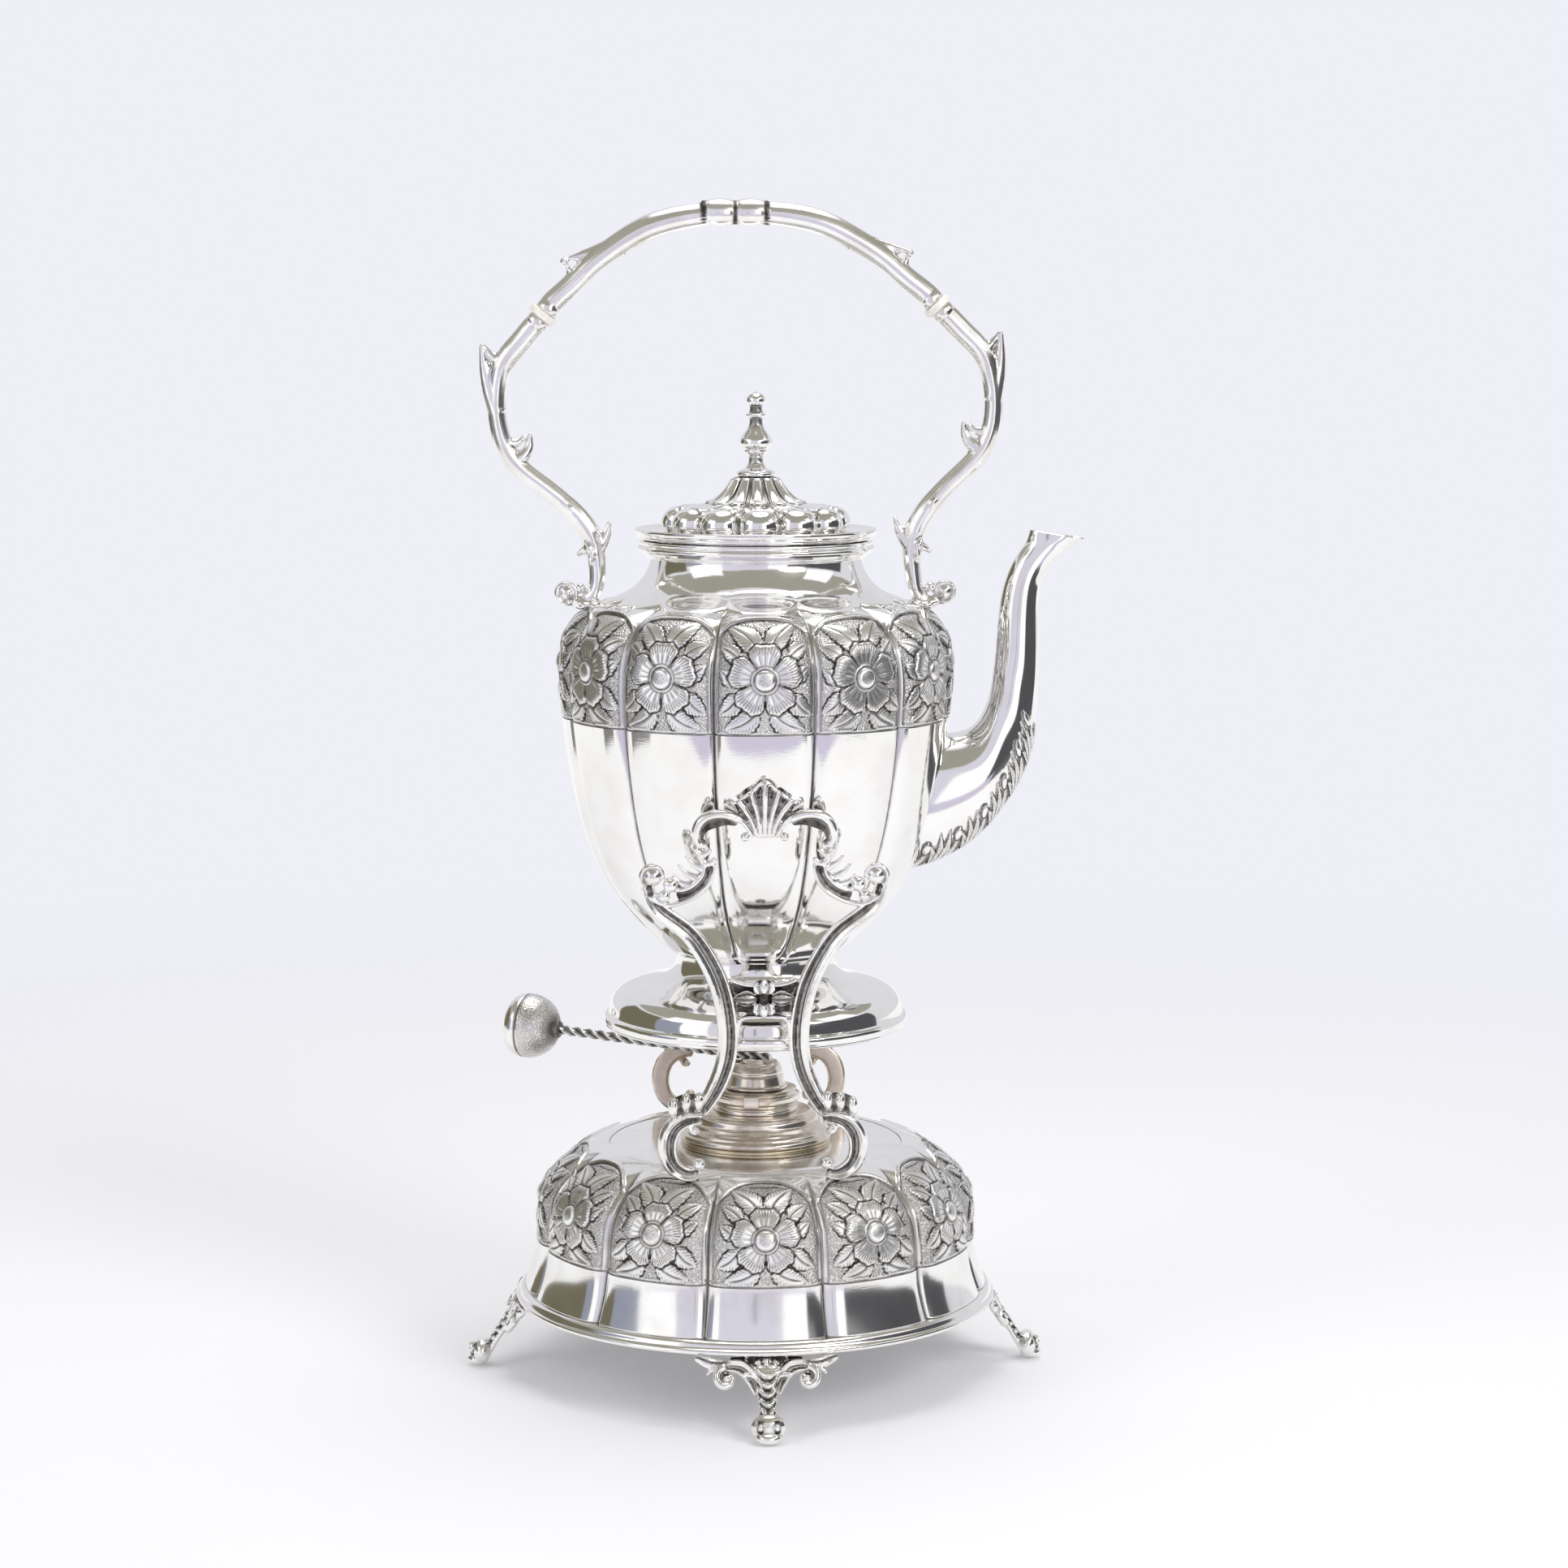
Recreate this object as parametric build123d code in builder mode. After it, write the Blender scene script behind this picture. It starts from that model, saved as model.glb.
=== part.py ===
from build123d import *
import math
import os

# Spirit kettle on its stand. Millimetres, +Z up. The origin is on the vertical axis at table level,
# +X points to the spout, -Y to the front. Twelve lobes run round the kettle and the base, with one
# lobe centred on each of +X, -X, +Y and -Y.

# ---------------------------------------------------------------- driving dimensions
lobe_count = 12               # lobes round the kettle, the base and the lid

rim_radius = 82.5             # outer edge of the base rim
rim_bottom_z = 25.0           # underside of the rim, where the feet are soldered
rim_height = 4.2
rim_width = 10.5
dome_radius = 79.7            # lobe crest where the dome stands on the rim
dome_height = 49.4
dome_lobe_depth = 5.0
dome_wall = 1.2

foot_radius = 95.4            # where the pads meet the table, from the axis
foot_root_radius = 79.6       # where the legs meet the rim, from the axis
foot_thickness = 3.0
pad_length = 9.4              # radial length of a pad
pad_width = 12.0
pad_height = 4.6

kettle_floor_z = 144.5        # underside of the kettle's body
kettle_height = 119.9         # body, from its floor to the lobe crowns
belly_radius = 66.5
kettle_lobe_depth = 4.4
kettle_wall = 1.2
neck_radius = 35.0
neck_rise = 20.6              # from the lobe crowns to the neck's mouth
neck_wall = 1.0

pedestal_neck_radius = 27.0   # the kettle's own foot
pedestal_height = 25.0
pedestal_radius = 52.0
pedestal_wall = 1.3

collar_radius = 40.0
collar_height = 6.2
lid_radius = 40.9
lid_rim_height = 2.9
lid_rise = 17.6               # from the top of the lid's rim to the finial's seat
lid_dome_radius = 30.6
lid_lobe_depth = 4.0
lid_wall = 1.0
bezel_height = 5.0
bezel_wall = 1.0

finial_height = 28.8
finial_radius = 6.6
stud_radius = 1.6             # the finial's stud, through the lid
nut_flats = 6.0
nut_height = 2.4

hinge_reach = 44.0            # hinge axis of the lid, behind the kettle's axis
knuckle_radius = 1.9
hinge_pin_radius = 0.85
middle_knuckle = 5.6          # length of the lid's knuckle
outer_knuckle = 4.6           # length of each of the kettle's knuckles

spout_root_z = 196.0
spout_reach = 53.0            # from the body to the beak's tip
spout_rise = 92.0             # from the root to the back of the mouth
spout_root_width = 30.0
spout_mouth_width = 9.2
spout_wall = 1.0
spout_hole_radius = 12.0
leaf_thickness = 1.3

bail_foot_x = 54.0            # the handle's feet, from the axis
bail_half_span = 83.5         # centre line at its widest
bail_rise = 130.0             # from the lobe crowns to the grip's centre line
bail_depth = 8.4              # thickness of the handle from front to back
bail_lean = 0.058             # the handle leans away from the spout, mm per mm of height
bail_twist = 0.026            # and its spout side stands higher
ring_radius = 5.0             # insulating rings
ring_length = 2.6
dowel_radius = 1.5
dowel_length = 14.0
bead_length = 10.2
bead_radius = 4.9

bracket_foot_y = 53.5         # middle of the bracket at the dome's top
bracket_top_y = 66.9          # middle of the bracket at its palmette
bracket_height = 133.6        # from the dome's top to the palmette's tip
bracket_half_width = 40.0
bracket_thickness = 3.4
bar_width = 5.0
rosette_z = 139.4
rosette_half_width = 10.4
rosette_thickness = 1.6

pivot_z = 200.0               # the kettle tips about this height
pivot_radius = 2.0
boss_radius = 4.2
boss_stand = 1.1              # how far a boss stands off the lobe's crest

lamp_radius = 26.3
lamp_height = 11.0
lamp_wall = 0.9
lamp_collar_radius = 15.2
lamp_collar_height = 7.4
spigot_radius = 9.55
spigot_height = 2.0
wick_tube_radius = 4.5
wick_tube_wall = 0.7
wick_tube_height = 13.0       # above the reservoir's top
seat_ring_height = 1.3
seat_ring_width = 1.8
cap_radius = 10.9
cap_top_radius = 7.6
cap_height = 8.9
cap_wall = 0.9

rod_bearing = 153.0           # the regulator's handle points this way, degrees from +X
rod_climb = 2.3               # and climbs outwards by this angle
rod_radius = 1.4
rod_tail = 5.5                # rod beyond the axis, on the cap
rod_reach = 84.0
knob_radius = 11.8
knob_start = 75.6
knob_length = 21.0

solder_gap = 0.05             # between curved faces that are soldered or pressed together
running_gap = 0.05            # radial clearance of pins in their bores
lid_gap = 0.3                 # between the collar and the lid that rests on it

# ---------------------------------------------------------------- heights that follow
rim_top_z = rim_bottom_z + rim_height
dome_top_z = rim_top_z + dome_height
crown_z = kettle_floor_z + kettle_height
neck_top_z = crown_z + neck_rise
collar_top_z = neck_top_z + 0.4
collar_bottom_z = collar_top_z - collar_height
lid_bottom_z = collar_top_z + lid_gap
lid_rim_z = lid_bottom_z + lid_rim_height
finial_z = lid_rim_z + lid_rise
hinge_z = lid_bottom_z + 0.5
lamp_top_z = dome_top_z + lamp_height
lamp_collar_z = lamp_top_z + lamp_collar_height
cap_bottom_z = lamp_collar_z + 0.2
cap_top_z = cap_bottom_z + cap_height

# Lobed profiles: height and crest radius as shares of the form's own height and radius, and the
# depth of the valleys between the lobes as a share of the form's lobe depth. A row below zero or
# above one lies beyond the form's end, and only steers its curve.
dome_profile = (
    (-0.14, 1.036, 1.04),
    (0.00, 1.000, 1.00),
    (0.18, 0.962, 0.96),
    (0.36, 0.945, 0.94),
    (0.54, 0.939, 0.98),
    (0.69, 0.920, 1.08),
    (0.81, 0.866, 1.22),
    (0.90, 0.806, 1.36),
    (0.96, 0.738, 1.48),
    (1.00, 0.645, 1.50),
    (1.03, 0.520, 1.45),
)
kettle_profile = (
    (-0.038, 0.300, 0.14),
    (0.000, 0.415, 0.40),
    (0.042, 0.510, 0.64),
    (0.104, 0.625, 0.80),
    (0.196, 0.753, 0.90),
    (0.338, 0.869, 0.91),
    (0.505, 0.943, 0.93),
    (0.680, 0.988, 1.00),
    (0.797, 1.000, 1.02),
    (0.880, 0.990, 1.15),
    (0.938, 0.949, 1.40),
    (0.976, 0.887, 1.65),
    (1.000, 0.797, 1.80),
)
lid_profile = (
    (-0.12, 0.960, 0.92),
    (0.00, 0.994, 0.95),
    (0.14, 1.000, 0.98),
    (0.31, 0.955, 1.08),
    (0.42, 0.850, 1.02),
    (0.48, 0.655, 0.78),
    (0.56, 0.475, 0.52),
    (0.74, 0.345, 0.36),
    (0.90, 0.280, 0.28),
    (1.00, 0.248, 0.22),
    (1.10, 0.225, 0.18),
)


# ---------------------------------------------------------------- shared shapes
def lobed_form(profile, bottom, height, radius, depth, inset=0.0, open_below=False):
    """A solid with lobes round the axis; inset makes the space inside a wall of that thickness,
    which runs out below the form when it is open below."""
    half = math.pi / lobe_count
    with BuildPart() as form:
        for share, crest_share, depth_share in profile:
            level = bottom + inset + share * (height - 2 * inset)
            crest = radius * crest_share - inset
            valley = crest - depth * depth_share
            with BuildSketch(Plane.XY.offset(level)):
                with BuildLine():
                    for lobe in range(lobe_count):
                        middle = 2 * half * lobe
                        ThreePointArc(
                            (valley * math.cos(middle - half), valley * math.sin(middle - half)),
                            (crest * math.cos(middle), crest * math.sin(middle)),
                            (valley * math.cos(middle + half), valley * math.sin(middle + half)),
                        )
                make_face()
        loft()
        if not open_below:
            split(bisect_by=Plane.XY.offset(bottom + inset), keep=Keep.TOP)
        split(bisect_by=Plane.XY.offset(bottom + height - inset), keep=Keep.BOTTOM)
    return form.part


def crest_radius_at(z):
    """Radius of the kettle's lobe crests at a height, between the profile's rows."""
    share = (z - kettle_floor_z) / kettle_height
    row = next(index for index, high in enumerate(kettle_profile) if share <= high[0])
    low, high = kettle_profile[row - 1], kettle_profile[row]
    part = (share - low[0]) / (high[0] - low[0])
    return belly_radius * (low[1] + part * (high[1] - low[1]))


def turned(points):
    """A solid turned about the vertical axis from (radius, height) points."""
    with BuildPart() as form:
        with BuildSketch(Plane.XZ):
            with BuildLine():
                Polyline(*points, close=True)
            make_face()
        revolve(axis=Axis.Z)
    return form.part


def ribbon(points, widths):
    """A flat curved strip as a sketch, from its centre points and its width at each."""
    left, right = [], []
    for index, (point, width) in enumerate(zip(points, widths)):
        before = points[max(index - 1, 0)]
        after = points[min(index + 1, len(points) - 1)]
        along = Vector(after[0] - before[0], after[1] - before[1]).normalized()
        across = Vector(-along.Y, along.X) * (width / 2)
        left.append((point[0] + across.X, point[1] + across.Y))
        right.append((point[0] - across.X, point[1] - across.Y))
    with BuildSketch() as strip:
        with BuildLine():
            near = Spline(*left)
            far = Spline(*right)
            Line(near @ 0, far @ 0)
            Line(near @ 1, far @ 1)
        make_face()
    return strip.sketch


def section_plane(inner, outer):
    """The plane square to XZ through two points of an outline, and half their distance."""
    across = Vector(outer[0] - inner[0], 0, outer[1] - inner[1])
    centre = Vector((outer[0] + inner[0]) / 2, 0, (outer[1] + inner[1]) / 2)
    plane = Plane(origin=centre, x_dir=across, z_dir=Vector(0, 1, 0).cross(across))
    return plane, across.length / 2


def finish(part, label):
    """Labels a finished piece and writes it to its own file."""
    part.label = label
    export_step(part, f"parts/{label}.step")
    print(f"{label}: {len(part.solids())} solid(s), {part.volume:.1f} mm3")


os.makedirs("parts", exist_ok=True)

# ---------------------------------------------------------------- base: dome and rim
dome_outer = lobed_form(dome_profile, rim_top_z, dome_height, dome_radius, dome_lobe_depth)
dome_inner = lobed_form(
    dome_profile, rim_top_z, dome_height, dome_radius, dome_lobe_depth,
    inset=dome_wall, open_below=True,
)

with BuildPart() as base_dome:
    add(dome_outer)
    add(dome_inner, mode=Mode.SUBTRACT)
finish(base_dome.part, "base_dome")

with BuildPart() as base_rim:
    add(turned((
        (rim_radius - rim_width, rim_bottom_z),
        (rim_radius - 0.5, rim_bottom_z),
        (rim_radius, rim_bottom_z + 0.5),
        (rim_radius, rim_bottom_z + 1.3),
        (rim_radius - 0.7, rim_bottom_z + 2.3),
        (rim_radius - 1.9, rim_top_z - 0.3),
        (rim_radius - 2.4, rim_top_z),
        (rim_radius - rim_width, rim_top_z),
    )))
finish(base_rim.part, "base_rim")

# ---------------------------------------------------------------- four feet
foot_lean = math.atan2(foot_radius - foot_root_radius, rim_bottom_z)
foot_length = rim_bottom_z / math.cos(foot_lean)
foot_plane = Plane(
    origin=(foot_radius, 0, 0),
    x_dir=(0, 1, 0),
    z_dir=(math.cos(foot_lean), 0, math.sin(foot_lean)),
)
with BuildPart() as foot_model:
    with BuildSketch(foot_plane):
        # leg, wider at the shoulder and narrow at the ankle
        add(ribbon(
            ((0, 0.10 * foot_length), (0, 0.36 * foot_length), (0, 0.58 * foot_length),
             (0, 0.80 * foot_length), (0, 1.06 * foot_length)),
            (9.0, 5.2, 9.6, 8.4, 8.4),
        ))
        for side in (-1, 1):
            # the wing sweeps out under the rim, and curls under at its volute
            add(ribbon(
                ((side * 2.0, 0.62 * foot_length), (side * 5.6, 0.80 * foot_length),
                 (side * 11.5, 0.90 * foot_length), (side * 17.5, 0.93 * foot_length),
                 (side * 23.2, 0.985 * foot_length)),
                (4.0, 5.0, 4.6, 4.4, 2.4),
            ))
            with Locations((side * 12.4, 0.76 * foot_length)):
                Circle(3.3)
    extrude(amount=foot_thickness / 2, both=True)
    with BuildSketch(Plane.XY):
        with Locations((foot_radius, 0)):
            Ellipse(pad_length / 2, pad_width / 2)
    extrude(amount=pad_height, taper=12)
    with BuildSketch(Plane.XY.offset(rim_bottom_z - foot_thickness)):
        with Locations((foot_root_radius - 2.0, 0)):
            RectangleRounded(5.4, 14.0, 1.2)
    extrude(amount=foot_thickness)
    split(bisect_by=Plane.XY, keep=Keep.TOP)
    split(bisect_by=Plane.XY.offset(rim_bottom_z), keep=Keep.BOTTOM)

feet = (("foot_right", 0), ("foot_rear", 90), ("foot_left", 180), ("foot_front", 270))
for foot_name, bearing in feet:
    with BuildPart() as foot:
        add(foot_model.part.rotate(Axis.Z, bearing))
    finish(foot.part, foot_name)

# ---------------------------------------------------------------- brackets
bracket_lean = math.atan2(bracket_top_y - bracket_foot_y, bracket_height)
bracket_plane = Plane(
    origin=(0, -bracket_foot_y, dome_top_z),
    x_dir=(1, 0, 0),
    z_dir=(0, -math.cos(bracket_lean), -math.sin(bracket_lean)),
)


def bracket_v(share):
    """Distance up the bracket's plane, from the dome's top, for a share of its height."""
    return share * bracket_height / math.cos(bracket_lean)


def bracket_y(z):
    """Distance of the bracket's middle plane from the axis at a height."""
    return bracket_foot_y + (z - dome_top_z) * math.tan(bracket_lean)


def bracket_line(side, shares):
    """Points of a bracket from shares of its half width and of its height."""
    return [(side * bracket_half_width * across, bracket_v(up)) for across, up in shares]


bar_shares = (
    (0.950, 0.755), (0.910, 0.702), (0.800, 0.664), (0.605, 0.626), (0.475, 0.585),
    (0.375, 0.523), (0.308, 0.459), (0.280, 0.380), (0.296, 0.308), (0.348, 0.246),
    (0.432, 0.195), (0.545, 0.163),
)
bar_widths = [bar_width * share for share in (0.8, 0.92, 1, 1, 1, 1, 1, 1, 1, 1, 1, 0.9)]
arch_shares = (
    (0.075, 0.888), (0.180, 0.916), (0.305, 0.933), (0.430, 0.929), (0.530, 0.906),
    (0.545, 0.874), (0.480, 0.852),
)
arch_widths = (4.0, 4.2, 4.2, 4.4, 4.2, 3.6, 3.2)
leaf_shares = (
    (0.480, 0.858), (0.425, 0.826), (0.395, 0.796), (0.438, 0.763), (0.550, 0.742),
    (0.700, 0.732), (0.860, 0.742),
)
leaf_widths = (3.2, 4.2, 5.0, 5.6, 5.2, 4.4, 3.8)
scroll_shares = (
    (0.490, 0.128), (0.620, 0.132), (0.750, 0.104), (0.788, 0.058), (0.725, 0.016),
    (0.605, -0.008), (0.510, 0.006),
)
scroll_widths = (3.2, 4.2, 4.6, 4.8, 4.6, 4.4, 3.6)
# balls at the ends of the scrolls: share of the half width, share of the height, radius
bracket_balls = (
    (0.920, 0.766, 4.0), (0.790, 0.748, 3.2), (0.500, 0.848, 2.4), (0.620, 0.168, 5.2),
    (0.490, 0.122, 2.2), (0.495, 0.014, 2.8),
)
palmette_fingers = 7
palmette_base = 0.872
palmette_length = 1.0 - palmette_base

with BuildPart() as bracket_front:
    with BuildSketch(bracket_plane):
        for side in (-1, 1):
            add(ribbon(bracket_line(side, bar_shares), bar_widths))
            add(ribbon(bracket_line(side, arch_shares), arch_widths))
            add(ribbon(bracket_line(side, leaf_shares), leaf_widths))
            add(ribbon(bracket_line(side, scroll_shares), scroll_widths))
            for across, up, radius in bracket_balls:
                with Locations((side * bracket_half_width * across, bracket_v(up))):
                    Circle(radius)
        # palmette: fingers that fan out from its base
        for finger in range(palmette_fingers):
            turn = (finger - (palmette_fingers - 1) / 2) * 20.0
            length = bracket_v(palmette_length) * (1.0 - 0.0022 * abs(turn))
            root = Vector(0, bracket_v(palmette_base))
            middle = root + Vector(0, length / 2).rotate(Axis.Z, -turn)
            with Locations(Location((middle.X, middle.Y), -turn)):
                Ellipse(2.6, length / 2)
        # plate behind the rosette, which ties the two bars
        with Locations((0, bracket_v((rosette_z - dome_top_z) / bracket_height))):
            Rectangle(2 * rosette_half_width + 2.0, 6.0)
    extrude(amount=bracket_thickness / 2, both=True)
    add(dome_outer, mode=Mode.SUBTRACT)
    # blind bore for the pivot pin, from the back
    with BuildSketch(Plane.XZ.offset(bracket_y(pivot_z) + 0.2)):
        with Locations((0, pivot_z)):
            Circle(pivot_radius + running_gap)
    extrude(amount=-bracket_thickness, mode=Mode.SUBTRACT)
finish(bracket_front.part, "bracket_front")

with BuildPart() as bracket_rear:
    add(bracket_front.part.mirror(Plane.XZ))
finish(bracket_rear.part, "bracket_rear")

rosette_plane = Plane(
    origin=(0, -bracket_y(rosette_z), rosette_z), x_dir=(1, 0, 0), z_dir=bracket_plane.z_dir
).offset(bracket_thickness / 2)
with BuildPart() as rosette_front:
    with BuildSketch(rosette_plane):
        with Locations((-0.55 * rosette_half_width, 0), (0.55 * rosette_half_width, 0)):
            Ellipse(0.45 * rosette_half_width, 2.6)
        with Locations((0, 0.38 * rosette_half_width), (0, -0.38 * rosette_half_width)):
            Ellipse(2.4, 0.34 * rosette_half_width)
        Circle(2.6)
    extrude(amount=rosette_thickness)
    with BuildSketch(rosette_plane.offset(rosette_thickness)):
        Circle(1.7)
    extrude(amount=0.7)
finish(rosette_front.part, "rosette_front")

with BuildPart() as rosette_rear:
    add(rosette_front.part.mirror(Plane.XZ))
finish(rosette_rear.part, "rosette_rear")

# ---------------------------------------------------------------- spirit lamp
seat_ring_outer = lamp_radius - 0.5
with BuildPart() as lamp_seat_ring:
    with BuildSketch(Plane.XY.offset(dome_top_z)):
        Circle(seat_ring_outer)
        Circle(seat_ring_outer - seat_ring_width, mode=Mode.SUBTRACT)
    extrude(amount=seat_ring_height)
finish(lamp_seat_ring.part, "lamp_seat_ring")

bowl_foot_radius = seat_ring_outer - seat_ring_width - solder_gap
bowl_mouth_radius = lamp_collar_radius - 3.2
shoulder_radius = lamp_radius - 5.6


def bowl_outline(inset):
    """The reservoir's outline, stepped like turned rings; inset gives its hollow."""
    low = dome_top_z + inset
    lip = dome_top_z + seat_ring_height + solder_gap
    return (
        (0, low),
        (bowl_foot_radius - inset, low),
        (bowl_foot_radius - inset, lip + inset),
        (lamp_radius - 0.6 - inset, lip + inset),
        (lamp_radius - inset, lip + 0.14 * lamp_height),
        (lamp_radius - 0.5 - inset, lip + 0.28 * lamp_height),
        (shoulder_radius + 2.4 - inset, lip + 0.40 * lamp_height),
        (shoulder_radius + 0.8 - inset, lip + 0.45 * lamp_height),
        (shoulder_radius + 0.6 - inset, lamp_top_z - 0.12 * lamp_height - inset),
        (shoulder_radius - inset, lamp_top_z - inset),
        (0, lamp_top_z - inset),
    )


bowl_outer = turned(bowl_outline(0.0))
bowl_inner = turned(bowl_outline(lamp_wall))
with BuildPart() as lamp_bowl:
    add(bowl_outer)
    add(bowl_inner, mode=Mode.SUBTRACT)
    with BuildSketch(Plane.XY.offset(lamp_top_z - 2 * lamp_wall)):
        Circle(bowl_mouth_radius)
    extrude(amount=4 * lamp_wall, mode=Mode.SUBTRACT)
finish(lamp_bowl.part, "lamp_bowl")

tube_bore = wick_tube_radius + solder_gap
with BuildPart() as lamp_collar:
    add(turned((
        (tube_bore, lamp_top_z),
        (lamp_collar_radius - 0.6, lamp_top_z),
        (lamp_collar_radius - 0.6, lamp_top_z + 0.44 * lamp_collar_height),
        (lamp_collar_radius, lamp_top_z + 0.50 * lamp_collar_height),
        (lamp_collar_radius, lamp_top_z + 0.76 * lamp_collar_height),
        (lamp_collar_radius - 1.6, lamp_top_z + 0.82 * lamp_collar_height),
        (lamp_collar_radius - 1.6, lamp_top_z + 0.90 * lamp_collar_height),
        (lamp_collar_radius - 1.0, lamp_collar_z),
        (spigot_radius, lamp_collar_z),
        (spigot_radius, lamp_collar_z + spigot_height),
        (tube_bore, lamp_collar_z + spigot_height),
    )))
    # lug that stands on the collar's front
    with BuildSketch(Plane.XY.offset(lamp_top_z + 0.42 * lamp_collar_height)):
        with Locations(Location((0, 0), -98.0)):
            with Locations((lamp_collar_radius - 0.4, 0)):
                Rectangle(2.6, 4.6)
    extrude(amount=0.52 * lamp_collar_height)
finish(lamp_collar.part, "lamp_collar")

wick_tube_low = dome_top_z + lamp_wall + 1.6
with BuildPart() as wick_tube:
    with BuildSketch(Plane.XY.offset(wick_tube_low)):
        Circle(wick_tube_radius)
        Circle(wick_tube_radius - wick_tube_wall, mode=Mode.SUBTRACT)
    extrude(amount=lamp_top_z + wick_tube_height - wick_tube_low)
finish(wick_tube.part, "wick_tube")

wick_low = dome_top_z + lamp_wall
with BuildPart() as wick:
    with BuildSketch(Plane.XY.offset(wick_low)):
        Circle(wick_tube_radius - wick_tube_wall - solder_gap)
    extrude(amount=lamp_top_z + wick_tube_height + 1.2 - wick_low)
finish(wick.part, "wick")

# ---------------------------------------------------------------- regulator: cap, rod and knob
rod_turn = math.radians(rod_bearing)
rod_tilt = math.radians(rod_climb)
rod_direction = Vector(
    math.cos(rod_turn) * math.cos(rod_tilt), math.sin(rod_turn) * math.cos(rod_tilt), math.sin(rod_tilt)
)
rod_centre_z = cap_top_z + rod_radius + rod_tail * math.sin(rod_tilt) + solder_gap
rod_plane = Plane(
    origin=Vector(0, 0, rod_centre_z),
    x_dir=(-math.sin(rod_turn), math.cos(rod_turn), 0),
    z_dir=rod_direction,
)

cap_turned = turned((
    (spigot_radius + running_gap, cap_bottom_z),
    (cap_radius, cap_bottom_z),
    (cap_radius, cap_bottom_z + 1.0),
    (cap_top_radius + 0.5, cap_top_z - 0.9),
    (cap_top_radius, cap_top_z),
    (0, cap_top_z),
    (0, cap_top_z - cap_wall),
    (cap_top_radius - cap_wall, cap_top_z - cap_wall),
    (spigot_radius + running_gap, cap_bottom_z + spigot_height + 0.4),
))
with BuildPart() as regulator_cap:
    add(cap_turned)
    # saddle of solder that the rod lies in
    with BuildSketch(Plane.XY.offset(cap_top_z)):
        Circle(rod_tail - 1.0)
    extrude(amount=rod_radius)
    with BuildSketch(rod_plane.offset(-2 * rod_tail)):
        Circle(rod_radius + solder_gap)
    extrude(amount=4 * rod_tail, mode=Mode.SUBTRACT)
finish(regulator_cap.part, "regulator_cap")

with BuildPart() as regulator_rod:
    with BuildSketch(rod_plane.offset(-rod_tail)):
        Circle(rod_radius)
    extrude(amount=rod_tail + rod_reach)
finish(regulator_rod.part, "regulator_rod")

knob_plane = Plane(
    origin=rod_plane.origin + rod_direction * knob_start, x_dir=rod_direction, z_dir=rod_plane.x_dir
)
with BuildPart() as regulator_knob:
    with BuildSketch(knob_plane):
        with BuildLine():
            edge = Spline(
                (0, 0.20 * knob_radius),
                (0.10 * knob_length, 0.50 * knob_radius),
                (0.30 * knob_length, 0.82 * knob_radius),
                (0.58 * knob_length, knob_radius),
                (0.80 * knob_length, 0.86 * knob_radius),
                (0.95 * knob_length, 0.50 * knob_radius),
                (knob_length, 0),
            )
            Line(edge @ 1, (0, 0))
            Line((0, 0), edge @ 0)
        make_face()
    revolve(axis=Axis(knob_plane.origin, rod_direction))
    with BuildSketch(rod_plane):
        Circle(rod_radius + solder_gap)
    extrude(amount=rod_reach, mode=Mode.SUBTRACT)
finish(regulator_knob.part, "regulator_knob")

# ---------------------------------------------------------------- kettle body
kettle_outer = lobed_form(
    kettle_profile, kettle_floor_z, kettle_height, belly_radius, kettle_lobe_depth
)
kettle_inner = lobed_form(
    kettle_profile, kettle_floor_z, kettle_height, belly_radius, kettle_lobe_depth, inset=kettle_wall
)
shoulder_reach = 0.74 * belly_radius


def neck_outline(inset):
    """The concave shoulder and straight neck; inset gives the space inside."""
    return (
        (0, crown_z - 2.0 * kettle_wall),
        (shoulder_reach - inset, crown_z - 2.0 * kettle_wall),
        (shoulder_reach - inset, crown_z + 0.4 - inset),
        (neck_radius + 0.56 * (shoulder_reach - neck_radius) - inset, crown_z + 0.12 * neck_rise - inset),
        (neck_radius + 0.32 * (shoulder_reach - neck_radius) - inset, crown_z + 0.27 * neck_rise - inset),
        (neck_radius + 0.16 * (shoulder_reach - neck_radius) - inset, crown_z + 0.43 * neck_rise - inset),
        (neck_radius + 0.05 * (shoulder_reach - neck_radius) - inset, crown_z + 0.60 * neck_rise),
        (neck_radius - inset, crown_z + 0.72 * neck_rise),
        (neck_radius - inset, neck_top_z + inset),
        (0, neck_top_z + inset),
    )


neck_outer = turned(neck_outline(0.0))
neck_inner = turned(neck_outline(neck_wall))
with BuildPart() as kettle_shell:
    add(kettle_outer)
    add(neck_outer)
    add(kettle_inner, mode=Mode.SUBTRACT)
    add(neck_inner, mode=Mode.SUBTRACT)
    # round hole into the spout
    with BuildSketch(Plane.YZ.offset(neck_radius)):
        with Locations((0, spout_root_z)):
            Circle(spout_hole_radius)
    extrude(amount=belly_radius, mode=Mode.SUBTRACT)
finish(kettle_shell.part, "kettle_shell")

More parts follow.
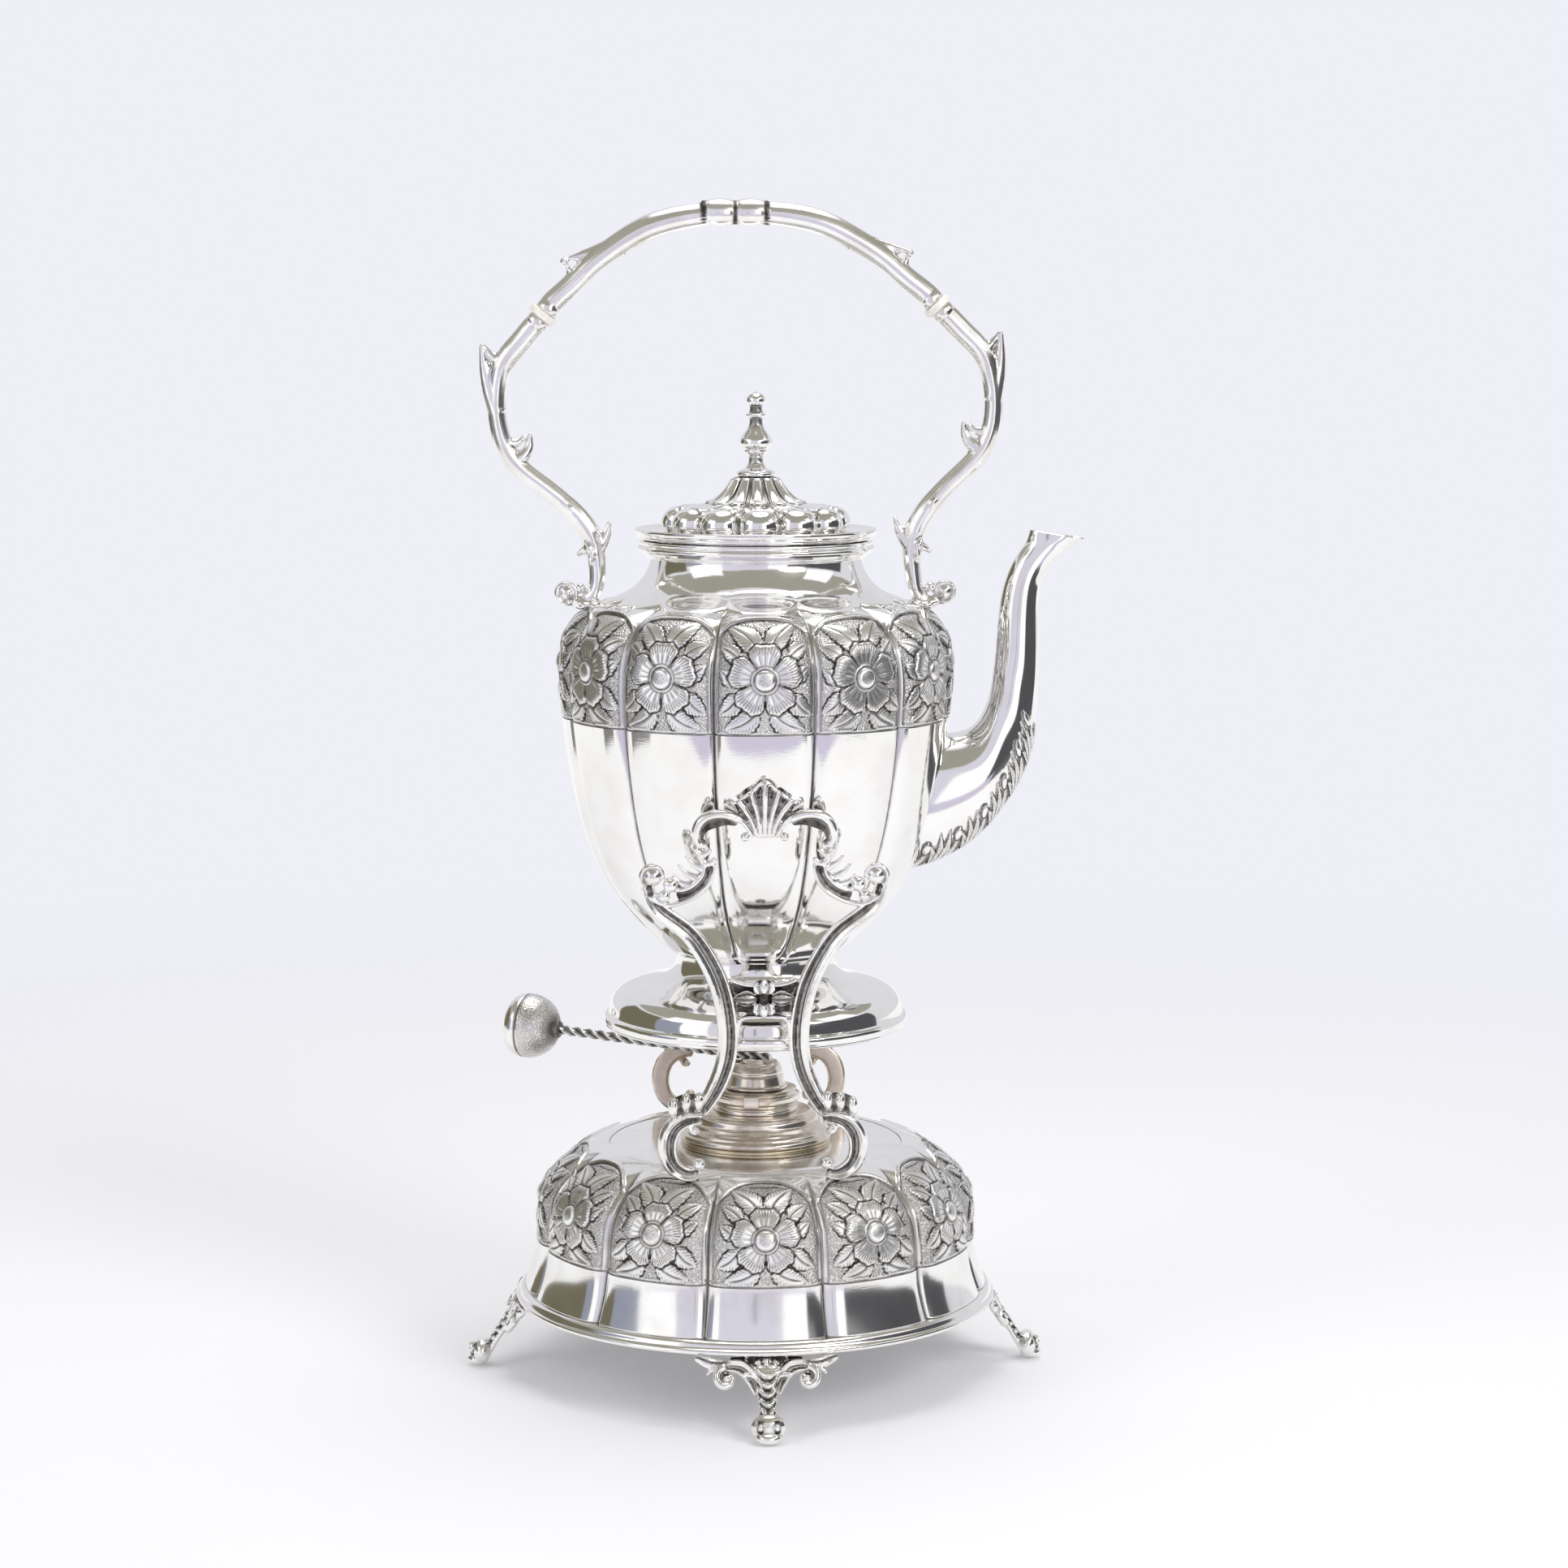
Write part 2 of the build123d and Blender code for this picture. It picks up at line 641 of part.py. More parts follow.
pedestal_low = kettle_floor_z - pedestal_height
lip_radius = pedestal_radius - 1.8
with BuildPart() as kettle_foot:
    with BuildSketch(Plane.XZ):
        with BuildLine():
            Line((0, kettle_floor_z), (pedestal_neck_radius, kettle_floor_z))
            flare = Spline(
                (pedestal_neck_radius, kettle_floor_z),
                (pedestal_neck_radius + 0.6, kettle_floor_z - 0.17 * pedestal_height),
                (pedestal_neck_radius + 3.6, kettle_floor_z - 0.29 * pedestal_height),
                (pedestal_radius - 10.0, kettle_floor_z - 0.41 * pedestal_height),
                (pedestal_radius - 4.2, kettle_floor_z - 0.51 * pedestal_height),
                (lip_radius, kettle_floor_z - 0.74 * pedestal_height),
            )
            Line(flare @ 1, (lip_radius, pedestal_low + 4.8))
            Line((lip_radius, pedestal_low + 4.8), (pedestal_radius, pedestal_low + 3.6))
            Line((pedestal_radius, pedestal_low + 3.6), (pedestal_radius, pedestal_low + 1.6))
            Line((pedestal_radius, pedestal_low + 1.6), (pedestal_radius - 1.0, pedestal_low))
            Line((pedestal_radius - 1.0, pedestal_low), (lip_radius - pedestal_wall, pedestal_low))
            Line((lip_radius - pedestal_wall, pedestal_low), (lip_radius - pedestal_wall, pedestal_low + 5.2))
            inside = Spline(
                (lip_radius - pedestal_wall, pedestal_low + 5.2),
                (pedestal_radius - 5.6, kettle_floor_z - 0.58 * pedestal_height),
                (pedestal_radius - 10.6, kettle_floor_z - 0.47 * pedestal_height),
                (pedestal_neck_radius + 2.2, kettle_floor_z - 0.34 * pedestal_height),
                (pedestal_neck_radius - 1.0, kettle_floor_z - 0.17 * pedestal_height),
                (pedestal_neck_radius - pedestal_wall, kettle_floor_z - pedestal_wall),
            )
            Line(inside @ 1, (0, kettle_floor_z - pedestal_wall))
            Line((0, kettle_floor_z - pedestal_wall), (0, kettle_floor_z))
        make_face()
    revolve(axis=Axis.Z)
finish(kettle_foot.part, "kettle_foot")

collar_bore = neck_radius + solder_gap
collar_solid = turned((
    (collar_bore, collar_bottom_z),
    (neck_radius + 1.8, collar_bottom_z),
    (neck_radius + 2.3, collar_bottom_z + 0.20 * collar_height),
    (collar_radius - 0.9, collar_bottom_z + 0.34 * collar_height),
    (collar_radius, collar_bottom_z + 0.55 * collar_height),
    (collar_radius, collar_bottom_z + 0.82 * collar_height),
    (collar_radius - 0.8, collar_top_z),
    (collar_bore, collar_top_z),
))
with BuildPart() as neck_collar:
    add(collar_solid)
finish(neck_collar.part, "neck_collar")

# bosses that the pivot pins turn in
boss_face = crest_radius_at(pivot_z) + boss_stand
with BuildPart() as pivot_boss_front:
    with BuildSketch(Plane.XZ.offset(boss_face)):
        with Locations((0, pivot_z)):
            Circle(boss_radius)
    extrude(amount=-boss_radius)
    add(kettle_outer, mode=Mode.SUBTRACT)
    with BuildSketch(Plane.XZ.offset(boss_face)):
        with Locations((0, pivot_z)):
            Circle(pivot_radius + running_gap)
    extrude(amount=-boss_radius, mode=Mode.SUBTRACT)
finish(pivot_boss_front.part, "pivot_boss_front")

with BuildPart() as pivot_boss_rear:
    add(pivot_boss_front.part.mirror(Plane.XZ))
finish(pivot_boss_rear.part, "pivot_boss_rear")

pin_tip = crest_radius_at(pivot_z) + 0.7
with BuildPart() as pivot_pin_front:
    with BuildSketch(Plane.XZ.offset(pin_tip)):
        with Locations((0, pivot_z)):
            Circle(pivot_radius)
    extrude(amount=bracket_y(pivot_z) - pin_tip)
finish(pivot_pin_front.part, "pivot_pin_front")

with BuildPart() as pivot_pin_rear:
    add(pivot_pin_front.part.mirror(Plane.XZ))
finish(pivot_pin_rear.part, "pivot_pin_rear")

# ---------------------------------------------------------------- spout and its leaf
spout_root_x = 0.90 * belly_radius
# inner and outer points of the spout's side view, as shares of its reach and rise from its root,
# and its width as a share of the way from the root's width to the mouth's
spout_rows = (
    ((-0.04, 0.245), (-0.26, -0.250), 0.00),
    ((0.12, 0.252), (0.015, -0.215), 0.02),
    ((0.26, 0.276), (0.300, -0.118), 0.14),
    ((0.345, 0.345), (0.480, 0.005), 0.30),
    ((0.380, 0.425), (0.590, 0.115), 0.46),
    ((0.405, 0.516), (0.665, 0.283), 0.60),
    ((0.414, 0.565), (0.684, 0.400), 0.68),
    ((0.422, 0.620), (0.692, 0.522), 0.74),
    ((0.438, 0.712), (0.685, 0.680), 0.84),
    ((0.468, 0.804), (0.692, 0.788), 0.91),
    ((0.530, 0.892), (0.738, 0.856), 0.97),
    ((0.600, 0.952), (0.835, 0.916), 1.00),
    ((0.633, 1.003), (0.978, 0.970), 1.00),
)


spout_bend = 5                # row where the spout turns upwards


def spout_point(shares):
    """A point of the spout's side view from shares of its reach and rise."""
    return (spout_root_x + shares[0] * spout_reach, spout_root_z + shares[1] * spout_rise)


def spout_form(grow):
    """The spout as a solid, grown outwards or, below zero, drawn in; its two runs share a row."""
    with BuildPart() as form:
        for run in (spout_rows[:spout_bend + 1], spout_rows[spout_bend:]):
            for inner, outer, width_share in run:
                plane, half = section_plane(spout_point(inner), spout_point(outer))
                width = spout_root_width + width_share * (spout_mouth_width - spout_root_width)
                with BuildSketch(plane):
                    Ellipse(half + grow, width / 2 + grow)
            loft()
    return form.part


spout_outer = spout_form(0.0)
spout_inner = spout_form(-spout_wall)
with BuildPart() as spout:
    add(spout_outer)
    add(spout_inner, mode=Mode.SUBTRACT)
    add(kettle_outer, mode=Mode.SUBTRACT)
finish(spout.part, "spout")

leaf_side = (
    (-0.30, -0.30), (-0.19, -0.265), (-0.085, -0.195), (0.02, -0.135), (0.18, -0.075),
    (0.26, -0.012), (0.335, 0.050), (0.39, 0.095), (0.51, 0.155), (0.60, 0.230),
    (0.72, 0.222), (0.80, 0.08), (0.55, -0.20), (0.20, -0.34),
)
leaf_grown = spout_form(leaf_thickness)
with BuildPart() as spout_leaf:
    add(leaf_grown)
    with BuildSketch(Plane.XZ):
        with BuildLine():
            Polyline(*[spout_point(shares) for shares in leaf_side], close=True)
        make_face()
    extrude(amount=spout_root_width, both=True, mode=Mode.INTERSECT)
    add(spout_outer, mode=Mode.SUBTRACT)
    add(kettle_outer, mode=Mode.SUBTRACT)
finish(spout_leaf.part, "spout_leaf")

# ---------------------------------------------------------------- bail handle
lean_start_z = crown_z + 7.6
grip_z = crown_z + bail_rise
twist_height = 50.0


def leaned(side, x, z):
    """A point of the handle, moved as the handle leans; side is -1 or 1."""
    share = min(max((z - crown_z) / twist_height, 0.0), 1.0)
    lean = bail_lean * max(z - lean_start_z, 0.0)
    return Vector(side * x - lean, 0, z + bail_twist * share * side * x)


def bail_point(across, up):
    """Half-handle point: shares of the way from foot to full span, and from crown to grip."""
    return (bail_foot_x + across * (bail_half_span - bail_foot_x), crown_z + up * bail_rise)


# centre line of an arm from its ring to its foot, with its half thickness
arm_rows = (
    ((0.700, 0.6800), 3.75),
    ((0.905, 0.6250), 3.55),
    ((0.985, 0.5600), 3.00),
    ((1.000, 0.5000), 2.80),
    ((0.965, 0.4400), 2.90),
    ((0.850, 0.3800), 3.00),
    ((0.620, 0.3270), 3.20),
    ((0.350, 0.2740), 3.20),
    ((0.130, 0.2170), 3.10),
    ((0.000, 0.1600), 3.40),
    ((-0.025, 0.1060), 3.20),
    ((-0.015, 0.0560), 2.70),
    ((0.040, 0.0180), 2.60),
    ((0.160, -0.0030), 2.20),
    ((0.290, 0.0030), 2.20),
)
# centre line of the grip from its middle to the ring
grip_rows = (
    ((-1.830, 1.0000), 3.90),
    ((-1.480, 0.9960), 4.00),
    ((-1.150, 0.9860), 4.30),
    ((-0.810, 0.9640), 4.30),
    ((-0.475, 0.9230), 4.10),
    ((-0.135, 0.8680), 4.10),
    ((0.110, 0.8170), 3.80),
    ((0.300, 0.7800), 3.90),
)
ring_shares = (0.410, 0.7500)
ring_tangent_back = (0.300, 0.7800)
ring_tangent_on = (0.560, 0.7120)


def ring_plane(side):
    """Plane through the middle of an insulating ring, square to the handle, facing its foot."""
    centre = leaned(side, *bail_point(*ring_shares))
    back = leaned(side, *bail_point(*ring_tangent_back))
    ahead = leaned(side, *bail_point(*ring_tangent_on))
    return Plane(origin=centre, x_dir=(0, 1, 0), z_dir=ahead - back)


def bar_form(planes, halves):
    """A bar through oval sections; each plane's x axis runs from front to back."""
    with BuildPart() as form:
        for plane, half in zip(planes, halves):
            with BuildSketch(plane):
                Ellipse(bail_depth / 2 * min(half / 3.4, 1.0), half)
        loft()
    return form.part


def planes_along(points, first, last):
    """Section planes square to a line of points, with given planes at either end or None."""
    planes = []
    for index, point in enumerate(points):
        ahead = points[min(index + 1, len(points) - 1)]
        back = points[max(index - 1, 0)]
        planes.append(Plane(origin=point, x_dir=(0, 1, 0), z_dir=ahead - back))
    planes[0] = first or planes[0]
    planes[-1] = last or planes[-1]
    return planes


def blade(points, thickness):
    """A flat pointed leaf of the handle between front and back, from its outline."""
    with BuildPart() as form:
        with BuildSketch(Plane.XZ):
            with BuildLine():
                Polyline(*[(point.X, point.Z) for point in points], close=True)
            make_face()
        extrude(amount=thickness / 2, both=True)
    return form.part


# outlines of the leaves that stand off an arm: outer spur, inner leaf, inner thorn, outer thorn
blades = (
    ((0.88, 0.690), (1.11, 0.680), (1.05, 0.640), (1.04, 0.590), (0.95, 0.580)),
    ((0.90, 0.450), (0.64, 0.440), (0.74, 0.400), (0.70, 0.340), (0.90, 0.380)),
    ((0.12, 0.200), (-0.17, 0.212), (-0.13, 0.160), (-0.10, 0.100), (0.05, 0.130)),
    ((0.09, 0.150), (0.19, 0.112), (0.09, 0.090), (0.00, 0.110)),
)
volute_shares = (0.330, 0.0090)
volute_radius = 3.4


def arm_form(side):
    """An arm of the handle, from its insulating ring to its foot on the shoulder."""
    points = [leaned(side, *bail_point(*shares)) for shares, _ in arm_rows]
    first = ring_plane(side).offset(ring_length / 2)
    planes = planes_along([first.origin] + points, first, None)
    bar = bar_form(planes, [3.9] + [half for _, half in arm_rows])
    leaves = [
        blade([leaned(side, *bail_point(*shares)) for shares in outline], 0.5 * bail_depth)
        for outline in blades
    ]
    centre = leaned(side, *bail_point(*volute_shares))
    with BuildPart() as form:
        add(bar)
        for leaf in leaves:
            add(leaf)
        with Locations(centre):
            Sphere(volute_radius)
        # seat of solder under the foot
        with BuildSketch(Plane.XY.offset(crown_z - 2.0)):
            with Locations((side * (bail_foot_x + 1.5), 0)):
                Ellipse(4.4, 0.45 * bail_depth)
        extrude(amount=3.6)
        add(kettle_outer, mode=Mode.SUBTRACT)
        add(neck_outer, mode=Mode.SUBTRACT)
        with BuildSketch(first):
            Circle(dowel_radius + solder_gap)
        extrude(amount=dowel_length / 2 - ring_length / 2, mode=Mode.SUBTRACT)
    return form.part


arms = {"handle_arm_left": arm_form(-1), "handle_arm_right": arm_form(1)}
for arm_name, arm_part in arms.items():
    with BuildPart() as handle_arm:
        add(arm_part)
    finish(handle_arm.part, arm_name)


def grip_half(side):
    """Half of the grip, from its middle to a ring."""
    points = [leaned(side, *bail_point(*shares)) for shares, _ in grip_rows]
    last = ring_plane(side).offset(-ring_length / 2)
    planes = planes_along(points + [last.origin], None, last)
    middle = Plane(origin=leaned(side, 0, grip_z), x_dir=(0, 1, 0), z_dir=(side, 0, 0))
    planes[0] = middle
    return bar_form(planes, [half for _, half in grip_rows] + [3.9])


spur = ((0.02, 0.870), (0.08, 0.898), (0.13, 0.880), (0.12, 0.850), (0.00, 0.830))
grip_pieces = []
for side in (-1, 1):
    grip_pieces.append(grip_half(side))
    grip_pieces.append(blade([leaned(side, *bail_point(*shares)) for shares in spur], 0.5 * bail_depth))
with BuildPart() as handle_grip:
    for piece in grip_pieces:
        add(piece)
    # pair of barrel beads at the middle
    for side in (-1, 1):
        bead_centre = leaned(1, 0, grip_z) + Vector(side * bead_length / 2, 0, 0)
        with BuildSketch(Plane(origin=bead_centre, x_dir=(1, 0, 0), z_dir=(0, -1, 0))):
            with BuildLine():
                top = Spline(
                    (-bead_length / 2, 0.84 * bead_radius),
                    (0, bead_radius),
                    (bead_length / 2, 0.84 * bead_radius),
                )
                Line(top @ 1, (bead_length / 2, 0))
                Line((bead_length / 2, 0), (-bead_length / 2, 0))
                Line((-bead_length / 2, 0), top @ 0)
            make_face()
        revolve(axis=Axis(bead_centre, (1, 0, 0)))
    for side in (-1, 1):
        with BuildSketch(ring_plane(side).offset(-ring_length / 2)):
            Circle(dowel_radius + solder_gap)
        extrude(amount=-(dowel_length / 2 - ring_length / 2), mode=Mode.SUBTRACT)
finish(handle_grip.part, "handle_grip")

for ring_name, side in (("insulator_left", -1), ("insulator_right", 1)):
    with BuildPart() as insulator:
        with BuildSketch(ring_plane(side).offset(-ring_length / 2)):
            Circle(ring_radius)
            Circle(dowel_radius + solder_gap, mode=Mode.SUBTRACT)
        extrude(amount=ring_length)
        fillet(insulator.edges().filter_by(GeomType.CIRCLE).group_by(SortBy.RADIUS)[-1], 0.5)
    finish(insulator.part, ring_name)

with BuildPart() as insulator_dowels:
    for side in (-1, 1):
        with BuildSketch(ring_plane(side).offset(-dowel_length / 2 + 0.2)):
            Circle(dowel_radius)
        extrude(amount=dowel_length - 0.4)
finish(insulator_dowels.part, "insulator_dowels")

# ---------------------------------------------------------------- lid, bezel and finial
lid_hollow_radius = lid_dome_radius - lid_lobe_depth - lid_wall
lid_outer = lobed_form(lid_profile, lid_rim_z, lid_rise, lid_dome_radius, lid_lobe_depth)
lid_inner = lobed_form(
    lid_profile, lid_rim_z, lid_rise, lid_dome_radius, lid_lobe_depth, inset=lid_wall
)
lid_plate = turned((
    (0, lid_bottom_z),
    (lid_radius - 1.3, lid_bottom_z),
    (lid_radius - 0.5, lid_bottom_z + 0.30 * lid_rim_height),
    (lid_radius, lid_rim_z + 0.2),
    (lid_radius - 0.4, lid_rim_z + 0.6),
    (lid_radius - 1.4, lid_rim_z + 0.6),
    (lid_radius - 2.2, lid_rim_z),
    (0, lid_rim_z),
))
with BuildPart() as lid:
    add(lid_plate)
    add(lid_outer)
    add(lid_inner, mode=Mode.SUBTRACT)
    with BuildSketch(Plane.XY.offset(lid_bottom_z)):
        Circle(lid_hollow_radius)
    extrude(amount=lid_rim_height + 2 * lid_wall, mode=Mode.SUBTRACT)
    with BuildSketch(Plane.XY.offset(lid_rim_z)):
        Circle(stud_radius + solder_gap)
    extrude(amount=2 * lid_rise, mode=Mode.SUBTRACT)
finish(lid.part, "lid")

bezel_radius = neck_radius - neck_wall - 0.6
with BuildPart() as lid_bezel:
    with BuildSketch(Plane.XY.offset(lid_bottom_z - bezel_height)):
        Circle(bezel_radius)
        Circle(bezel_radius - bezel_wall, mode=Mode.SUBTRACT)
    extrude(amount=bezel_height)
finish(lid_bezel.part, "lid_bezel")

# height above the finial's seat as a share of its height, radius as a share of its seat's
finial_rows = (
    (0.000, 1.00), (0.045, 0.98), (0.070, 0.72), (0.110, 0.38), (0.190, 0.44),
    (0.270, 0.46), (0.330, 0.62), (0.420, 0.82), (0.500, 0.70), (0.570, 0.46),
    (0.640, 0.32), (0.700, 0.34), (0.725, 0.52), (0.755, 0.56), (0.790, 0.36),
    (0.850, 0.32), (0.890, 0.36), (0.930, 0.46), (0.970, 0.38), (0.995, 0.16),
)
nut_top_z = finial_z - lid_wall - 0.1
with BuildPart() as finial:
    with BuildSketch(Plane.XZ):
        with BuildLine():
            Polyline(
                (0, finial_z),
                *[(finial_radius * r, finial_z + finial_height * h) for h, r in finial_rows],
                (0, finial_z + finial_height),
                close=True,
            )
        make_face()
    revolve(axis=Axis.Z)
    with BuildSketch(Plane.XY.offset(nut_top_z - nut_height - 0.6)):
        Circle(stud_radius)
    extrude(amount=finial_z - nut_top_z + nut_height + 0.6)
finish(finial.part, "finial")

with BuildPart() as finial_nut:
    with BuildSketch(Plane.XY.offset(nut_top_z - nut_height)):
        RegularPolygon(nut_flats / 2, 6, major_radius=False)
        Circle(stud_radius + solder_gap, mode=Mode.SUBTRACT)
    extrude(amount=nut_height)
finish(finial_nut.part, "finial_nut")

# ---------------------------------------------------------------- lid hinge, at the back
hinge_axis_plane = Plane(origin=(0, hinge_reach, hinge_z), x_dir=(0, 1, 0), z_dir=(1, 0, 0))
knuckle_start = middle_knuckle / 2 + 0.25
knuckle_end = knuckle_start + outer_knuckle
strap_thickness = 1.2
strap_low = lid_rim_z + 0.65 - hinge_z
strap_inner = lid_radius - 9.0 - hinge_reach

with BuildPart() as hinge_leaf_lid:
    with BuildSketch(hinge_axis_plane.offset(-middle_knuckle / 2)):
        Circle(knuckle_radius)
        with BuildLine():
            Polyline(
                (strap_inner, strap_low),
                (-knuckle_radius, strap_low),
                (-knuckle_radius, 0),
                (0, 0),
                (0, knuckle_radius),
                (-0.6 * knuckle_radius, strap_low + strap_thickness),
                (strap_inner, strap_low + strap_thickness),
                close=True,
            )
        make_face()
        Circle(hinge_pin_radius + running_gap, mode=Mode.SUBTRACT)
    extrude(amount=middle_knuckle)
    # the strap's end steps down to the lid's flat top
    with BuildSketch(Plane.XY.offset(lid_rim_z)):
        with Locations((0, lid_radius - 7.4)):
            Rectangle(middle_knuckle, 3.2)
    extrude(amount=0.65 + strap_thickness)
finish(hinge_leaf_lid.part, "hinge_leaf_lid")

leaf_foot_z = collar_bottom_z + 0.30 * collar_height - hinge_z
with BuildPart() as hinge_leaf_kettle:
    for start in (-knuckle_end, knuckle_start):
        with BuildSketch(hinge_axis_plane.offset(start)):
            Circle(knuckle_radius)
            with BuildLine():
                Polyline(
                    (collar_radius - hinge_reach - 2.0, leaf_foot_z),
                    (collar_radius - hinge_reach + 1.0, leaf_foot_z),
                    (knuckle_radius, -0.5),
                    (0, 0.5),
                    (-knuckle_radius, -0.6),
                    (collar_radius - hinge_reach - 2.0, -1.6),
                    close=True,
                )
            make_face()
            Circle(hinge_pin_radius + running_gap, mode=Mode.SUBTRACT)
        extrude(amount=outer_knuckle)
    # plate that joins the two knuckles below the lid's one
    with BuildSketch(Plane.XZ.offset(-(collar_radius + 1.0))):
        with Locations((0, hinge_z + leaf_foot_z + 1.2)):
            Rectangle(2 * knuckle_end, 2.4)
    extrude(amount=3.0)
    add(collar_solid, mode=Mode.SUBTRACT)
finish(hinge_leaf_kettle.part, "hinge_leaf_kettle")

with BuildPart() as hinge_pin:
    with BuildSketch(hinge_axis_plane.offset(-knuckle_end - 0.3)):
        Circle(hinge_pin_radius)
    extrude(amount=2 * (knuckle_end + 0.3))
finish(hinge_pin.part, "hinge_pin")
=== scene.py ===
"""Looks of the spirit kettle on its stand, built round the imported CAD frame."""

import logging
import math
from dataclasses import dataclass, field
from enum import Enum

import bmesh
import bpy
import numpy as np
from mathutils.kdtree import KDTree
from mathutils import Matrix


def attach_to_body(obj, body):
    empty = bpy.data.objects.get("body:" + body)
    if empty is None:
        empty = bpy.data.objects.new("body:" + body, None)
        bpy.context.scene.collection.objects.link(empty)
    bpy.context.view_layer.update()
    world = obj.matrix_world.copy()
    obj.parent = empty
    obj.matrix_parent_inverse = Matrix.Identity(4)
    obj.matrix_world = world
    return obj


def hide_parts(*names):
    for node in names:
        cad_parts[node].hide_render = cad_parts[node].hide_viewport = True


logging.basicConfig(level=logging.INFO, format="%(message)s")
log = logging.getLogger("kettle")

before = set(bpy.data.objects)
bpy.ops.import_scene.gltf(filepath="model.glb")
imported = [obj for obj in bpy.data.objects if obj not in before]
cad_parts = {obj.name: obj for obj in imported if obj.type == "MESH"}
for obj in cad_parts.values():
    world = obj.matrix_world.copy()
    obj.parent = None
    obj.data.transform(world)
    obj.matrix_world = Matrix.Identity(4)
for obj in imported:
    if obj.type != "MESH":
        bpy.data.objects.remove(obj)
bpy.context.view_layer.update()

MM = 0.001
LOBES = 12
HALF_LOBE = math.pi / LOBES


class Body(Enum):
    """The moving bodies of the kettle on its stand."""

    STAND = "stand"
    REGULATOR = "regulator"
    KETTLE = "kettle"
    LID = "lid"


class Slot(Enum):
    """The record's material slots."""

    STAND = "silver_stand"
    KETTLE = "silver_kettle"
    LID = "silver_lid"
    BURNER = "burner_metal"
    BRASS = "burner_brass"
    INSULATOR = "insulator"
    WICK = "wick"


# ---------------------------------------------------------------- curves and shapes
def step(low: float, high: float, value: np.ndarray) -> np.ndarray:
    """Smooth step from 0 at low to 1 at high.

    Args:
        low: where the step starts.
        high: where it ends.
        value: the values to map.

    Returns:
        The mapped values, from 0 to 1.
    """
    share = np.clip((np.asarray(value, float) - low) / (high - low), 0.0, 1.0)
    return share * share * (3.0 - 2.0 * share)


def smooth_curve(points: np.ndarray, count: int) -> np.ndarray:
    """A natural cubic spline through points, by distance along them.

    Args:
        points: the points, one a row, with any number of columns.
        count: how many points to return.

    Returns:
        Points spread evenly along the curve.
    """
    rows = np.asarray(points, float)
    gaps = np.linalg.norm(np.diff(rows[:, : min(3, rows.shape[1])], axis=0), axis=1)
    knots = np.concatenate([[0.0], np.cumsum(np.maximum(gaps, 1e-6))])
    size = len(rows)
    system = np.eye(size)
    pull = np.zeros_like(rows)
    width = np.diff(knots)
    for row in range(1, size - 1):
        system[row, row - 1: row + 2] = (width[row - 1], 2 * (width[row - 1] + width[row]), width[row])
        pull[row] = 6 * (
            (rows[row + 1] - rows[row]) / width[row] - (rows[row] - rows[row - 1]) / width[row - 1]
        )
    bend = np.linalg.solve(system, pull)
    at = np.linspace(0.0, knots[-1], count)
    left = np.clip(np.searchsorted(knots, at, side="right") - 1, 0, size - 2)
    span = width[left][:, None]
    after = (at - knots[left])[:, None]
    before = span - after
    return (
        (bend[left] * before**3 + bend[left + 1] * after**3) / (6 * span)
        + (rows[left] / span - bend[left] * span / 6) * before
        + (rows[left + 1] / span - bend[left + 1] * span / 6) * after
    )


@dataclass
class Shape:
    """A mesh in the making, in millimetres: points, faces, and masks that paint it."""

    points: np.ndarray
    faces: list[np.ndarray]
    masks: dict[str, np.ndarray] = field(default_factory=dict)

    def __add__(self, other: "Shape") -> "Shape":
        """Both shapes in one."""
        shift = len(self.points)
        names = set(self.masks) | set(other.masks)
        masks = {
            name: np.concatenate([
                self.masks.get(name, np.zeros(shift)),
                other.masks.get(name, np.zeros(len(other.points))),
            ])
            for name in names
        }
        faces = self.faces + [part + shift for part in other.faces]
        return Shape(np.concatenate([self.points, other.points]), faces, masks)

    def moved(self, matrix: np.ndarray, offset: tuple[float, float, float] = (0, 0, 0)) -> "Shape":
        """The shape turned by a 3 by 3 matrix, then moved.

        Args:
            matrix: the turn; a mirror is allowed, and keeps the faces outwards.
            offset: the move, in millimetres.

        Returns:
            A new shape.
        """
        faces = self.faces
        if np.linalg.det(matrix) < 0:
            faces = [part[:, ::-1] for part in faces]
        return Shape(self.points @ np.asarray(matrix).T + np.asarray(offset), faces, dict(self.masks))

    def mirrored(self, axis: int) -> "Shape":
        """The shape mirrored in the plane square to an axis, 0 to 2."""
        matrix = np.eye(3)
        matrix[axis, axis] = -1.0
        return self.moved(matrix)

    def turned(self, degrees: float) -> "Shape":
        """The shape turned about the vertical axis."""
        turn = math.radians(degrees)
        matrix = np.array([
            [math.cos(turn), -math.sin(turn), 0], [math.sin(turn), math.cos(turn), 0], [0, 0, 1],
        ])
        return self.moved(matrix)


def sheet_of(points: np.ndarray, closed: bool = False, masks: dict[str, np.ndarray] | None = None) -> Shape:
    """A sheet of quads over a grid of points.

    Args:
        points: the grid, rows by columns by 3.
        closed: whether the last column joins the first.
        masks: values for each point of the grid.

    Returns:
        The shape; its faces look along rows crossed with columns.
    """
    rows, columns = points.shape[:2]
    index = np.arange(rows * columns).reshape(rows, columns)
    after = np.roll(index, -1, axis=1) if closed else index[:, 1:]
    here = index if closed else index[:, :-1]
    quads = np.stack([here[:-1], after[:-1], after[1:], here[1:]], axis=-1).reshape(-1, 4)
    flat = {name: np.asarray(value, float).reshape(-1) for name, value in (masks or {}).items()}
    return Shape(points.reshape(-1, 3), [quads], flat)


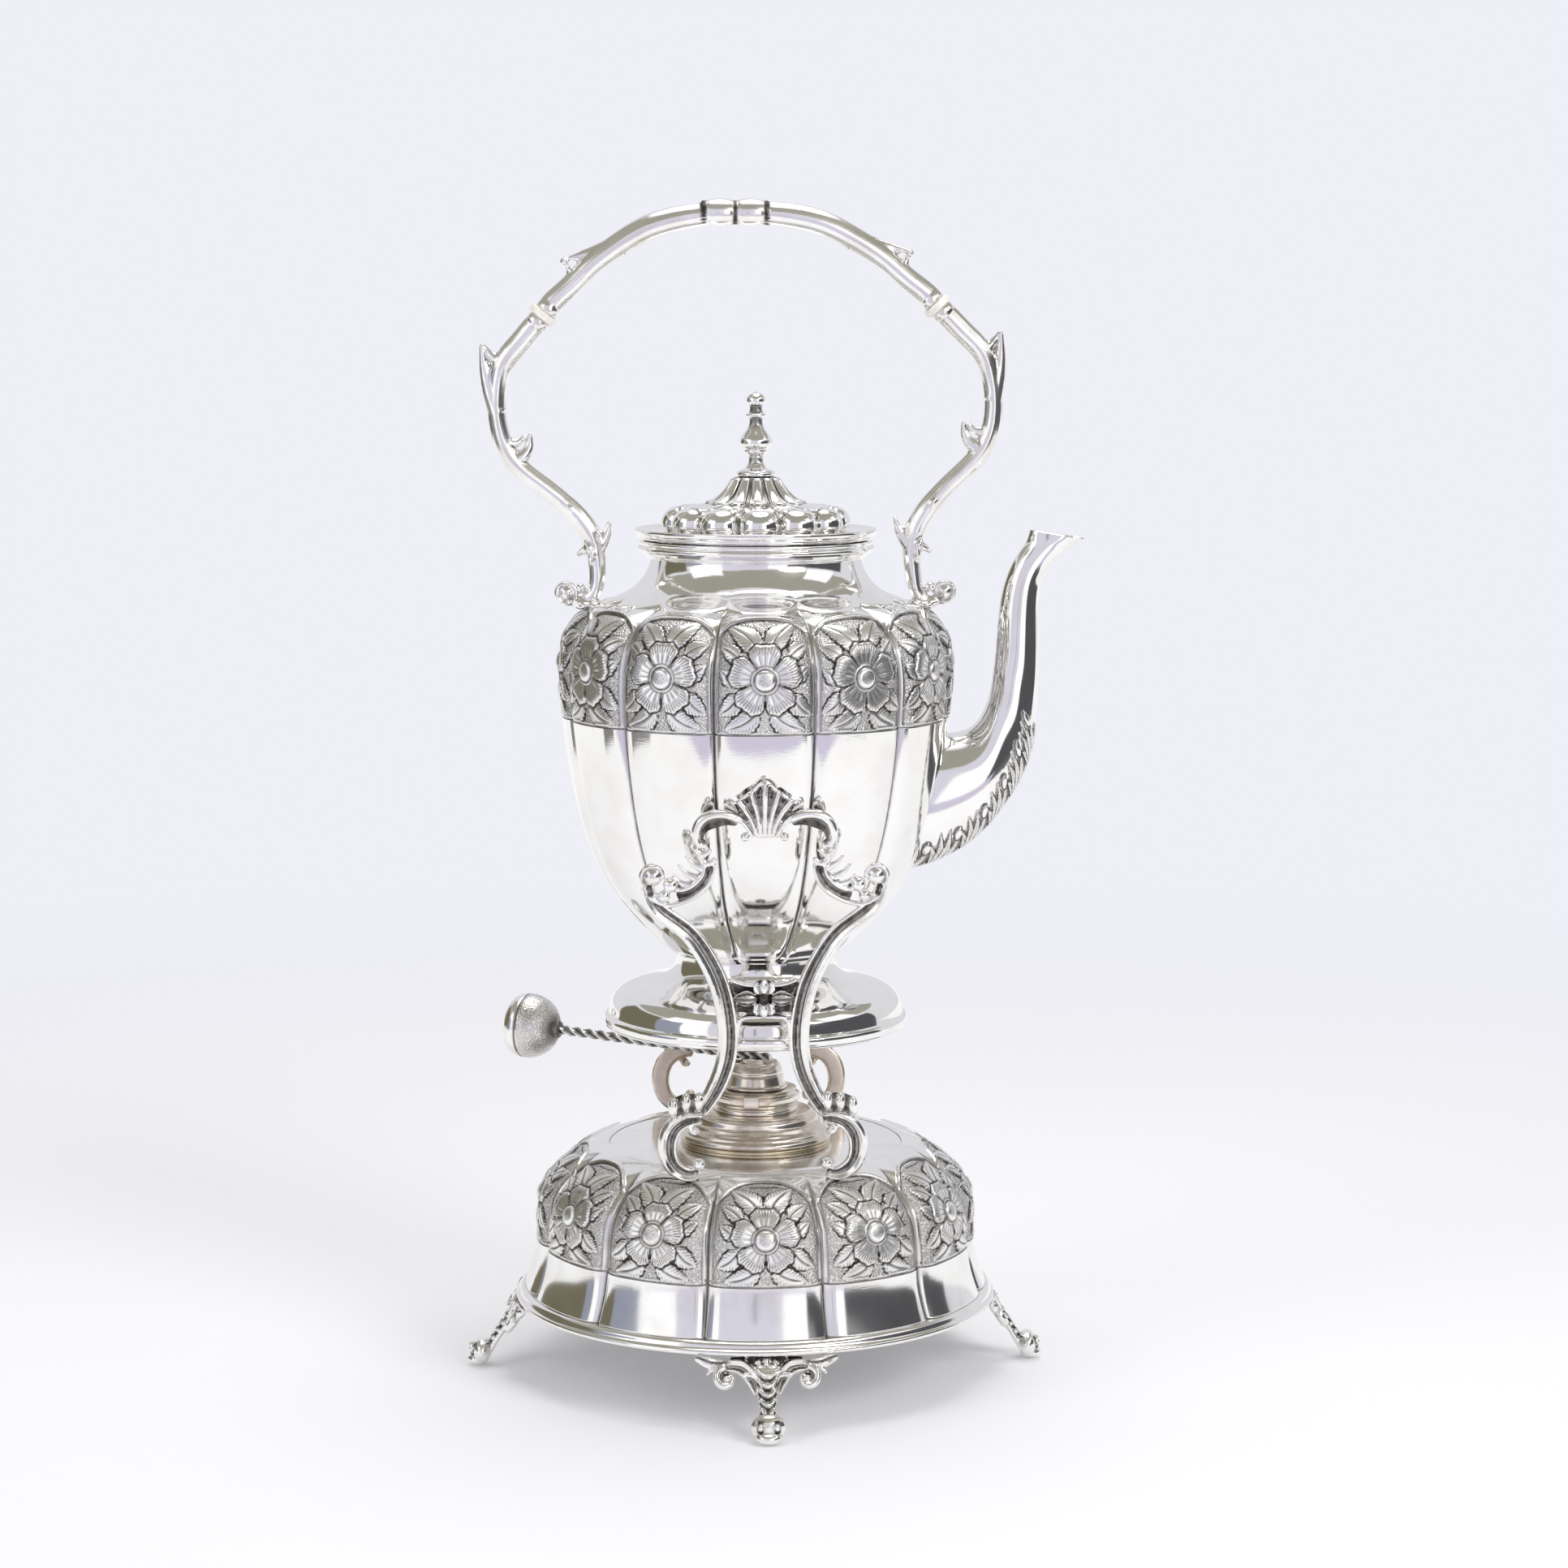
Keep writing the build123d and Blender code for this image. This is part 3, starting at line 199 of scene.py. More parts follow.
def capped(shape: Shape, ring: np.ndarray, outward: bool) -> Shape:
    """A shape with one of its rings closed by a fan.

    Args:
        shape: the open shape.
        ring: the indices of the ring's points, in order.
        outward: whether the fan follows the ring's own order.

    Returns:
        The closed shape.
    """
    centre = len(shape.points)
    points = np.concatenate([shape.points, shape.points[ring].mean(axis=0)[None]])
    after = np.roll(ring, -1)
    middle = np.full(len(ring), centre)
    fan = np.stack([ring, after, middle] if outward else [after, ring, middle], axis=-1)
    masks = {name: np.append(value, value[ring].mean()) for name, value in shape.masks.items()}
    return Shape(points, shape.faces + [fan], masks)


def lathe(profile: list[tuple[float, float]], steps: int = 160) -> Shape:
    """A closed turned form about the vertical axis.

    Args:
        profile: radius and height points, anticlockwise seen with radius to the right; it starts
            and ends on the axis, or comes back to its start.
        steps: how many points there are round the form.

    Returns:
        The turned shape.
    """
    rows = np.array(profile, float)
    loop = bool(np.allclose(rows[0], rows[-1]))
    turn = np.arange(steps) * 2 * math.pi / steps
    rows = rows[:-1] if loop else rows
    grid = np.stack([
        rows[:, :1] * np.cos(turn), rows[:, :1] * np.sin(turn), np.repeat(rows[:, 1:], steps, axis=1),
    ], axis=-1)
    if loop:
        grid = np.concatenate([grid, grid[:1]])
    return sheet_of(grid, closed=True)


def rounded(profile: list[tuple[float, float]], radius: float, steps: int = 4) -> list[tuple[float, float]]:
    """A profile with its corners rounded.

    Args:
        profile: radius and height points; the first and last are kept.
        radius: the largest fillet, which shrinks on short runs.
        steps: points in each corner.

    Returns:
        The rounded profile.
    """
    rows = [np.array(point, float) for point in profile]
    loop = bool(np.allclose(rows[0], rows[-1]))
    result = [] if loop else [tuple(rows[0])]
    inner = range(len(rows) - 1) if loop else range(1, len(rows) - 1)
    for index in inner:
        corner = rows[index]
        before = rows[index - 1] if index else rows[-2]
        after = rows[index + 1]
        reach_in = min(radius, 0.45 * np.linalg.norm(before - corner))
        reach_out = min(radius, 0.45 * np.linalg.norm(after - corner))
        start = corner + (before - corner) / max(np.linalg.norm(before - corner), 1e-9) * reach_in
        end = corner + (after - corner) / max(np.linalg.norm(after - corner), 1e-9) * reach_out
        for part in np.linspace(0.0, 1.0, steps):
            point = (1 - part) ** 2 * start + 2 * part * (1 - part) * corner + part**2 * end
            result.append((float(point[0]), float(point[1])))
    result.append(result[0] if loop else tuple(rows[-1]))
    return result


def tube_along(
    centres: np.ndarray, across: np.ndarray, up: np.ndarray, outline: np.ndarray,
    sizes: np.ndarray, masks: dict[str, np.ndarray] | None = None,
) -> Shape:
    """A closed bar whose section follows a line.

    Args:
        centres: points of the line, one a row.
        across: unit vectors of the section's first direction, one a row or one for all.
        up: unit vectors of its second direction.
        outline: the section's outline, one point a row, as shares of its half sizes.
        sizes: the half sizes along both directions, one row for each centre.
        masks: values for each point of the outline.

    Returns:
        The bar, with both ends closed.
    """
    across = np.broadcast_to(across, centres.shape)
    up = np.broadcast_to(up, centres.shape)
    grid = (
        centres[:, None]
        + across[:, None] * (outline[None, :, :1] * sizes[:, None, :1])
        + up[:, None] * (outline[None, :, 1:] * sizes[:, None, 1:])
    )
    painted = {
        name: np.broadcast_to(value, grid.shape[:2]) for name, value in (masks or {}).items()
    }
    bar = sheet_of(grid, closed=True, masks=painted)
    count = len(outline)
    bar = capped(bar, np.arange(count), outward=False)
    return capped(bar, np.arange(count) + (len(centres) - 1) * count, outward=True)


def oval_outline(steps: int = 24, power: float = 2.0) -> np.ndarray:
    """An oval section of half sizes 1; above 2 the power makes it squarer."""
    turn = np.arange(steps) * 2 * math.pi / steps
    cosine, sine = np.cos(turn), np.sin(turn)
    return np.stack([
        np.sign(cosine) * np.abs(cosine) ** (2 / power), np.sign(sine) * np.abs(sine) ** (2 / power),
    ], axis=-1)


def ball(centre: tuple[float, float, float], radii: tuple[float, float, float], steps: int = 24) -> Shape:
    """A closed ellipsoid.

    Args:
        centre: its middle, in millimetres.
        radii: its half sizes along X, Y and Z.
        steps: points round it.

    Returns:
        The ellipsoid.
    """
    fall = np.linspace(-math.pi / 2, math.pi / 2, steps // 2 + 1)[1:-1]
    turn = np.arange(steps) * 2 * math.pi / steps
    grid = np.stack([
        np.cos(fall)[:, None] * np.cos(turn) * radii[0] + centre[0],
        np.cos(fall)[:, None] * np.sin(turn) * radii[1] + centre[1],
        np.repeat(np.sin(fall)[:, None] * radii[2] + centre[2], steps, axis=1),
    ], axis=-1)
    shape = capped(sheet_of(grid, closed=True), np.arange(steps), outward=False)
    return capped(shape, np.arange(steps) + (len(fall) - 1) * steps, outward=True)


# ---------------------------------------------------------------- objects and Geometry Nodes
def build_object(shape: Shape, name: str, material: bpy.types.Material | None = None, sharp: float = 38.0) -> bpy.types.Object:
    """Makes a smooth-shaded mesh object in metres from a shape in millimetres.

    Args:
        shape: the shape.
        name: the object's name.
        material: its material.
        sharp: edges that turn more than this angle, in degrees, stay sharp.

    Returns:
        The object, linked to the scene.
    """
    mesh = bpy.data.meshes.new(name)
    sizes = np.concatenate([np.full(len(part), part.shape[1]) for part in shape.faces])
    corners = np.concatenate([part.reshape(-1) for part in shape.faces]).astype(np.int32)
    mesh.vertices.add(len(shape.points))
    mesh.vertices.foreach_set("co", (shape.points * MM).astype(np.float32).reshape(-1))
    mesh.loops.add(len(corners))
    mesh.loops.foreach_set("vertex_index", corners)
    mesh.polygons.add(len(sizes))
    mesh.polygons.foreach_set("loop_start", np.concatenate([[0], np.cumsum(sizes)[:-1]]).astype(np.int32))
    mesh.update(calc_edges=True)
    mesh.validate()
    for mask in MASKS:
        layer = mesh.attributes.new(mask, "FLOAT", "POINT")
        values = shape.masks.get(mask, np.zeros(len(shape.points)))
        layer.data.foreach_set("value", np.clip(values, 0.0, 1.0).astype(np.float32))
    mesh.set_sharp_from_angle(angle=math.radians(sharp))
    piece = bpy.data.objects.new(name, mesh)
    bpy.context.scene.collection.objects.link(piece)
    if material:
        mesh.materials.append(material)
    return piece


# the first mask darkens recesses, creases and cut lines with painted shade and tarnish
MASKS = ("ink", "stipple", "satin")


def welded(piece: bpy.types.Object, reach: float = 0.00001) -> bpy.types.Object:
    """Merges a piece's doubled points and turns its faces outwards.

    Args:
        piece: the mesh object.
        reach: points nearer than this, in metres, are merged.

    Returns:
        The same object.
    """
    work = bmesh.new()
    work.from_mesh(piece.data)
    bmesh.ops.remove_doubles(work, verts=work.verts, dist=reach)
    bmesh.ops.recalc_face_normals(work, faces=work.faces)
    work.to_mesh(piece.data)
    work.free()
    return piece


def baked(piece: bpy.types.Object) -> bpy.types.Object:
    """Replaces an object's mesh with the result of its modifiers, as a plain mesh.

    Args:
        piece: the object.

    Returns:
        The same object, with no modifiers.
    """
    bpy.context.view_layer.update()
    graph = bpy.context.evaluated_depsgraph_get()
    made = bpy.data.meshes.new_from_object(piece.evaluated_get(graph), depsgraph=graph)
    made.name = piece.name
    piece.modifiers.clear()
    piece.data = made
    return piece


def neighbour_blur(mesh: bpy.types.Mesh, values: np.ndarray, times: int) -> np.ndarray:
    """Averages point values over the mesh's edges.

    Args:
        mesh: the mesh.
        values: one value, or one row, for each point.
        times: how often to average.

    Returns:
        The averaged values.
    """
    edges = np.zeros(len(mesh.edges) * 2, np.int32)
    mesh.edges.foreach_get("vertices", edges)
    edges = edges.reshape(-1, 2)
    count = np.bincount(edges.reshape(-1), minlength=len(mesh.vertices)).astype(float)
    result = np.asarray(values, float)
    flat = result.ndim == 1
    result = result[:, None] if flat else result
    for _ in range(times):
        total = np.stack([
            np.bincount(edges[:, 0], result[edges[:, 1], column], len(mesh.vertices))
            + np.bincount(edges[:, 1], result[edges[:, 0], column], len(mesh.vertices))
            for column in range(result.shape[1])
        ], axis=-1)
        result = 0.5 * result + 0.5 * total / np.maximum(count, 1.0)[:, None]
    return result[:, 0] if flat else result


def mesh_points(mesh: bpy.types.Mesh) -> np.ndarray:
    """The mesh's points, in metres, one a row."""
    points = np.zeros(len(mesh.vertices) * 3, np.float32)
    mesh.vertices.foreach_get("co", points)
    return points.reshape(-1, 3).astype(float)


def set_mask(mesh: bpy.types.Mesh, name: str, values: np.ndarray) -> None:
    """Writes a mask of one value for each point, from 0 to 1."""
    layer = mesh.attributes.get(name) or mesh.attributes.new(name, "FLOAT", "POINT")
    layer.data.foreach_set("value", np.clip(values, 0.0, 1.0).astype(np.float32))


def carried(shape: Shape, name: str, points: np.ndarray) -> np.ndarray:
    """A shape's mask, read at other points from the shape's nearest ones.

    Args:
        shape: the shape, in millimetres.
        name: the mask.
        points: where to read it, in metres.

    Returns:
        One value for each point.
    """
    values = shape.masks.get(name)
    if values is None or not values.any():
        return np.zeros(len(points))
    tree = KDTree(len(shape.points))
    for index, point in enumerate(shape.points * MM):
        tree.insert(point, index)
    tree.balance()
    return values[np.array([tree.find(point)[1] for point in points])]


def hollows(mesh: bpy.types.Mesh, span: int, gain: float) -> np.ndarray:
    """How deep each point lies in a hollow of the surface, from 0 to 1, for painted shade and tarnish in the hollows.

    Args:
        mesh: the mesh.
        span: how many steps wide the hollows are.
        gain: how strongly depth counts, per millimetre.

    Returns:
        The mask, where ridges and flats are 0.
    """
    points = mesh_points(mesh)
    normals = np.zeros(len(points) * 3, np.float32)
    mesh.vertices.foreach_get("normal", normals)
    smooth = neighbour_blur(mesh, points, span)
    depth = np.einsum("ij,ij->i", smooth - points, normals.reshape(-1, 3))
    return np.clip(neighbour_blur(mesh, depth * 1000.0 * gain, 1), 0.0, 1.0)


@dataclass(frozen=True)
class Cast:
    """How a cast piece is blended into one body: voxel size in millimetres, and smoothing."""

    voxel: float = 0.45
    smooth: int = 2
    span: int = 10
    gain: float = 4.5

    def make(self, shape: Shape, name: str, material: bpy.types.Material) -> bpy.types.Object:
        """Blends overlapping closed forms into one skin, with painted shade and tarnish darkening its hollows.

        Args:
            shape: the overlapping forms.
            name: the piece's name.
            material: its material.

        Returns:
            The finished object.
        """
        piece = build_object(shape, name)
        remesh = piece.modifiers.new("blend", "REMESH")
        remesh.mode = "VOXEL"
        remesh.voxel_size = self.voxel * MM
        remesh.use_smooth_shade = True
        baked(piece)
        mesh = piece.data
        points = mesh_points(mesh)
        for _ in range(self.smooth):
            points = neighbour_blur(mesh, points, 1)
            points = points + 0.52 * (points - neighbour_blur(mesh, points, 1))
        mesh.vertices.foreach_set("co", points.astype(np.float32).reshape(-1))
        mesh.update()
        # the hollows' depth and the forms' dark marks, as painted shade and tarnish
        painted = neighbour_blur(mesh, carried(shape, "ink", points), 1)
        set_mask(mesh, "ink", np.maximum(hollows(mesh, self.span, self.gain), painted))
        set_mask(mesh, "stipple", np.zeros(len(points)))
        set_mask(mesh, "satin", np.zeros(len(points)))
        mesh.materials.clear()
        mesh.materials.append(material)
        return piece


@dataclass(frozen=True)
class Ring:
    """Copies of one part in a ring about the vertical axis, made by Geometry Nodes."""

    count: int = LOBES
    first: int = 0
    step: float = 2 * HALF_LOBE

    def tree(self) -> bpy.types.NodeTree:
        """The node tree, made once: it turns and repeats its part, and joins the copies' seams.

        Returns:
            The tree, with the inputs Part, Count, First, Step and Material.
        """
        known = bpy.data.node_groups.get("ring_of_lobes")
        if known:
            return known
        tree = bpy.data.node_groups.new("ring_of_lobes", "GeometryNodeTree")
        face = tree.interface
        face.new_socket("Part", in_out="INPUT", socket_type="NodeSocketObject")
        face.new_socket("Count", in_out="INPUT", socket_type="NodeSocketInt")
        face.new_socket("First", in_out="INPUT", socket_type="NodeSocketInt")
        face.new_socket("Step", in_out="INPUT", socket_type="NodeSocketFloat")
        face.new_socket("Material", in_out="INPUT", socket_type="NodeSocketMaterial")
        face.new_socket("Geometry", in_out="OUTPUT", socket_type="NodeSocketGeometry")
        nodes, links = tree.nodes, tree.links
        entry = nodes.new("NodeGroupInput")
        leave = nodes.new("NodeGroupOutput")
        places = nodes.new("GeometryNodePoints")
        index = nodes.new("GeometryNodeInputIndex")
        shifted = nodes.new("ShaderNodeMath")
        angle = nodes.new("ShaderNodeMath")
        angle.operation = "MULTIPLY"
        turn = nodes.new("ShaderNodeCombineXYZ")
        part = nodes.new("GeometryNodeObjectInfo")
        copies = nodes.new("GeometryNodeInstanceOnPoints")
        real = nodes.new("GeometryNodeRealizeInstances")
        weld = nodes.new("GeometryNodeMergeByDistance")
        weld.inputs["Distance"].default_value = 0.00002
        finish = nodes.new("GeometryNodeSetMaterial")
        links.new(entry.outputs["Count"], places.inputs["Count"])
        links.new(index.outputs[0], shifted.inputs[0])
        links.new(entry.outputs["First"], shifted.inputs[1])
        links.new(shifted.outputs[0], angle.inputs[0])
        links.new(entry.outputs["Step"], angle.inputs[1])
        links.new(angle.outputs[0], turn.inputs["Z"])
        links.new(entry.outputs["Part"], part.inputs["Object"])
        links.new(places.outputs[0], copies.inputs["Points"])
        links.new(part.outputs["Geometry"], copies.inputs["Instance"])
        links.new(turn.outputs[0], copies.inputs["Rotation"])
        links.new(copies.outputs[0], real.inputs[0])
        links.new(real.outputs[0], weld.inputs[0])
        links.new(weld.outputs[0], finish.inputs["Geometry"])
        links.new(entry.outputs["Material"], finish.inputs["Material"])
        links.new(finish.outputs[0], leave.inputs[0])
        return tree

    def make(self, part: bpy.types.Object, name: str, material: bpy.types.Material) -> bpy.types.Object:
        """Repeats a part in a ring, and removes the part.

        Args:
            part: the object to repeat.
            name: the ring's name.
            material: the ring's material.

        Returns:
            The ring, as one plain mesh.
        """
        tree = self.tree()
        holder = bpy.data.objects.new(name, bpy.data.meshes.new(name))
        bpy.context.scene.collection.objects.link(holder)
        ring = holder.modifiers.new("ring", "NODES")
        ring.node_group = tree
        given = {
            "Part": part, "Count": self.count, "First": self.first,
            "Step": self.step, "Material": material,
        }
        for item in tree.interface.items_tree:
            if item.item_type == "SOCKET" and item.in_out == "INPUT":
                ring[item.identifier] = given[item.name]
        baked(holder)
        bpy.data.objects.remove(part)
        return holder


# ---------------------------------------------------------------- lobed forms
@dataclass(frozen=True)
class LobedForm:
    """A form with lobes round the axis; rows are shares of height, crest radius and lobe depth.

    The power says how narrow the valleys are: 2 makes round lobes, more makes flat ones. Near its
    top every lobe is round.
    """

    bottom: float
    height: float
    radius: float
    depth: float
    rows: tuple[tuple[float, float, float], ...]
    power: float = 7.0

    def profile(self, count: int) -> np.ndarray:
        """Height, crest radius and valley radius at even steps along the form's side.

        Args:
            count: the number of steps.

        Returns:
            One row for each step, between the form's bottom and top.
        """
        table = np.array([
            (self.bottom + share * self.height, self.radius * crest, self.radius * crest - self.depth * dip)
            for share, crest, dip in self.rows
        ])
        fine = smooth_curve(table, 900)
        inside = fine[(fine[:, 0] >= self.bottom) & (fine[:, 0] <= self.bottom + self.height)]
        walked = np.concatenate([[0.0], np.cumsum(np.linalg.norm(np.diff(inside[:, :2], axis=0), axis=1))])
        at = np.linspace(0.0, walked[-1], count)
        return np.stack([np.interp(at, walked, inside[:, column]) for column in range(3)], axis=-1)

    def sector(self, profile: np.ndarray, across: np.ndarray, lift: np.ndarray | float = 0.0) -> np.ndarray:
        """Points of one lobe, centred on +X.

        Args:
            profile: rows of height, crest radius and valley radius.
            across: places across the lobe, from -1 to 1.
            lift: how far each point stands off the surface.

        Returns:
            The grid of points, rows by places by 3.
        """
        crest, valley = profile[:, 1:2], profile[:, 2:3]
        top = step(0.78, 0.97, (profile[:, :1] - self.bottom) / self.height)
        power = self.power + (min(self.power, 2.4) - self.power) * top
        radius = crest - (crest - valley) * np.abs(across)[None] ** power
        turn = HALF_LOBE * across
        grid = np.stack([radius * np.cos(turn), radius * np.sin(turn), np.repeat(profile[:, :1], len(across), axis=1)], axis=-1)
        along = np.gradient(grid, axis=0)
        aside = np.gradient(grid, axis=1)
        normal = np.cross(aside, along)
        normal /= np.maximum(np.linalg.norm(normal, axis=-1, keepdims=True), 1e-9)
        # the valley's points have no sideways normal, so that neighbours meet
        edge_turn = across[[0, -1]] * HALF_LOBE
        for column, turn in zip((0, -1), edge_turn):
            flat = np.array([-math.sin(turn), math.cos(turn), 0.0])
            normal[:, column] -= (normal[:, column] @ flat)[:, None] * flat
        return grid + normal * np.broadcast_to(lift, grid.shape[:2])[..., None]


DOME_ROWS = (
    (-0.14, 1.036, 0.50), (0.00, 1.000, 0.50), (0.18, 0.962, 0.52), (0.36, 0.945, 0.56),
    (0.54, 0.939, 0.66), (0.69, 0.920, 0.80), (0.81, 0.866, 0.86), (0.90, 0.806, 0.72),
    (0.96, 0.738, 0.36), (1.00, 0.645, 0.05), (1.03, 0.520, 0.0),
)
KETTLE_ROWS = (
    (-0.038, 0.300, 0.10), (0.000, 0.415, 0.24), (0.042, 0.510, 0.38), (0.104, 0.625, 0.48),
    (0.196, 0.753, 0.54), (0.338, 0.869, 0.56), (0.505, 0.943, 0.58), (0.680, 0.988, 0.66),
    (0.797, 1.000, 0.74), (0.880, 0.990, 0.90), (0.938, 0.949, 1.10), (0.976, 0.887, 1.22),
    (1.000, 0.797, 1.26),
)
DOME = LobedForm(29.2, 49.4, 79.7, 5.0, DOME_ROWS)
BODY = LobedForm(144.5, 119.9, 66.5, 4.4, KETTLE_ROWS)


# ---------------------------------------------------------------- chased flowers
@dataclass(frozen=True)
class Flower:
    """A chased wild flower with five petals and the leaves round it, on a sunk, stippled ground.

    Lengths are in millimetres; u runs across the panel and v up it, from the flower's centre.
    """

    radius: float = 11.9
    boss: float = 3.4
    ring: float = 4.0
    ground: float = 0.50
    leaves: tuple[tuple[float, float, float, float, float], ...] = (
        (-1.5, 9.0, -12.6, 18.6, 8.0), (-8.0, 6.4, -15.2, 10.6, 5.6), (1.6, 9.6, 10.4, 20.2, 7.8),
        (7.6, 7.2, 15.2, 11.6, 5.6), (10.4, -0.6, 15.2, 4.6, 4.6), (-11.0, -1.6, -15.2, 3.4, 4.6),
        (-1.6, -9.6, -13.6, -16.2, 7.2), (-8.6, -4.8, -15.6, -11.4, 6.2), (1.6, -9.6, 13.6, -16.2, 7.2),
        (8.6, -4.8, 15.6, -11.4, 6.2),
    )

    def leaf(self, u: np.ndarray, v: np.ndarray, blade: tuple[float, ...]) -> tuple[np.ndarray, np.ndarray, np.ndarray]:
        """One leaf's cover, height and ink over the panel.

        Args:
            u: places across the panel.
            v: places up the panel.
            blade: the leaf's base, tip and width.

        Returns:
            Cover from 0 to 1, height and ink.
        """
        base, tip, width = np.array(blade[:2]), np.array(blade[2:4]), blade[4]
        length = float(np.linalg.norm(tip - base))
        along_unit = (tip - base) / length
        along = (u - base[0]) * along_unit[0] + (v - base[1]) * along_unit[1]
        aside = -(u - base[0]) * along_unit[1] + (v - base[1]) * along_unit[0]
        share = np.clip(along / length, 0.0, 1.0)
        bend = 0.10 * length * np.sin(math.pi * share) * (1 if base[0] * tip[1] > 0 else -1)
        aside = aside - bend
        scallop = 1.0 + 0.05 * np.cos(share * length * 2 * math.pi / 2.4)
        half = width / 2 * np.sin(math.pi * share**0.75) ** 0.8 * scallop
        inside = step(0.22, -0.12, np.abs(aside) - half) * (along > 0) * (along < length)
        across = np.clip(np.abs(aside) / np.maximum(half, 0.2), 0.0, 1.0)
        hatch = 0.5 + 0.5 * np.cos(2 * math.pi * (along - 0.9 * np.abs(aside)) / 1.3)
        rim = step(0.30, 0.75, across)
        rib = np.exp(-((aside / 0.32) ** 2))
        height = 0.30 - 0.08 * across**2 - 0.16 * rib - 0.07 * hatch * rim
        # the midrib and the hatching are darkened with painted shade and tarnish
        ink = 0.95 * rib * step(0.96, 0.7, share) + (0.10 + 0.72 * rim) * hatch**3
        return inside, height, ink

    def relief(self, u: np.ndarray, v: np.ndarray) -> tuple[np.ndarray, np.ndarray, np.ndarray]:
        """Height, ink and stippled ground of the whole ornament.

        Args:
            u: places across the panel, from the flower's centre.
            v: places up the panel, from the flower's centre.

        Returns:
            Height above the margin, ink and ground cover.
        """
        height = np.full(u.shape, -self.ground)
        # the sunk ground starts a little dark, with painted shade and tarnish
        ink = np.full(u.shape, 0.20)
        ground = np.ones(u.shape)
        for blade in self.leaves:
            cover, rise, dark = self.leaf(u, v, blade)
            # a dark rim round each leaf, with no cut under it: painted shade at the leaf's foot
            halo, _, _ = self.leaf(u, v, blade[:4] + (blade[4] + 1.4,))
            height = height * (1 - cover) + rise * cover
            ink = np.maximum(ink * (1 - cover), 1.0 * halo * (1 - cover)) + dark * cover
            ground = ground * (1 - cover)
        distance = np.hypot(u, v)
        bearing = np.arctan2(v, u)
        fifth = 2 * math.pi / 5
        offset = (bearing - math.pi / 2 + fifth / 2) % fifth - fifth / 2
        lobe = np.abs(offset) / (fifth / 2)
        wave = 1.0 + 0.018 * np.cos(offset * 5 * 5)
        reach = self.radius * wave * (1.0 - 0.31 * lobe**3.6 - 0.04 * np.exp(-((lobe / 0.20) ** 2)))
        petal = step(0.24, -0.10, distance - reach)
        share = np.clip(distance / reach, 0.0, 1.0)
        rolled = 0.05 + 0.62 * step(0.34, 0.86, share) - 0.30 * step(0.90, 1.0, share)
        cleft = np.exp(-(((1 - lobe) * distance * math.sin(fifth / 2) / 0.36) ** 2)) * step(0.34, 0.44, share)
        strokes = 0.5 + 0.5 * np.cos(offset / fifth * 2 * math.pi * 13)
        long_strokes = 0.5 + 0.5 * np.cos(offset / fifth * 2 * math.pi * 5)
        edge_zone = step(0.68, 0.76, share) * step(0.985, 0.93, share)
        stroke_zone = step(0.38, 0.46, share) * step(0.80, 0.60, share)
        rise = rolled - 0.42 * cleft - 0.12 * strokes * edge_zone - 0.08 * long_strokes * stroke_zone
        dark = 1.0 * cleft + 0.92 * strokes**2 * edge_zone + 0.70 * long_strokes**6 * stroke_zone
        outline = step(1.10, 0.62, distance - reach) * (1 - petal)
        height = height * (1 - petal) + rise * petal - 0.25 * outline
        ink = np.maximum(ink * (1 - petal), 1.0 * outline) + dark * petal
        ground = ground * (1 - petal) * (1 - outline)
        # boss in a ring at the flower's middle
        dome = np.sqrt(np.clip(1 - (distance / self.boss) ** 2, 0.0, 1.0))
        in_ring = step(self.ring + 0.45, self.ring + 0.1, distance)
        groove = np.exp(-(((distance - self.boss - 0.2) / 0.34) ** 2))
        lip = np.exp(-(((distance - self.ring) / 0.38) ** 2))
        seeds = 0.5 + 0.5 * np.cos(distance * 4.6) * np.cos(bearing * 6)
        centre = 0.25 + 1.05 * dome + 0.10 * lip - 0.30 * groove - 0.10 * seeds * (distance < 1.9)
        height = height * (1 - in_ring) + centre * in_ring
        ink = ink * (1 - in_ring) + in_ring * (0.95 * groove + 0.55 * seeds * (distance < 1.9))
        # a dark line round the boss's ring, with no cut under it: painted shade at its foot
        ring_line = np.exp(-(((distance - self.ring - 0.75) / 0.30) ** 2))
        ink = np.maximum(ink, 0.80 * ring_line)
        return height, np.clip(ink, 0.0, 1.0), ground


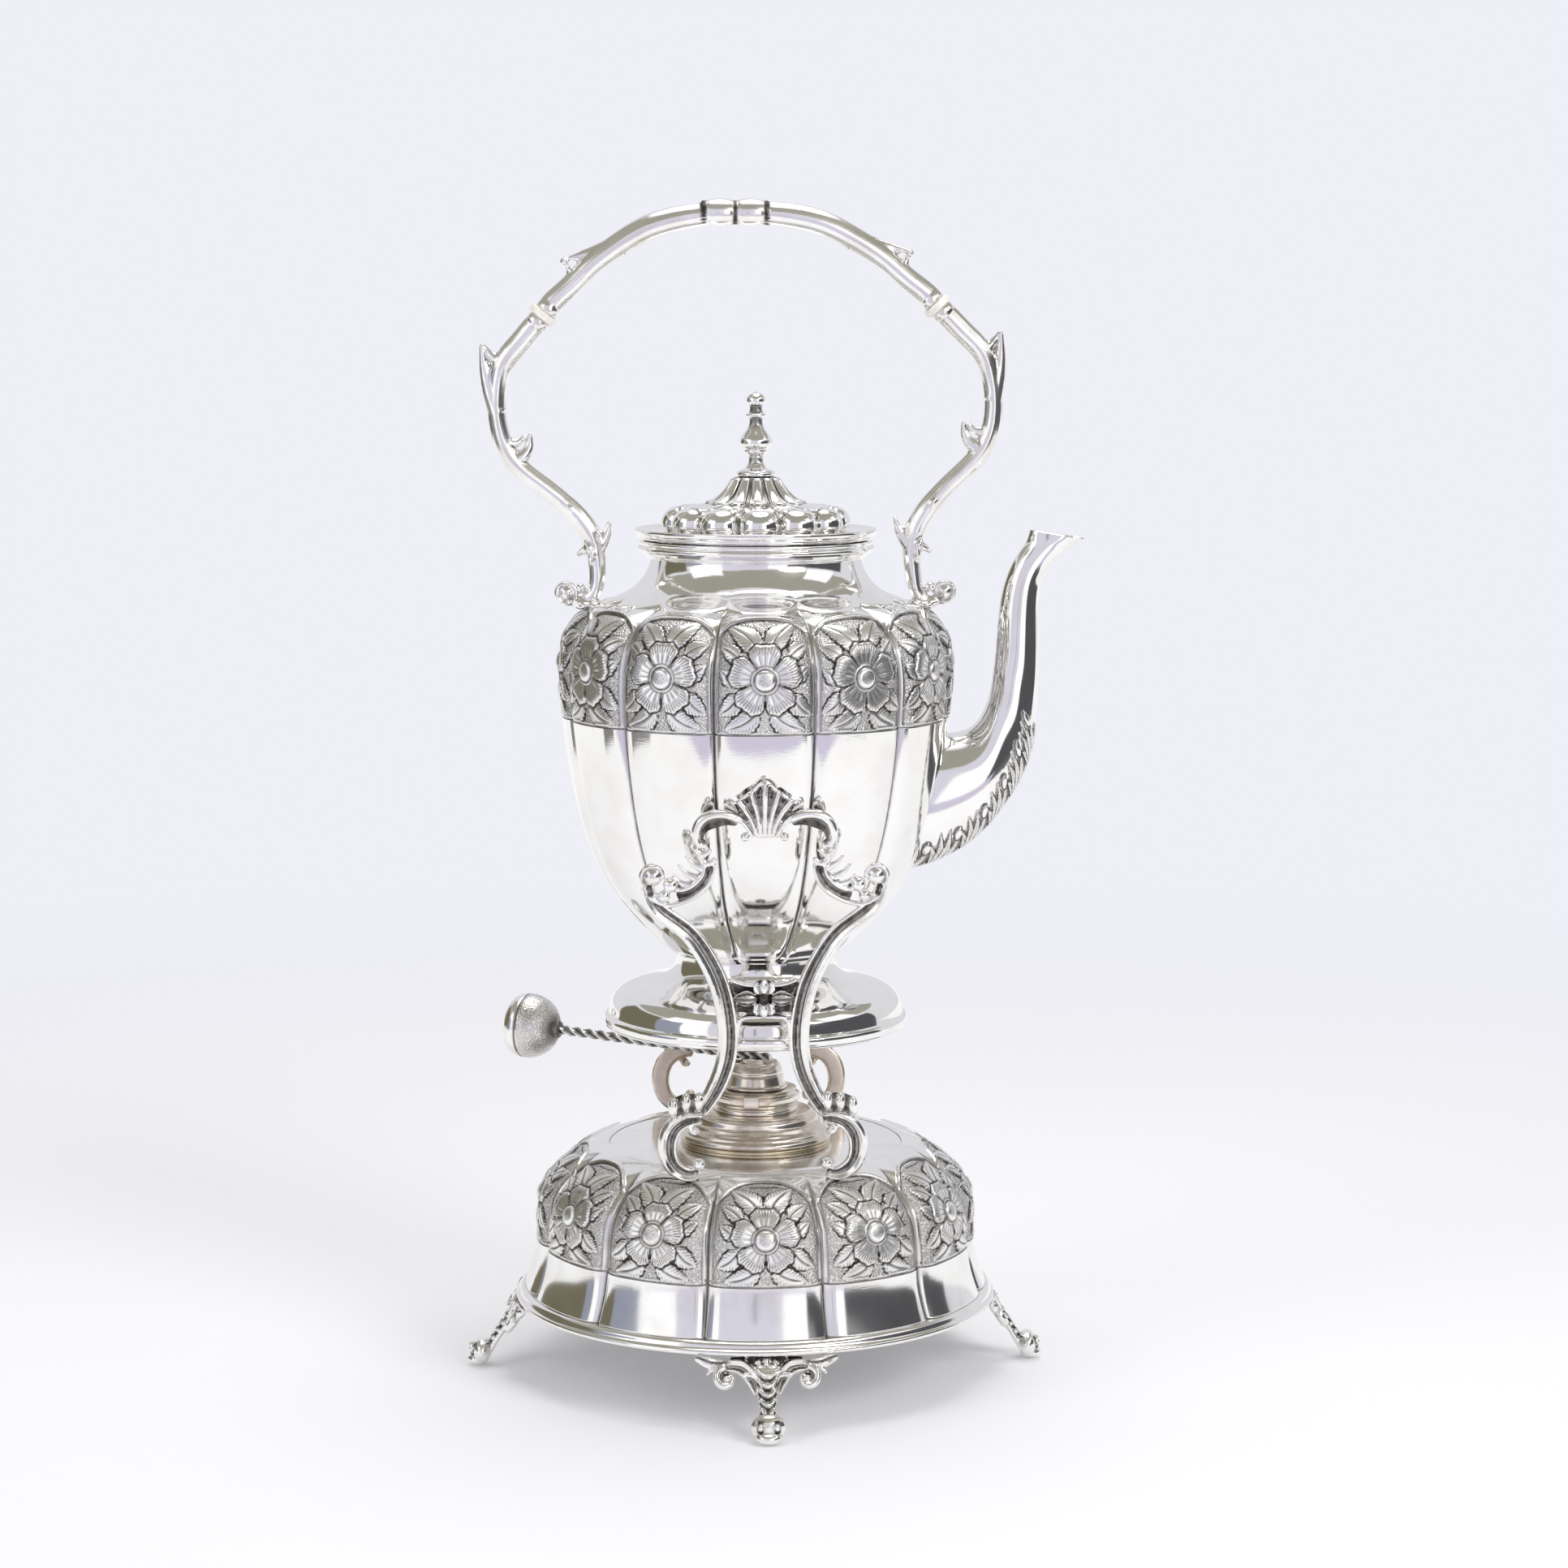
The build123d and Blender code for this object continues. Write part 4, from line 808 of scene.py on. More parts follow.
@dataclass(frozen=True)
class FlowerPanel:
    """The chased upper band of a lobed form: one flower in each lobe, under an arch.

    Attributes:
        form: the lobed form.
        groove_z: height of the line that the band starts at.
        flower: the ornament.
        centre_v: the flower's centre, above the groove along the surface.
        arch_v: the arch's crown, above the groove along the surface.
        arch_bow: how much lower the arch is at the panel's sides.
        margin: width of the polished border beside the valleys.
        columns: points across a lobe.
        rows: points up the band.
        inset: thickness of the band's wall.
    """

    form: LobedForm
    groove_z: float
    flower: Flower
    centre_v: float
    arch_v: float
    arch_bow: float
    margin: float
    columns: int
    rows: int
    inset: float = 1.2

    def lobe(self) -> Shape:
        """One lobe of the band, centred on +X, with a plain back."""
        full = self.form.profile(900)
        chosen = full[full[:, 0] >= self.groove_z - 0.6]
        walked = np.concatenate([[0.0], np.cumsum(np.linalg.norm(np.diff(chosen[:, :2], axis=0), axis=1))])
        at = np.linspace(0.0, walked[-1], self.rows)
        profile = np.stack([np.interp(at, walked, chosen[:, column]) for column in range(3)], axis=-1)
        across = np.linspace(-1.0, 1.0, self.columns)
        half = profile[:, 1] * HALF_LOBE
        u = half[:, None] * across[None]
        start = np.interp(self.groove_z, chosen[:, 0], walked)
        v = np.repeat(at[:, None] - start, self.columns, axis=1)
        side = half[:, None] - np.abs(u)
        arch = self.arch_v - self.arch_bow * np.abs(u / (half[:, None] - self.margin)) ** 2.8
        height, ink, ground = self.flower.relief(u, v - self.centre_v)
        # the panel's edge: polished margins at its sides, an arch above and a lip below
        panel = step(self.margin - 0.25, self.margin + 0.35, side) * step(0.3, -0.3, v - arch)
        panel = panel * step(0.5, 1.2, v)
        height = height * panel
        ink = ink * panel
        ground = ground * panel
        within = step(self.margin - 1.2, self.margin, side)
        arch_line = np.exp(-(((v - arch - 0.2) / 0.50) ** 2)) * within
        arch_rim = np.exp(-(((v - arch - 1.25) / 0.65) ** 2)) * within
        side_line = np.exp(-(((side - self.margin) / 0.38) ** 2)) * (v < arch + 0.3) * (v > 0.5)
        foot_line = np.exp(-((v / 0.42) ** 2))
        foot_lip = np.exp(-(((v - 0.95) / 0.45) ** 2))
        height = height - 0.32 * arch_line + 0.62 * arch_rim - 0.16 * side_line - 0.42 * foot_line + 0.22 * foot_lip
        ink = np.maximum.reduce([ink, 0.95 * arch_line, 0.65 * side_line, 0.9 * foot_line])
        # a dark line down each valley, with no cut under it: painted shade in the crease
        valley = np.exp(-((side / 0.62) ** 2)) * step(self.arch_v + 2.5, self.arch_v - 3.5, v)
        ink = np.maximum(ink, 0.72 * valley)
        keep_edge = step(0.0, 0.5, side) * step(0.0, 0.8, walked[-1] - start - v)
        height = height * keep_edge
        front = self.form.sector(profile, across, height)
        back_rows = profile[::-1][:: max(1, self.rows // 14)].copy()
        back_rows[-1] = profile[0]
        back_rows[:, 0] = np.minimum(back_rows[:, 0], profile[-1, 0] - 0.4)
        back_rows[:, 1:] -= self.inset
        back = self.form.sector(back_rows, across)
        grid = np.concatenate([front, back, front[:1]])
        blank = np.zeros(back.shape[:2])
        masks = {
            "ink": np.concatenate([ink, blank, ink[:1]]),
            "stipple": np.concatenate([ground, blank, ground[:1]]),
            "satin": np.concatenate([panel, blank, panel[:1]]),
        }
        return sheet_of(grid, masks=masks)


# ---------------------------------------------------------------- materials
Colour = tuple[float, float, float]


def group_of(name: str, inputs: dict[str, float], outputs: tuple[tuple[str, str], ...]) -> bpy.types.NodeTree:
    """An empty shader node group with float inputs.

    Args:
        name: the group's name.
        inputs: names and defaults of its float inputs.
        outputs: names and socket types of its outputs.

    Returns:
        The group, with its two end nodes.
    """
    tree = bpy.data.node_groups.new(name, "ShaderNodeTree")
    for label, value in inputs.items():
        tree.interface.new_socket(label, in_out="INPUT", socket_type="NodeSocketFloat").default_value = value
    for label, kind in outputs:
        tree.interface.new_socket(label, in_out="OUTPUT", socket_type=kind)
    tree.nodes.new("NodeGroupInput")
    tree.nodes.new("NodeGroupOutput")
    return tree


def ends(tree: bpy.types.NodeTree) -> tuple[bpy.types.Node, bpy.types.Node]:
    """The group's input and output nodes."""
    entry = next(node for node in tree.nodes if node.type == "GROUP_INPUT")
    leave = next(node for node in tree.nodes if node.type == "GROUP_OUTPUT")
    return entry, leave


def math_node(tree: bpy.types.NodeTree, kind: str, first, second=None, clamp: bool = False) -> bpy.types.NodeSocket:
    """A math node's result; its inputs are sockets or numbers."""
    node = tree.nodes.new("ShaderNodeMath")
    node.operation = kind
    node.use_clamp = clamp
    for socket, value in zip(node.inputs, (first, second)):
        if isinstance(value, bpy.types.NodeSocket):
            tree.links.new(value, socket)
        elif value is not None:
            socket.default_value = value
    return node.outputs[0]


def texture_node(tree: bpy.types.NodeTree, kind: str, stretch: tuple[float, float, float], **inputs: float) -> bpy.types.Node:
    """A texture on Object coordinates.

    Args:
        tree: the tree to add it to.
        kind: the node's type.
        stretch: scale of the coordinates along each axis.
        **inputs: values of the texture's inputs.

    Returns:
        The texture node.
    """
    place = tree.nodes.new("ShaderNodeTexCoord")
    mapping = tree.nodes.new("ShaderNodeMapping")
    mapping.inputs["Scale"].default_value = stretch
    node = tree.nodes.new(kind)
    tree.links.new(place.outputs["Object"], mapping.inputs["Vector"])
    tree.links.new(mapping.outputs[0], node.inputs["Vector"])
    for label, value in inputs.items():
        node.inputs[label.replace("_", " ")].default_value = value
    return node


def patina_group() -> bpy.types.NodeTree:
    """The group of tarnish and painted shade: where dark tarnish and painted shade lie, and how rough and uneven the
    plate is.

    Returns:
        A group with the inputs Dark, Stain and Polish and the outputs Oxide, Warmth, Roughness and Height.
    """
    known = bpy.data.node_groups.get("patina")
    if known:
        return known
    tree = group_of(
        "patina", {"Dark": 1.0, "Stain": 0.2, "Polish": 0.10, "Marks": 1.0},
        (("Oxide", "NodeSocketFloat"), ("Warmth", "NodeSocketFloat"),
         ("Roughness", "NodeSocketFloat"), ("Height", "NodeSocketFloat")),
    )
    entry, leave = ends(tree)
    ink = tree.nodes.new("ShaderNodeAttribute")
    ink.attribute_name = "ink"
    stipple = tree.nodes.new("ShaderNodeAttribute")
    stipple.attribute_name = "stipple"
    satin = tree.nodes.new("ShaderNodeAttribute")
    satin.attribute_name = "satin"
    patches = texture_node(tree, "ShaderNodeTexNoise", (1, 1, 1), Scale=70.0, Detail=4.0, Roughness=0.55)
    grime = texture_node(tree, "ShaderNodeTexNoise", (1, 1, 1), Scale=420.0, Detail=3.0, Roughness=0.6)
    scratch = texture_node(tree, "ShaderNodeTexNoise", (260, 260, 2600), Scale=1.0, Detail=2.0, Roughness=0.6)
    waves = texture_node(tree, "ShaderNodeTexNoise", (1, 1, 1), Scale=46.0, Detail=1.0, Roughness=0.4)
    dots = texture_node(tree, "ShaderNodeTexVoronoi", (1, 1, 1), Scale=1500.0)
    uneven = math_node(tree, "ADD", math_node(tree, "MULTIPLY", grime.outputs[0], 0.7), 0.65)
    # painted shade and tarnish: the dark mask, made uneven, and dark specks in the punched ground
    oxide_and_shade = math_node(tree, "MULTIPLY", math_node(tree, "MULTIPLY", ink.outputs["Fac"], uneven), entry.outputs["Dark"], True)
    speck = math_node(tree, "MULTIPLY", stipple.outputs["Fac"], math_node(tree, "SUBTRACT", 0.75, dots.outputs["Distance"]))
    oxide_and_shade = math_node(tree, "ADD", oxide_and_shade, math_node(tree, "MULTIPLY", speck, 0.62), True)
    warm = math_node(tree, "MULTIPLY", math_node(tree, "SUBTRACT", patches.outputs[0], 0.42), 3.4, True)
    warmth = math_node(tree, "MULTIPLY", math_node(tree, "ADD", warm, oxide_and_shade), entry.outputs["Stain"], True)
    rough = math_node(tree, "ADD", entry.outputs["Polish"], math_node(tree, "MULTIPLY", oxide_and_shade, 0.34))
    rough = math_node(tree, "ADD", rough, math_node(tree, "MULTIPLY", satin.outputs["Fac"], 0.16))
    rough = math_node(tree, "ADD", rough, math_node(tree, "MULTIPLY", grime.outputs[0], 0.05), True)
    relief = math_node(tree, "MULTIPLY", dots.outputs["Distance"], stipple.outputs["Fac"])
    relief = math_node(tree, "MULTIPLY", relief, 0.00030)
    wavy = math_node(tree, "MULTIPLY", waves.outputs[0], 0.00022)
    fine = math_node(tree, "MULTIPLY", scratch.outputs[0], math_node(tree, "MULTIPLY", entry.outputs["Marks"], 0.000007))
    height = math_node(tree, "ADD", math_node(tree, "ADD", relief, wavy), fine)
    for label, socket in (("Oxide", oxide_and_shade), ("Warmth", warmth), ("Roughness", rough), ("Height", height)):
        tree.links.new(socket, leave.inputs[label])
    return tree


@dataclass(frozen=True)
class Silver:
    """A silver-plate finish.

    Attributes:
        name: the material's name.
        bright: the polished metal's colour.
        oxide_and_shade: the colour of tarnish and painted shade in its recesses.
        tarnish: the warm colour of its stains.
        polish: roughness where it is polished.
        dark: how strongly tarnish and painted shade darken its recesses.
        stain: how much warm tarnish lies on it.
        marks: strength of the fine polishing marks.
    """

    name: str
    bright: Colour = (0.935, 0.928, 0.915)
    oxide_and_shade: Colour = (0.050, 0.046, 0.042)
    tarnish: Colour = (0.50, 0.43, 0.33)
    polish: float = 0.10
    dark: float = 1.0
    stain: float = 0.22
    marks: float = 1.0

    def make(self) -> bpy.types.Material:
        """Makes the material.

        Returns:
            The material, in nodes.
        """
        material = bpy.data.materials.new(self.name)
        material.use_nodes = True
        tree = material.node_tree
        shader = tree.nodes["Principled BSDF"]
        shader.inputs["Metallic"].default_value = 1.0
        patina = tree.nodes.new("ShaderNodeGroup")
        patina.node_tree = patina_group()
        for label, value in (("Dark", self.dark), ("Stain", self.stain), ("Polish", self.polish), ("Marks", self.marks)):
            patina.inputs[label].default_value = value
        warm = tree.nodes.new("ShaderNodeMix")
        warm.data_type = "RGBA"
        warm.inputs["A"].default_value = (*self.bright, 1.0)
        warm.inputs["B"].default_value = (*self.tarnish, 1.0)
        # painted shade and tarnish: the dark colour, mixed in where the dark mask says
        shade_and_tarnish_mix = tree.nodes.new("ShaderNodeMix")
        shade_and_tarnish_mix.data_type = "RGBA"
        shade_and_tarnish_mix.inputs["B"].default_value = (*self.oxide_and_shade, 1.0)
        bump = tree.nodes.new("ShaderNodeBump")
        bump.inputs["Distance"].default_value = 1.0
        bump.inputs["Strength"].default_value = 1.0
        tree.links.new(patina.outputs["Warmth"], warm.inputs["Factor"])
        tree.links.new(warm.outputs["Result"], shade_and_tarnish_mix.inputs["A"])
        tree.links.new(patina.outputs["Oxide"], shade_and_tarnish_mix.inputs["Factor"])
        tree.links.new(shade_and_tarnish_mix.outputs["Result"], shader.inputs["Base Color"])
        tree.links.new(patina.outputs["Roughness"], shader.inputs["Roughness"])
        tree.links.new(patina.outputs["Height"], bump.inputs["Height"])
        tree.links.new(bump.outputs[0], shader.inputs["Normal"])
        return material


@dataclass(frozen=True)
class Ivory:
    """The pale insulating rings: a warm, faintly banded, softly glossy material."""

    name: str = "insulator"
    light: Colour = (0.90, 0.875, 0.81)
    deep: Colour = (0.78, 0.72, 0.60)

    def make(self) -> bpy.types.Material:
        """Makes the material.

        Returns:
            The material, in nodes.
        """
        material = bpy.data.materials.new(self.name)
        material.use_nodes = True
        tree = material.node_tree
        shader = tree.nodes["Principled BSDF"]
        shader.inputs["Roughness"].default_value = 0.28
        shader.inputs["Coat Weight"].default_value = 0.3
        shader.inputs["Coat Roughness"].default_value = 0.12
        shader.inputs["Subsurface Weight"].default_value = 0.15
        shader.inputs["Subsurface Radius"].default_value = (0.002, 0.0014, 0.0008)
        grain = texture_node(tree, "ShaderNodeTexNoise", (1500, 300, 1500), Scale=1.0, Detail=3.0, Roughness=0.6)
        tone = tree.nodes.new("ShaderNodeValToRGB")
        tone.color_ramp.elements[0].color = (*self.deep, 1.0)
        tone.color_ramp.elements[0].position = 0.25
        tone.color_ramp.elements[1].color = (*self.light, 1.0)
        tone.color_ramp.elements[1].position = 0.55
        bump = tree.nodes.new("ShaderNodeBump")
        bump.inputs["Distance"].default_value = 0.00005
        tree.links.new(grain.outputs[0], tone.inputs[0])
        tree.links.new(tone.outputs[0], shader.inputs["Base Color"])
        tree.links.new(grain.outputs[0], bump.inputs["Height"])
        tree.links.new(bump.outputs[0], shader.inputs["Normal"])
        return material


@dataclass(frozen=True)
class Cotton:
    """The wick: off-white cotton with a scorched top."""

    name: str = "wick"
    clean: Colour = (0.70, 0.66, 0.57)
    burnt: Colour = (0.030, 0.026, 0.022)
    burn_from: float = 0.1015
    burn_to: float = 0.1035

    def make(self) -> bpy.types.Material:
        """Makes the material.

        Returns:
            The material, in nodes.
        """
        material = bpy.data.materials.new(self.name)
        material.use_nodes = True
        tree = material.node_tree
        shader = tree.nodes["Principled BSDF"]
        shader.inputs["Roughness"].default_value = 0.92
        strands = texture_node(tree, "ShaderNodeTexNoise", (2200, 2200, 420), Scale=1.0, Detail=3.0, Roughness=0.6)
        place = tree.nodes.new("ShaderNodeTexCoord")
        parts = tree.nodes.new("ShaderNodeSeparateXYZ")
        burn = tree.nodes.new("ShaderNodeMapRange")
        burn.inputs["From Min"].default_value = self.burn_from
        burn.inputs["From Max"].default_value = self.burn_to
        colour = tree.nodes.new("ShaderNodeMix")
        colour.data_type = "RGBA"
        colour.inputs["A"].default_value = (*self.clean, 1.0)
        colour.inputs["B"].default_value = (*self.burnt, 1.0)
        bump = tree.nodes.new("ShaderNodeBump")
        bump.inputs["Distance"].default_value = 0.0003
        tree.links.new(place.outputs["Object"], parts.inputs[0])
        tree.links.new(math_node(tree, "ADD", parts.outputs["Z"], math_node(tree, "MULTIPLY", strands.outputs[0], 0.001)), burn.inputs["Value"])
        tree.links.new(burn.outputs[0], colour.inputs["Factor"])
        tree.links.new(colour.outputs["Result"], shader.inputs["Base Color"])
        tree.links.new(strands.outputs[0], bump.inputs["Height"])
        tree.links.new(bump.outputs[0], shader.inputs["Normal"])
        return material


@dataclass
class Finishes:
    """Every material of the object, made once."""

    stand: bpy.types.Material = field(default_factory=lambda: Silver("silver_stand").make())
    cast: bpy.types.Material = field(default_factory=lambda: Silver("silver_cast", polish=0.15, stain=0.30).make())
    # the rear bracket's silver is darker and warmer: painted shade, with heavy tarnish
    rear: bpy.types.Material = field(default_factory=lambda: Silver(
        "silver_tarnished", bright=(0.70, 0.62, 0.53), tarnish=(0.44, 0.34, 0.25), polish=0.24, stain=0.80).make())
    kettle: bpy.types.Material = field(default_factory=lambda: Silver("silver_kettle", polish=0.055, stain=0.14).make())
    lid: bpy.types.Material = field(default_factory=lambda: Silver("silver_lid", polish=0.055, stain=0.14).make())
    burner: bpy.types.Material = field(default_factory=lambda: Silver(
        "burner_metal", bright=(0.84, 0.79, 0.72), tarnish=(0.50, 0.41, 0.31), polish=0.16, stain=0.70).make())
    brass: bpy.types.Material = field(default_factory=lambda: Silver(
        "burner_brass", bright=(0.74, 0.65, 0.50), tarnish=(0.42, 0.33, 0.22), polish=0.24, stain=0.70).make())
    insulator: bpy.types.Material = field(default_factory=lambda: Ivory().make())
    wick: bpy.types.Material = field(default_factory=lambda: Cotton().make())


# ---------------------------------------------------------------- studio
@dataclass(frozen=True)
class Card:
    """A curved card that only metal sees.

    Attributes:
        span: bearings of its ends, in degrees to the right of the front.
        start: radius and height of one of its long edges.
        end: radius and height of the other.
        tone: its colour in reflections.
        bow: how much farther its first edge lies at both ends.
    """

    span: tuple[float, float]
    start: tuple[float, float]
    end: tuple[float, float]
    tone: Colour
    bow: float = 0.0

    def hang(self, name: str) -> None:
        """Hangs the card under a name."""
        bearings = np.radians(np.linspace(*self.span, 33))
        bent = self.bow * np.linspace(-1.0, 1.0, 33) ** 2
        rows = [
            np.column_stack([radius * np.sin(bearings), -radius * np.cos(bearings), np.full(33, height)])
            for radius, height in ((self.start[0] + bent, self.start[1]), self.end)
        ]
        card = build_object(sheet_of(np.stack(rows) / MM), name)
        material = bpy.data.materials.new(name)
        material.use_nodes = True
        tree = material.node_tree
        glow = tree.nodes.new("ShaderNodeEmission")
        glow.inputs["Color"].default_value = (*self.tone, 1.0)
        tree.links.new(glow.outputs[0], tree.nodes["Material Output"].inputs["Surface"])
        card.data.materials.append(material)
        card.visible_camera = False
        card.visible_diffuse = False
        card.visible_shadow = False


@dataclass(frozen=True)
class Studio:
    """A pale floor, a pale surround that metal reflects, soft lamps, dark cards and the camera."""

    backdrop: Colour = (0.862, 0.862, 0.930)
    floor: Colour = (0.965, 0.962, 0.980)
    surround: Colour = (0.74, 0.74, 0.78)
    light: float = 0.48
    lamps: tuple[tuple[tuple[float, float, float], float, float], ...] = (
        ((0.95, -1.15, 1.05), 0.75, 11.0),
        ((-1.25, -0.75, 0.95), 0.90, 5.0),
        ((0.10, 0.25, 1.60), 1.10, 9.0),
    )
    cards: tuple[Card, ...] = (
        Card((11.0, 33.0), (1.36, 0.0), (1.36, 0.95), (1.15, 1.15, 1.16)),
        Card((33.0, 104.0), (1.34, 0.0), (1.34, 0.84), (0.085, 0.085, 0.092)),
        Card((58.0, 94.0), (1.30, 0.88), (1.10, 1.35), (1.10, 1.10, 1.12)),
        Card((-40.0, 11.0), (1.50, 0.0), (1.50, 1.10), (0.70, 0.69, 0.79)),
        Card((-3.4, -2.2), (1.42, 0.0), (1.42, 0.52), (0.12, 0.12, 0.12)),
        Card((-62.0, -40.0), (1.38, 0.0), (1.38, 0.74), (1.10, 1.10, 1.12)),
        Card((-82.0, -42.0), (1.30, 0.72), (1.18, 1.25), (1.10, 1.10, 1.12)),
        Card((-86.0, -62.0), (1.36, 0.0), (1.36, 0.72), (0.30, 0.32, 0.40)),
        Card((-134.0, -86.0), (1.34, 0.0), (1.34, 0.92), (0.17, 0.155, 0.105)),
        Card((-140.0, 140.0), (1.48, 1.12), (0.50, 1.72), (0.36, 0.35, 0.30)),
        Card((-58.0, 58.0), (0.61, 0.003), (2.60, 0.003), (0.64, 0.61, 0.75), 0.36),
        Card((42.0, 64.0), (0.86, 0.004), (2.60, 0.004), (0.13, 0.13, 0.14)),
        Card((-100.0, -66.0), (0.80, 0.004), (2.60, 0.004), (0.24, 0.23, 0.22)),
    )

    def set_camera(self) -> None:
        """Puts the camera where the photograph was taken from."""
        lens = bpy.data.cameras.new("camera")
        lens.lens = 84.5566
        lens.sensor_width = 36.0
        camera = bpy.data.objects.new("camera", lens)
        camera.location = (-0.05644, -1.24286, 0.36185)
        camera.rotation_euler = tuple(math.radians(turn) for turn in (82.67979, -0.09802, -3.03111))
        bpy.context.scene.collection.objects.link(camera)
        bpy.context.scene.camera = camera

    def set_world(self) -> None:
        """Gives the world its backdrop for the camera and for metal, and a plain light for the rest."""
        world = bpy.data.worlds.new("studio")
        bpy.context.scene.world = world
        world.use_nodes = True
        tree = world.node_tree
        light = tree.nodes["Background"]
        light.inputs["Color"].default_value = (1.0, 1.0, 1.0, 1.0)
        light.inputs["Strength"].default_value = self.light
        shown = tree.nodes.new("ShaderNodeBackground")
        shown.inputs["Color"].default_value = (*self.backdrop, 1.0)
        mirrored = tree.nodes.new("ShaderNodeBackground")
        mirrored.inputs["Color"].default_value = (*self.surround, 1.0)
        path = tree.nodes.new("ShaderNodeLightPath")
        first = tree.nodes.new("ShaderNodeMixShader")
        second = tree.nodes.new("ShaderNodeMixShader")
        tree.links.new(path.outputs["Is Glossy Ray"], first.inputs[0])
        tree.links.new(light.outputs[0], first.inputs[1])
        tree.links.new(mirrored.outputs[0], first.inputs[2])
        tree.links.new(path.outputs["Is Camera Ray"], second.inputs[0])
        tree.links.new(first.outputs[0], second.inputs[1])
        tree.links.new(shown.outputs[0], second.inputs[2])
        tree.links.new(second.outputs[0], tree.nodes["World Output"].inputs["Surface"])

    def set_floor(self) -> None:
        """Lays the floor, which fades into the backdrop far from the object."""
        floor = build_object(lathe([(0, -3.0), (5200.0, -3.0), (5200.0, -0.05), (0, -0.05)], 96), "floor")
        material = bpy.data.materials.new("floor")
        material.use_nodes = True
        tree = material.node_tree
        shader = tree.nodes["Principled BSDF"]
        shader.inputs["Base Color"].default_value = (*self.floor, 1.0)
        shader.inputs["Roughness"].default_value = 0.85
        shader.inputs["Specular IOR Level"].default_value = 0.1
        far = tree.nodes.new("ShaderNodeEmission")
        path = tree.nodes.new("ShaderNodeLightPath")
        tone = tree.nodes.new("ShaderNodeMix")
        tone.data_type = "RGBA"
        tone.inputs["A"].default_value = (*self.backdrop, 1.0)
        tone.inputs["B"].default_value = (1.0, 1.0, 1.0, 1.0)
        tree.links.new(path.outputs["Is Glossy Ray"], tone.inputs["Factor"])
        tree.links.new(tone.outputs["Result"], far.inputs["Color"])
        place = tree.nodes.new("ShaderNodeTexCoord")
        length = tree.nodes.new("ShaderNodeVectorMath")
        length.operation = "LENGTH"
        fade = tree.nodes.new("ShaderNodeMapRange")
        fade.interpolation_type = "SMOOTHSTEP"
        fade.inputs["From Min"].default_value = 0.22
        fade.inputs["From Max"].default_value = 1.10
        fade.inputs["To Min"].default_value = 0.16
        mix = tree.nodes.new("ShaderNodeMixShader")
        tree.links.new(place.outputs["Object"], length.inputs[0])
        tree.links.new(length.outputs["Value"], fade.inputs["Value"])
        tree.links.new(fade.outputs[0], mix.inputs[0])
        tree.links.new(shader.outputs[0], mix.inputs[1])
        tree.links.new(far.outputs[0], mix.inputs[2])
        tree.links.new(mix.outputs[0], tree.nodes["Material Output"].inputs["Surface"])
        floor.data.materials.append(material)

    def set_lamps(self) -> None:
        """Hangs the soft lamps, and the cards that only metal sees."""
        for index, (place, size, power) in enumerate(self.lamps):
            data = bpy.data.lights.new(f"lamp_{index}", "AREA")
            data.shape = "DISK"
            data.size = size
            data.energy = power
            lamp = bpy.data.objects.new(f"lamp_{index}", data)
            lamp.location = place
            aim = np.array([0.0, 0.0, 0.18]) - np.array(place)
            lamp.rotation_euler = (
                math.acos(-aim[2] / np.linalg.norm(aim)), 0.0, math.atan2(aim[1], aim[0]) - math.pi / 2,
            )
            bpy.context.scene.collection.objects.link(lamp)
        for index, card in enumerate(self.cards):
            card.hang(f"card_{index}")

    def make(self) -> None:
        """Sets up the whole studio."""
        self.set_camera()
        self.set_world()
        self.set_floor()
        self.set_lamps()
        bpy.context.scene.view_settings.view_transform = "Standard"


def attach(piece: bpy.types.Object, body: Body, slot: Slot, *nodes: str) -> bpy.types.Object:
    """Makes a piece ride on a body and stand for CAD nodes.

    Args:
        piece: the object.
        body: the body it moves with.
        slot: the record's material slot; not used.
        *nodes: the CAD nodes that it replaces.

    Returns:
        The same object.
    """
    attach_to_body(piece, body.value)
    if nodes:
        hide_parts(*nodes)
    return piece


def repaint(name: str, material: bpy.types.Material) -> None:
    """Gives a carried-over CAD node a better material."""
    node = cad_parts[name]
    node.data.materials.clear()
    node.data.materials.append(material)
    for polygon in node.data.polygons:
        polygon.material_index = 0
    node.data.set_sharp_from_angle(angle=math.radians(35))


# ---------------------------------------------------------------- flat castings
@dataclass(frozen=True)
class Plane:
    """A plane to model castings in: p runs sideways, q upwards, and n out of the face."""

    origin: tuple[float, float, float]
    p: tuple[float, float, float]
    q: tuple[float, float, float]

    def place(self, shape: Shape) -> Shape:
        """Moves a shape from the plane's own coordinates into the frame."""
        p, q = np.array(self.p), np.array(self.q)
        return shape.moved(np.stack([p, q, np.cross(p, q)], axis=1), self.origin)


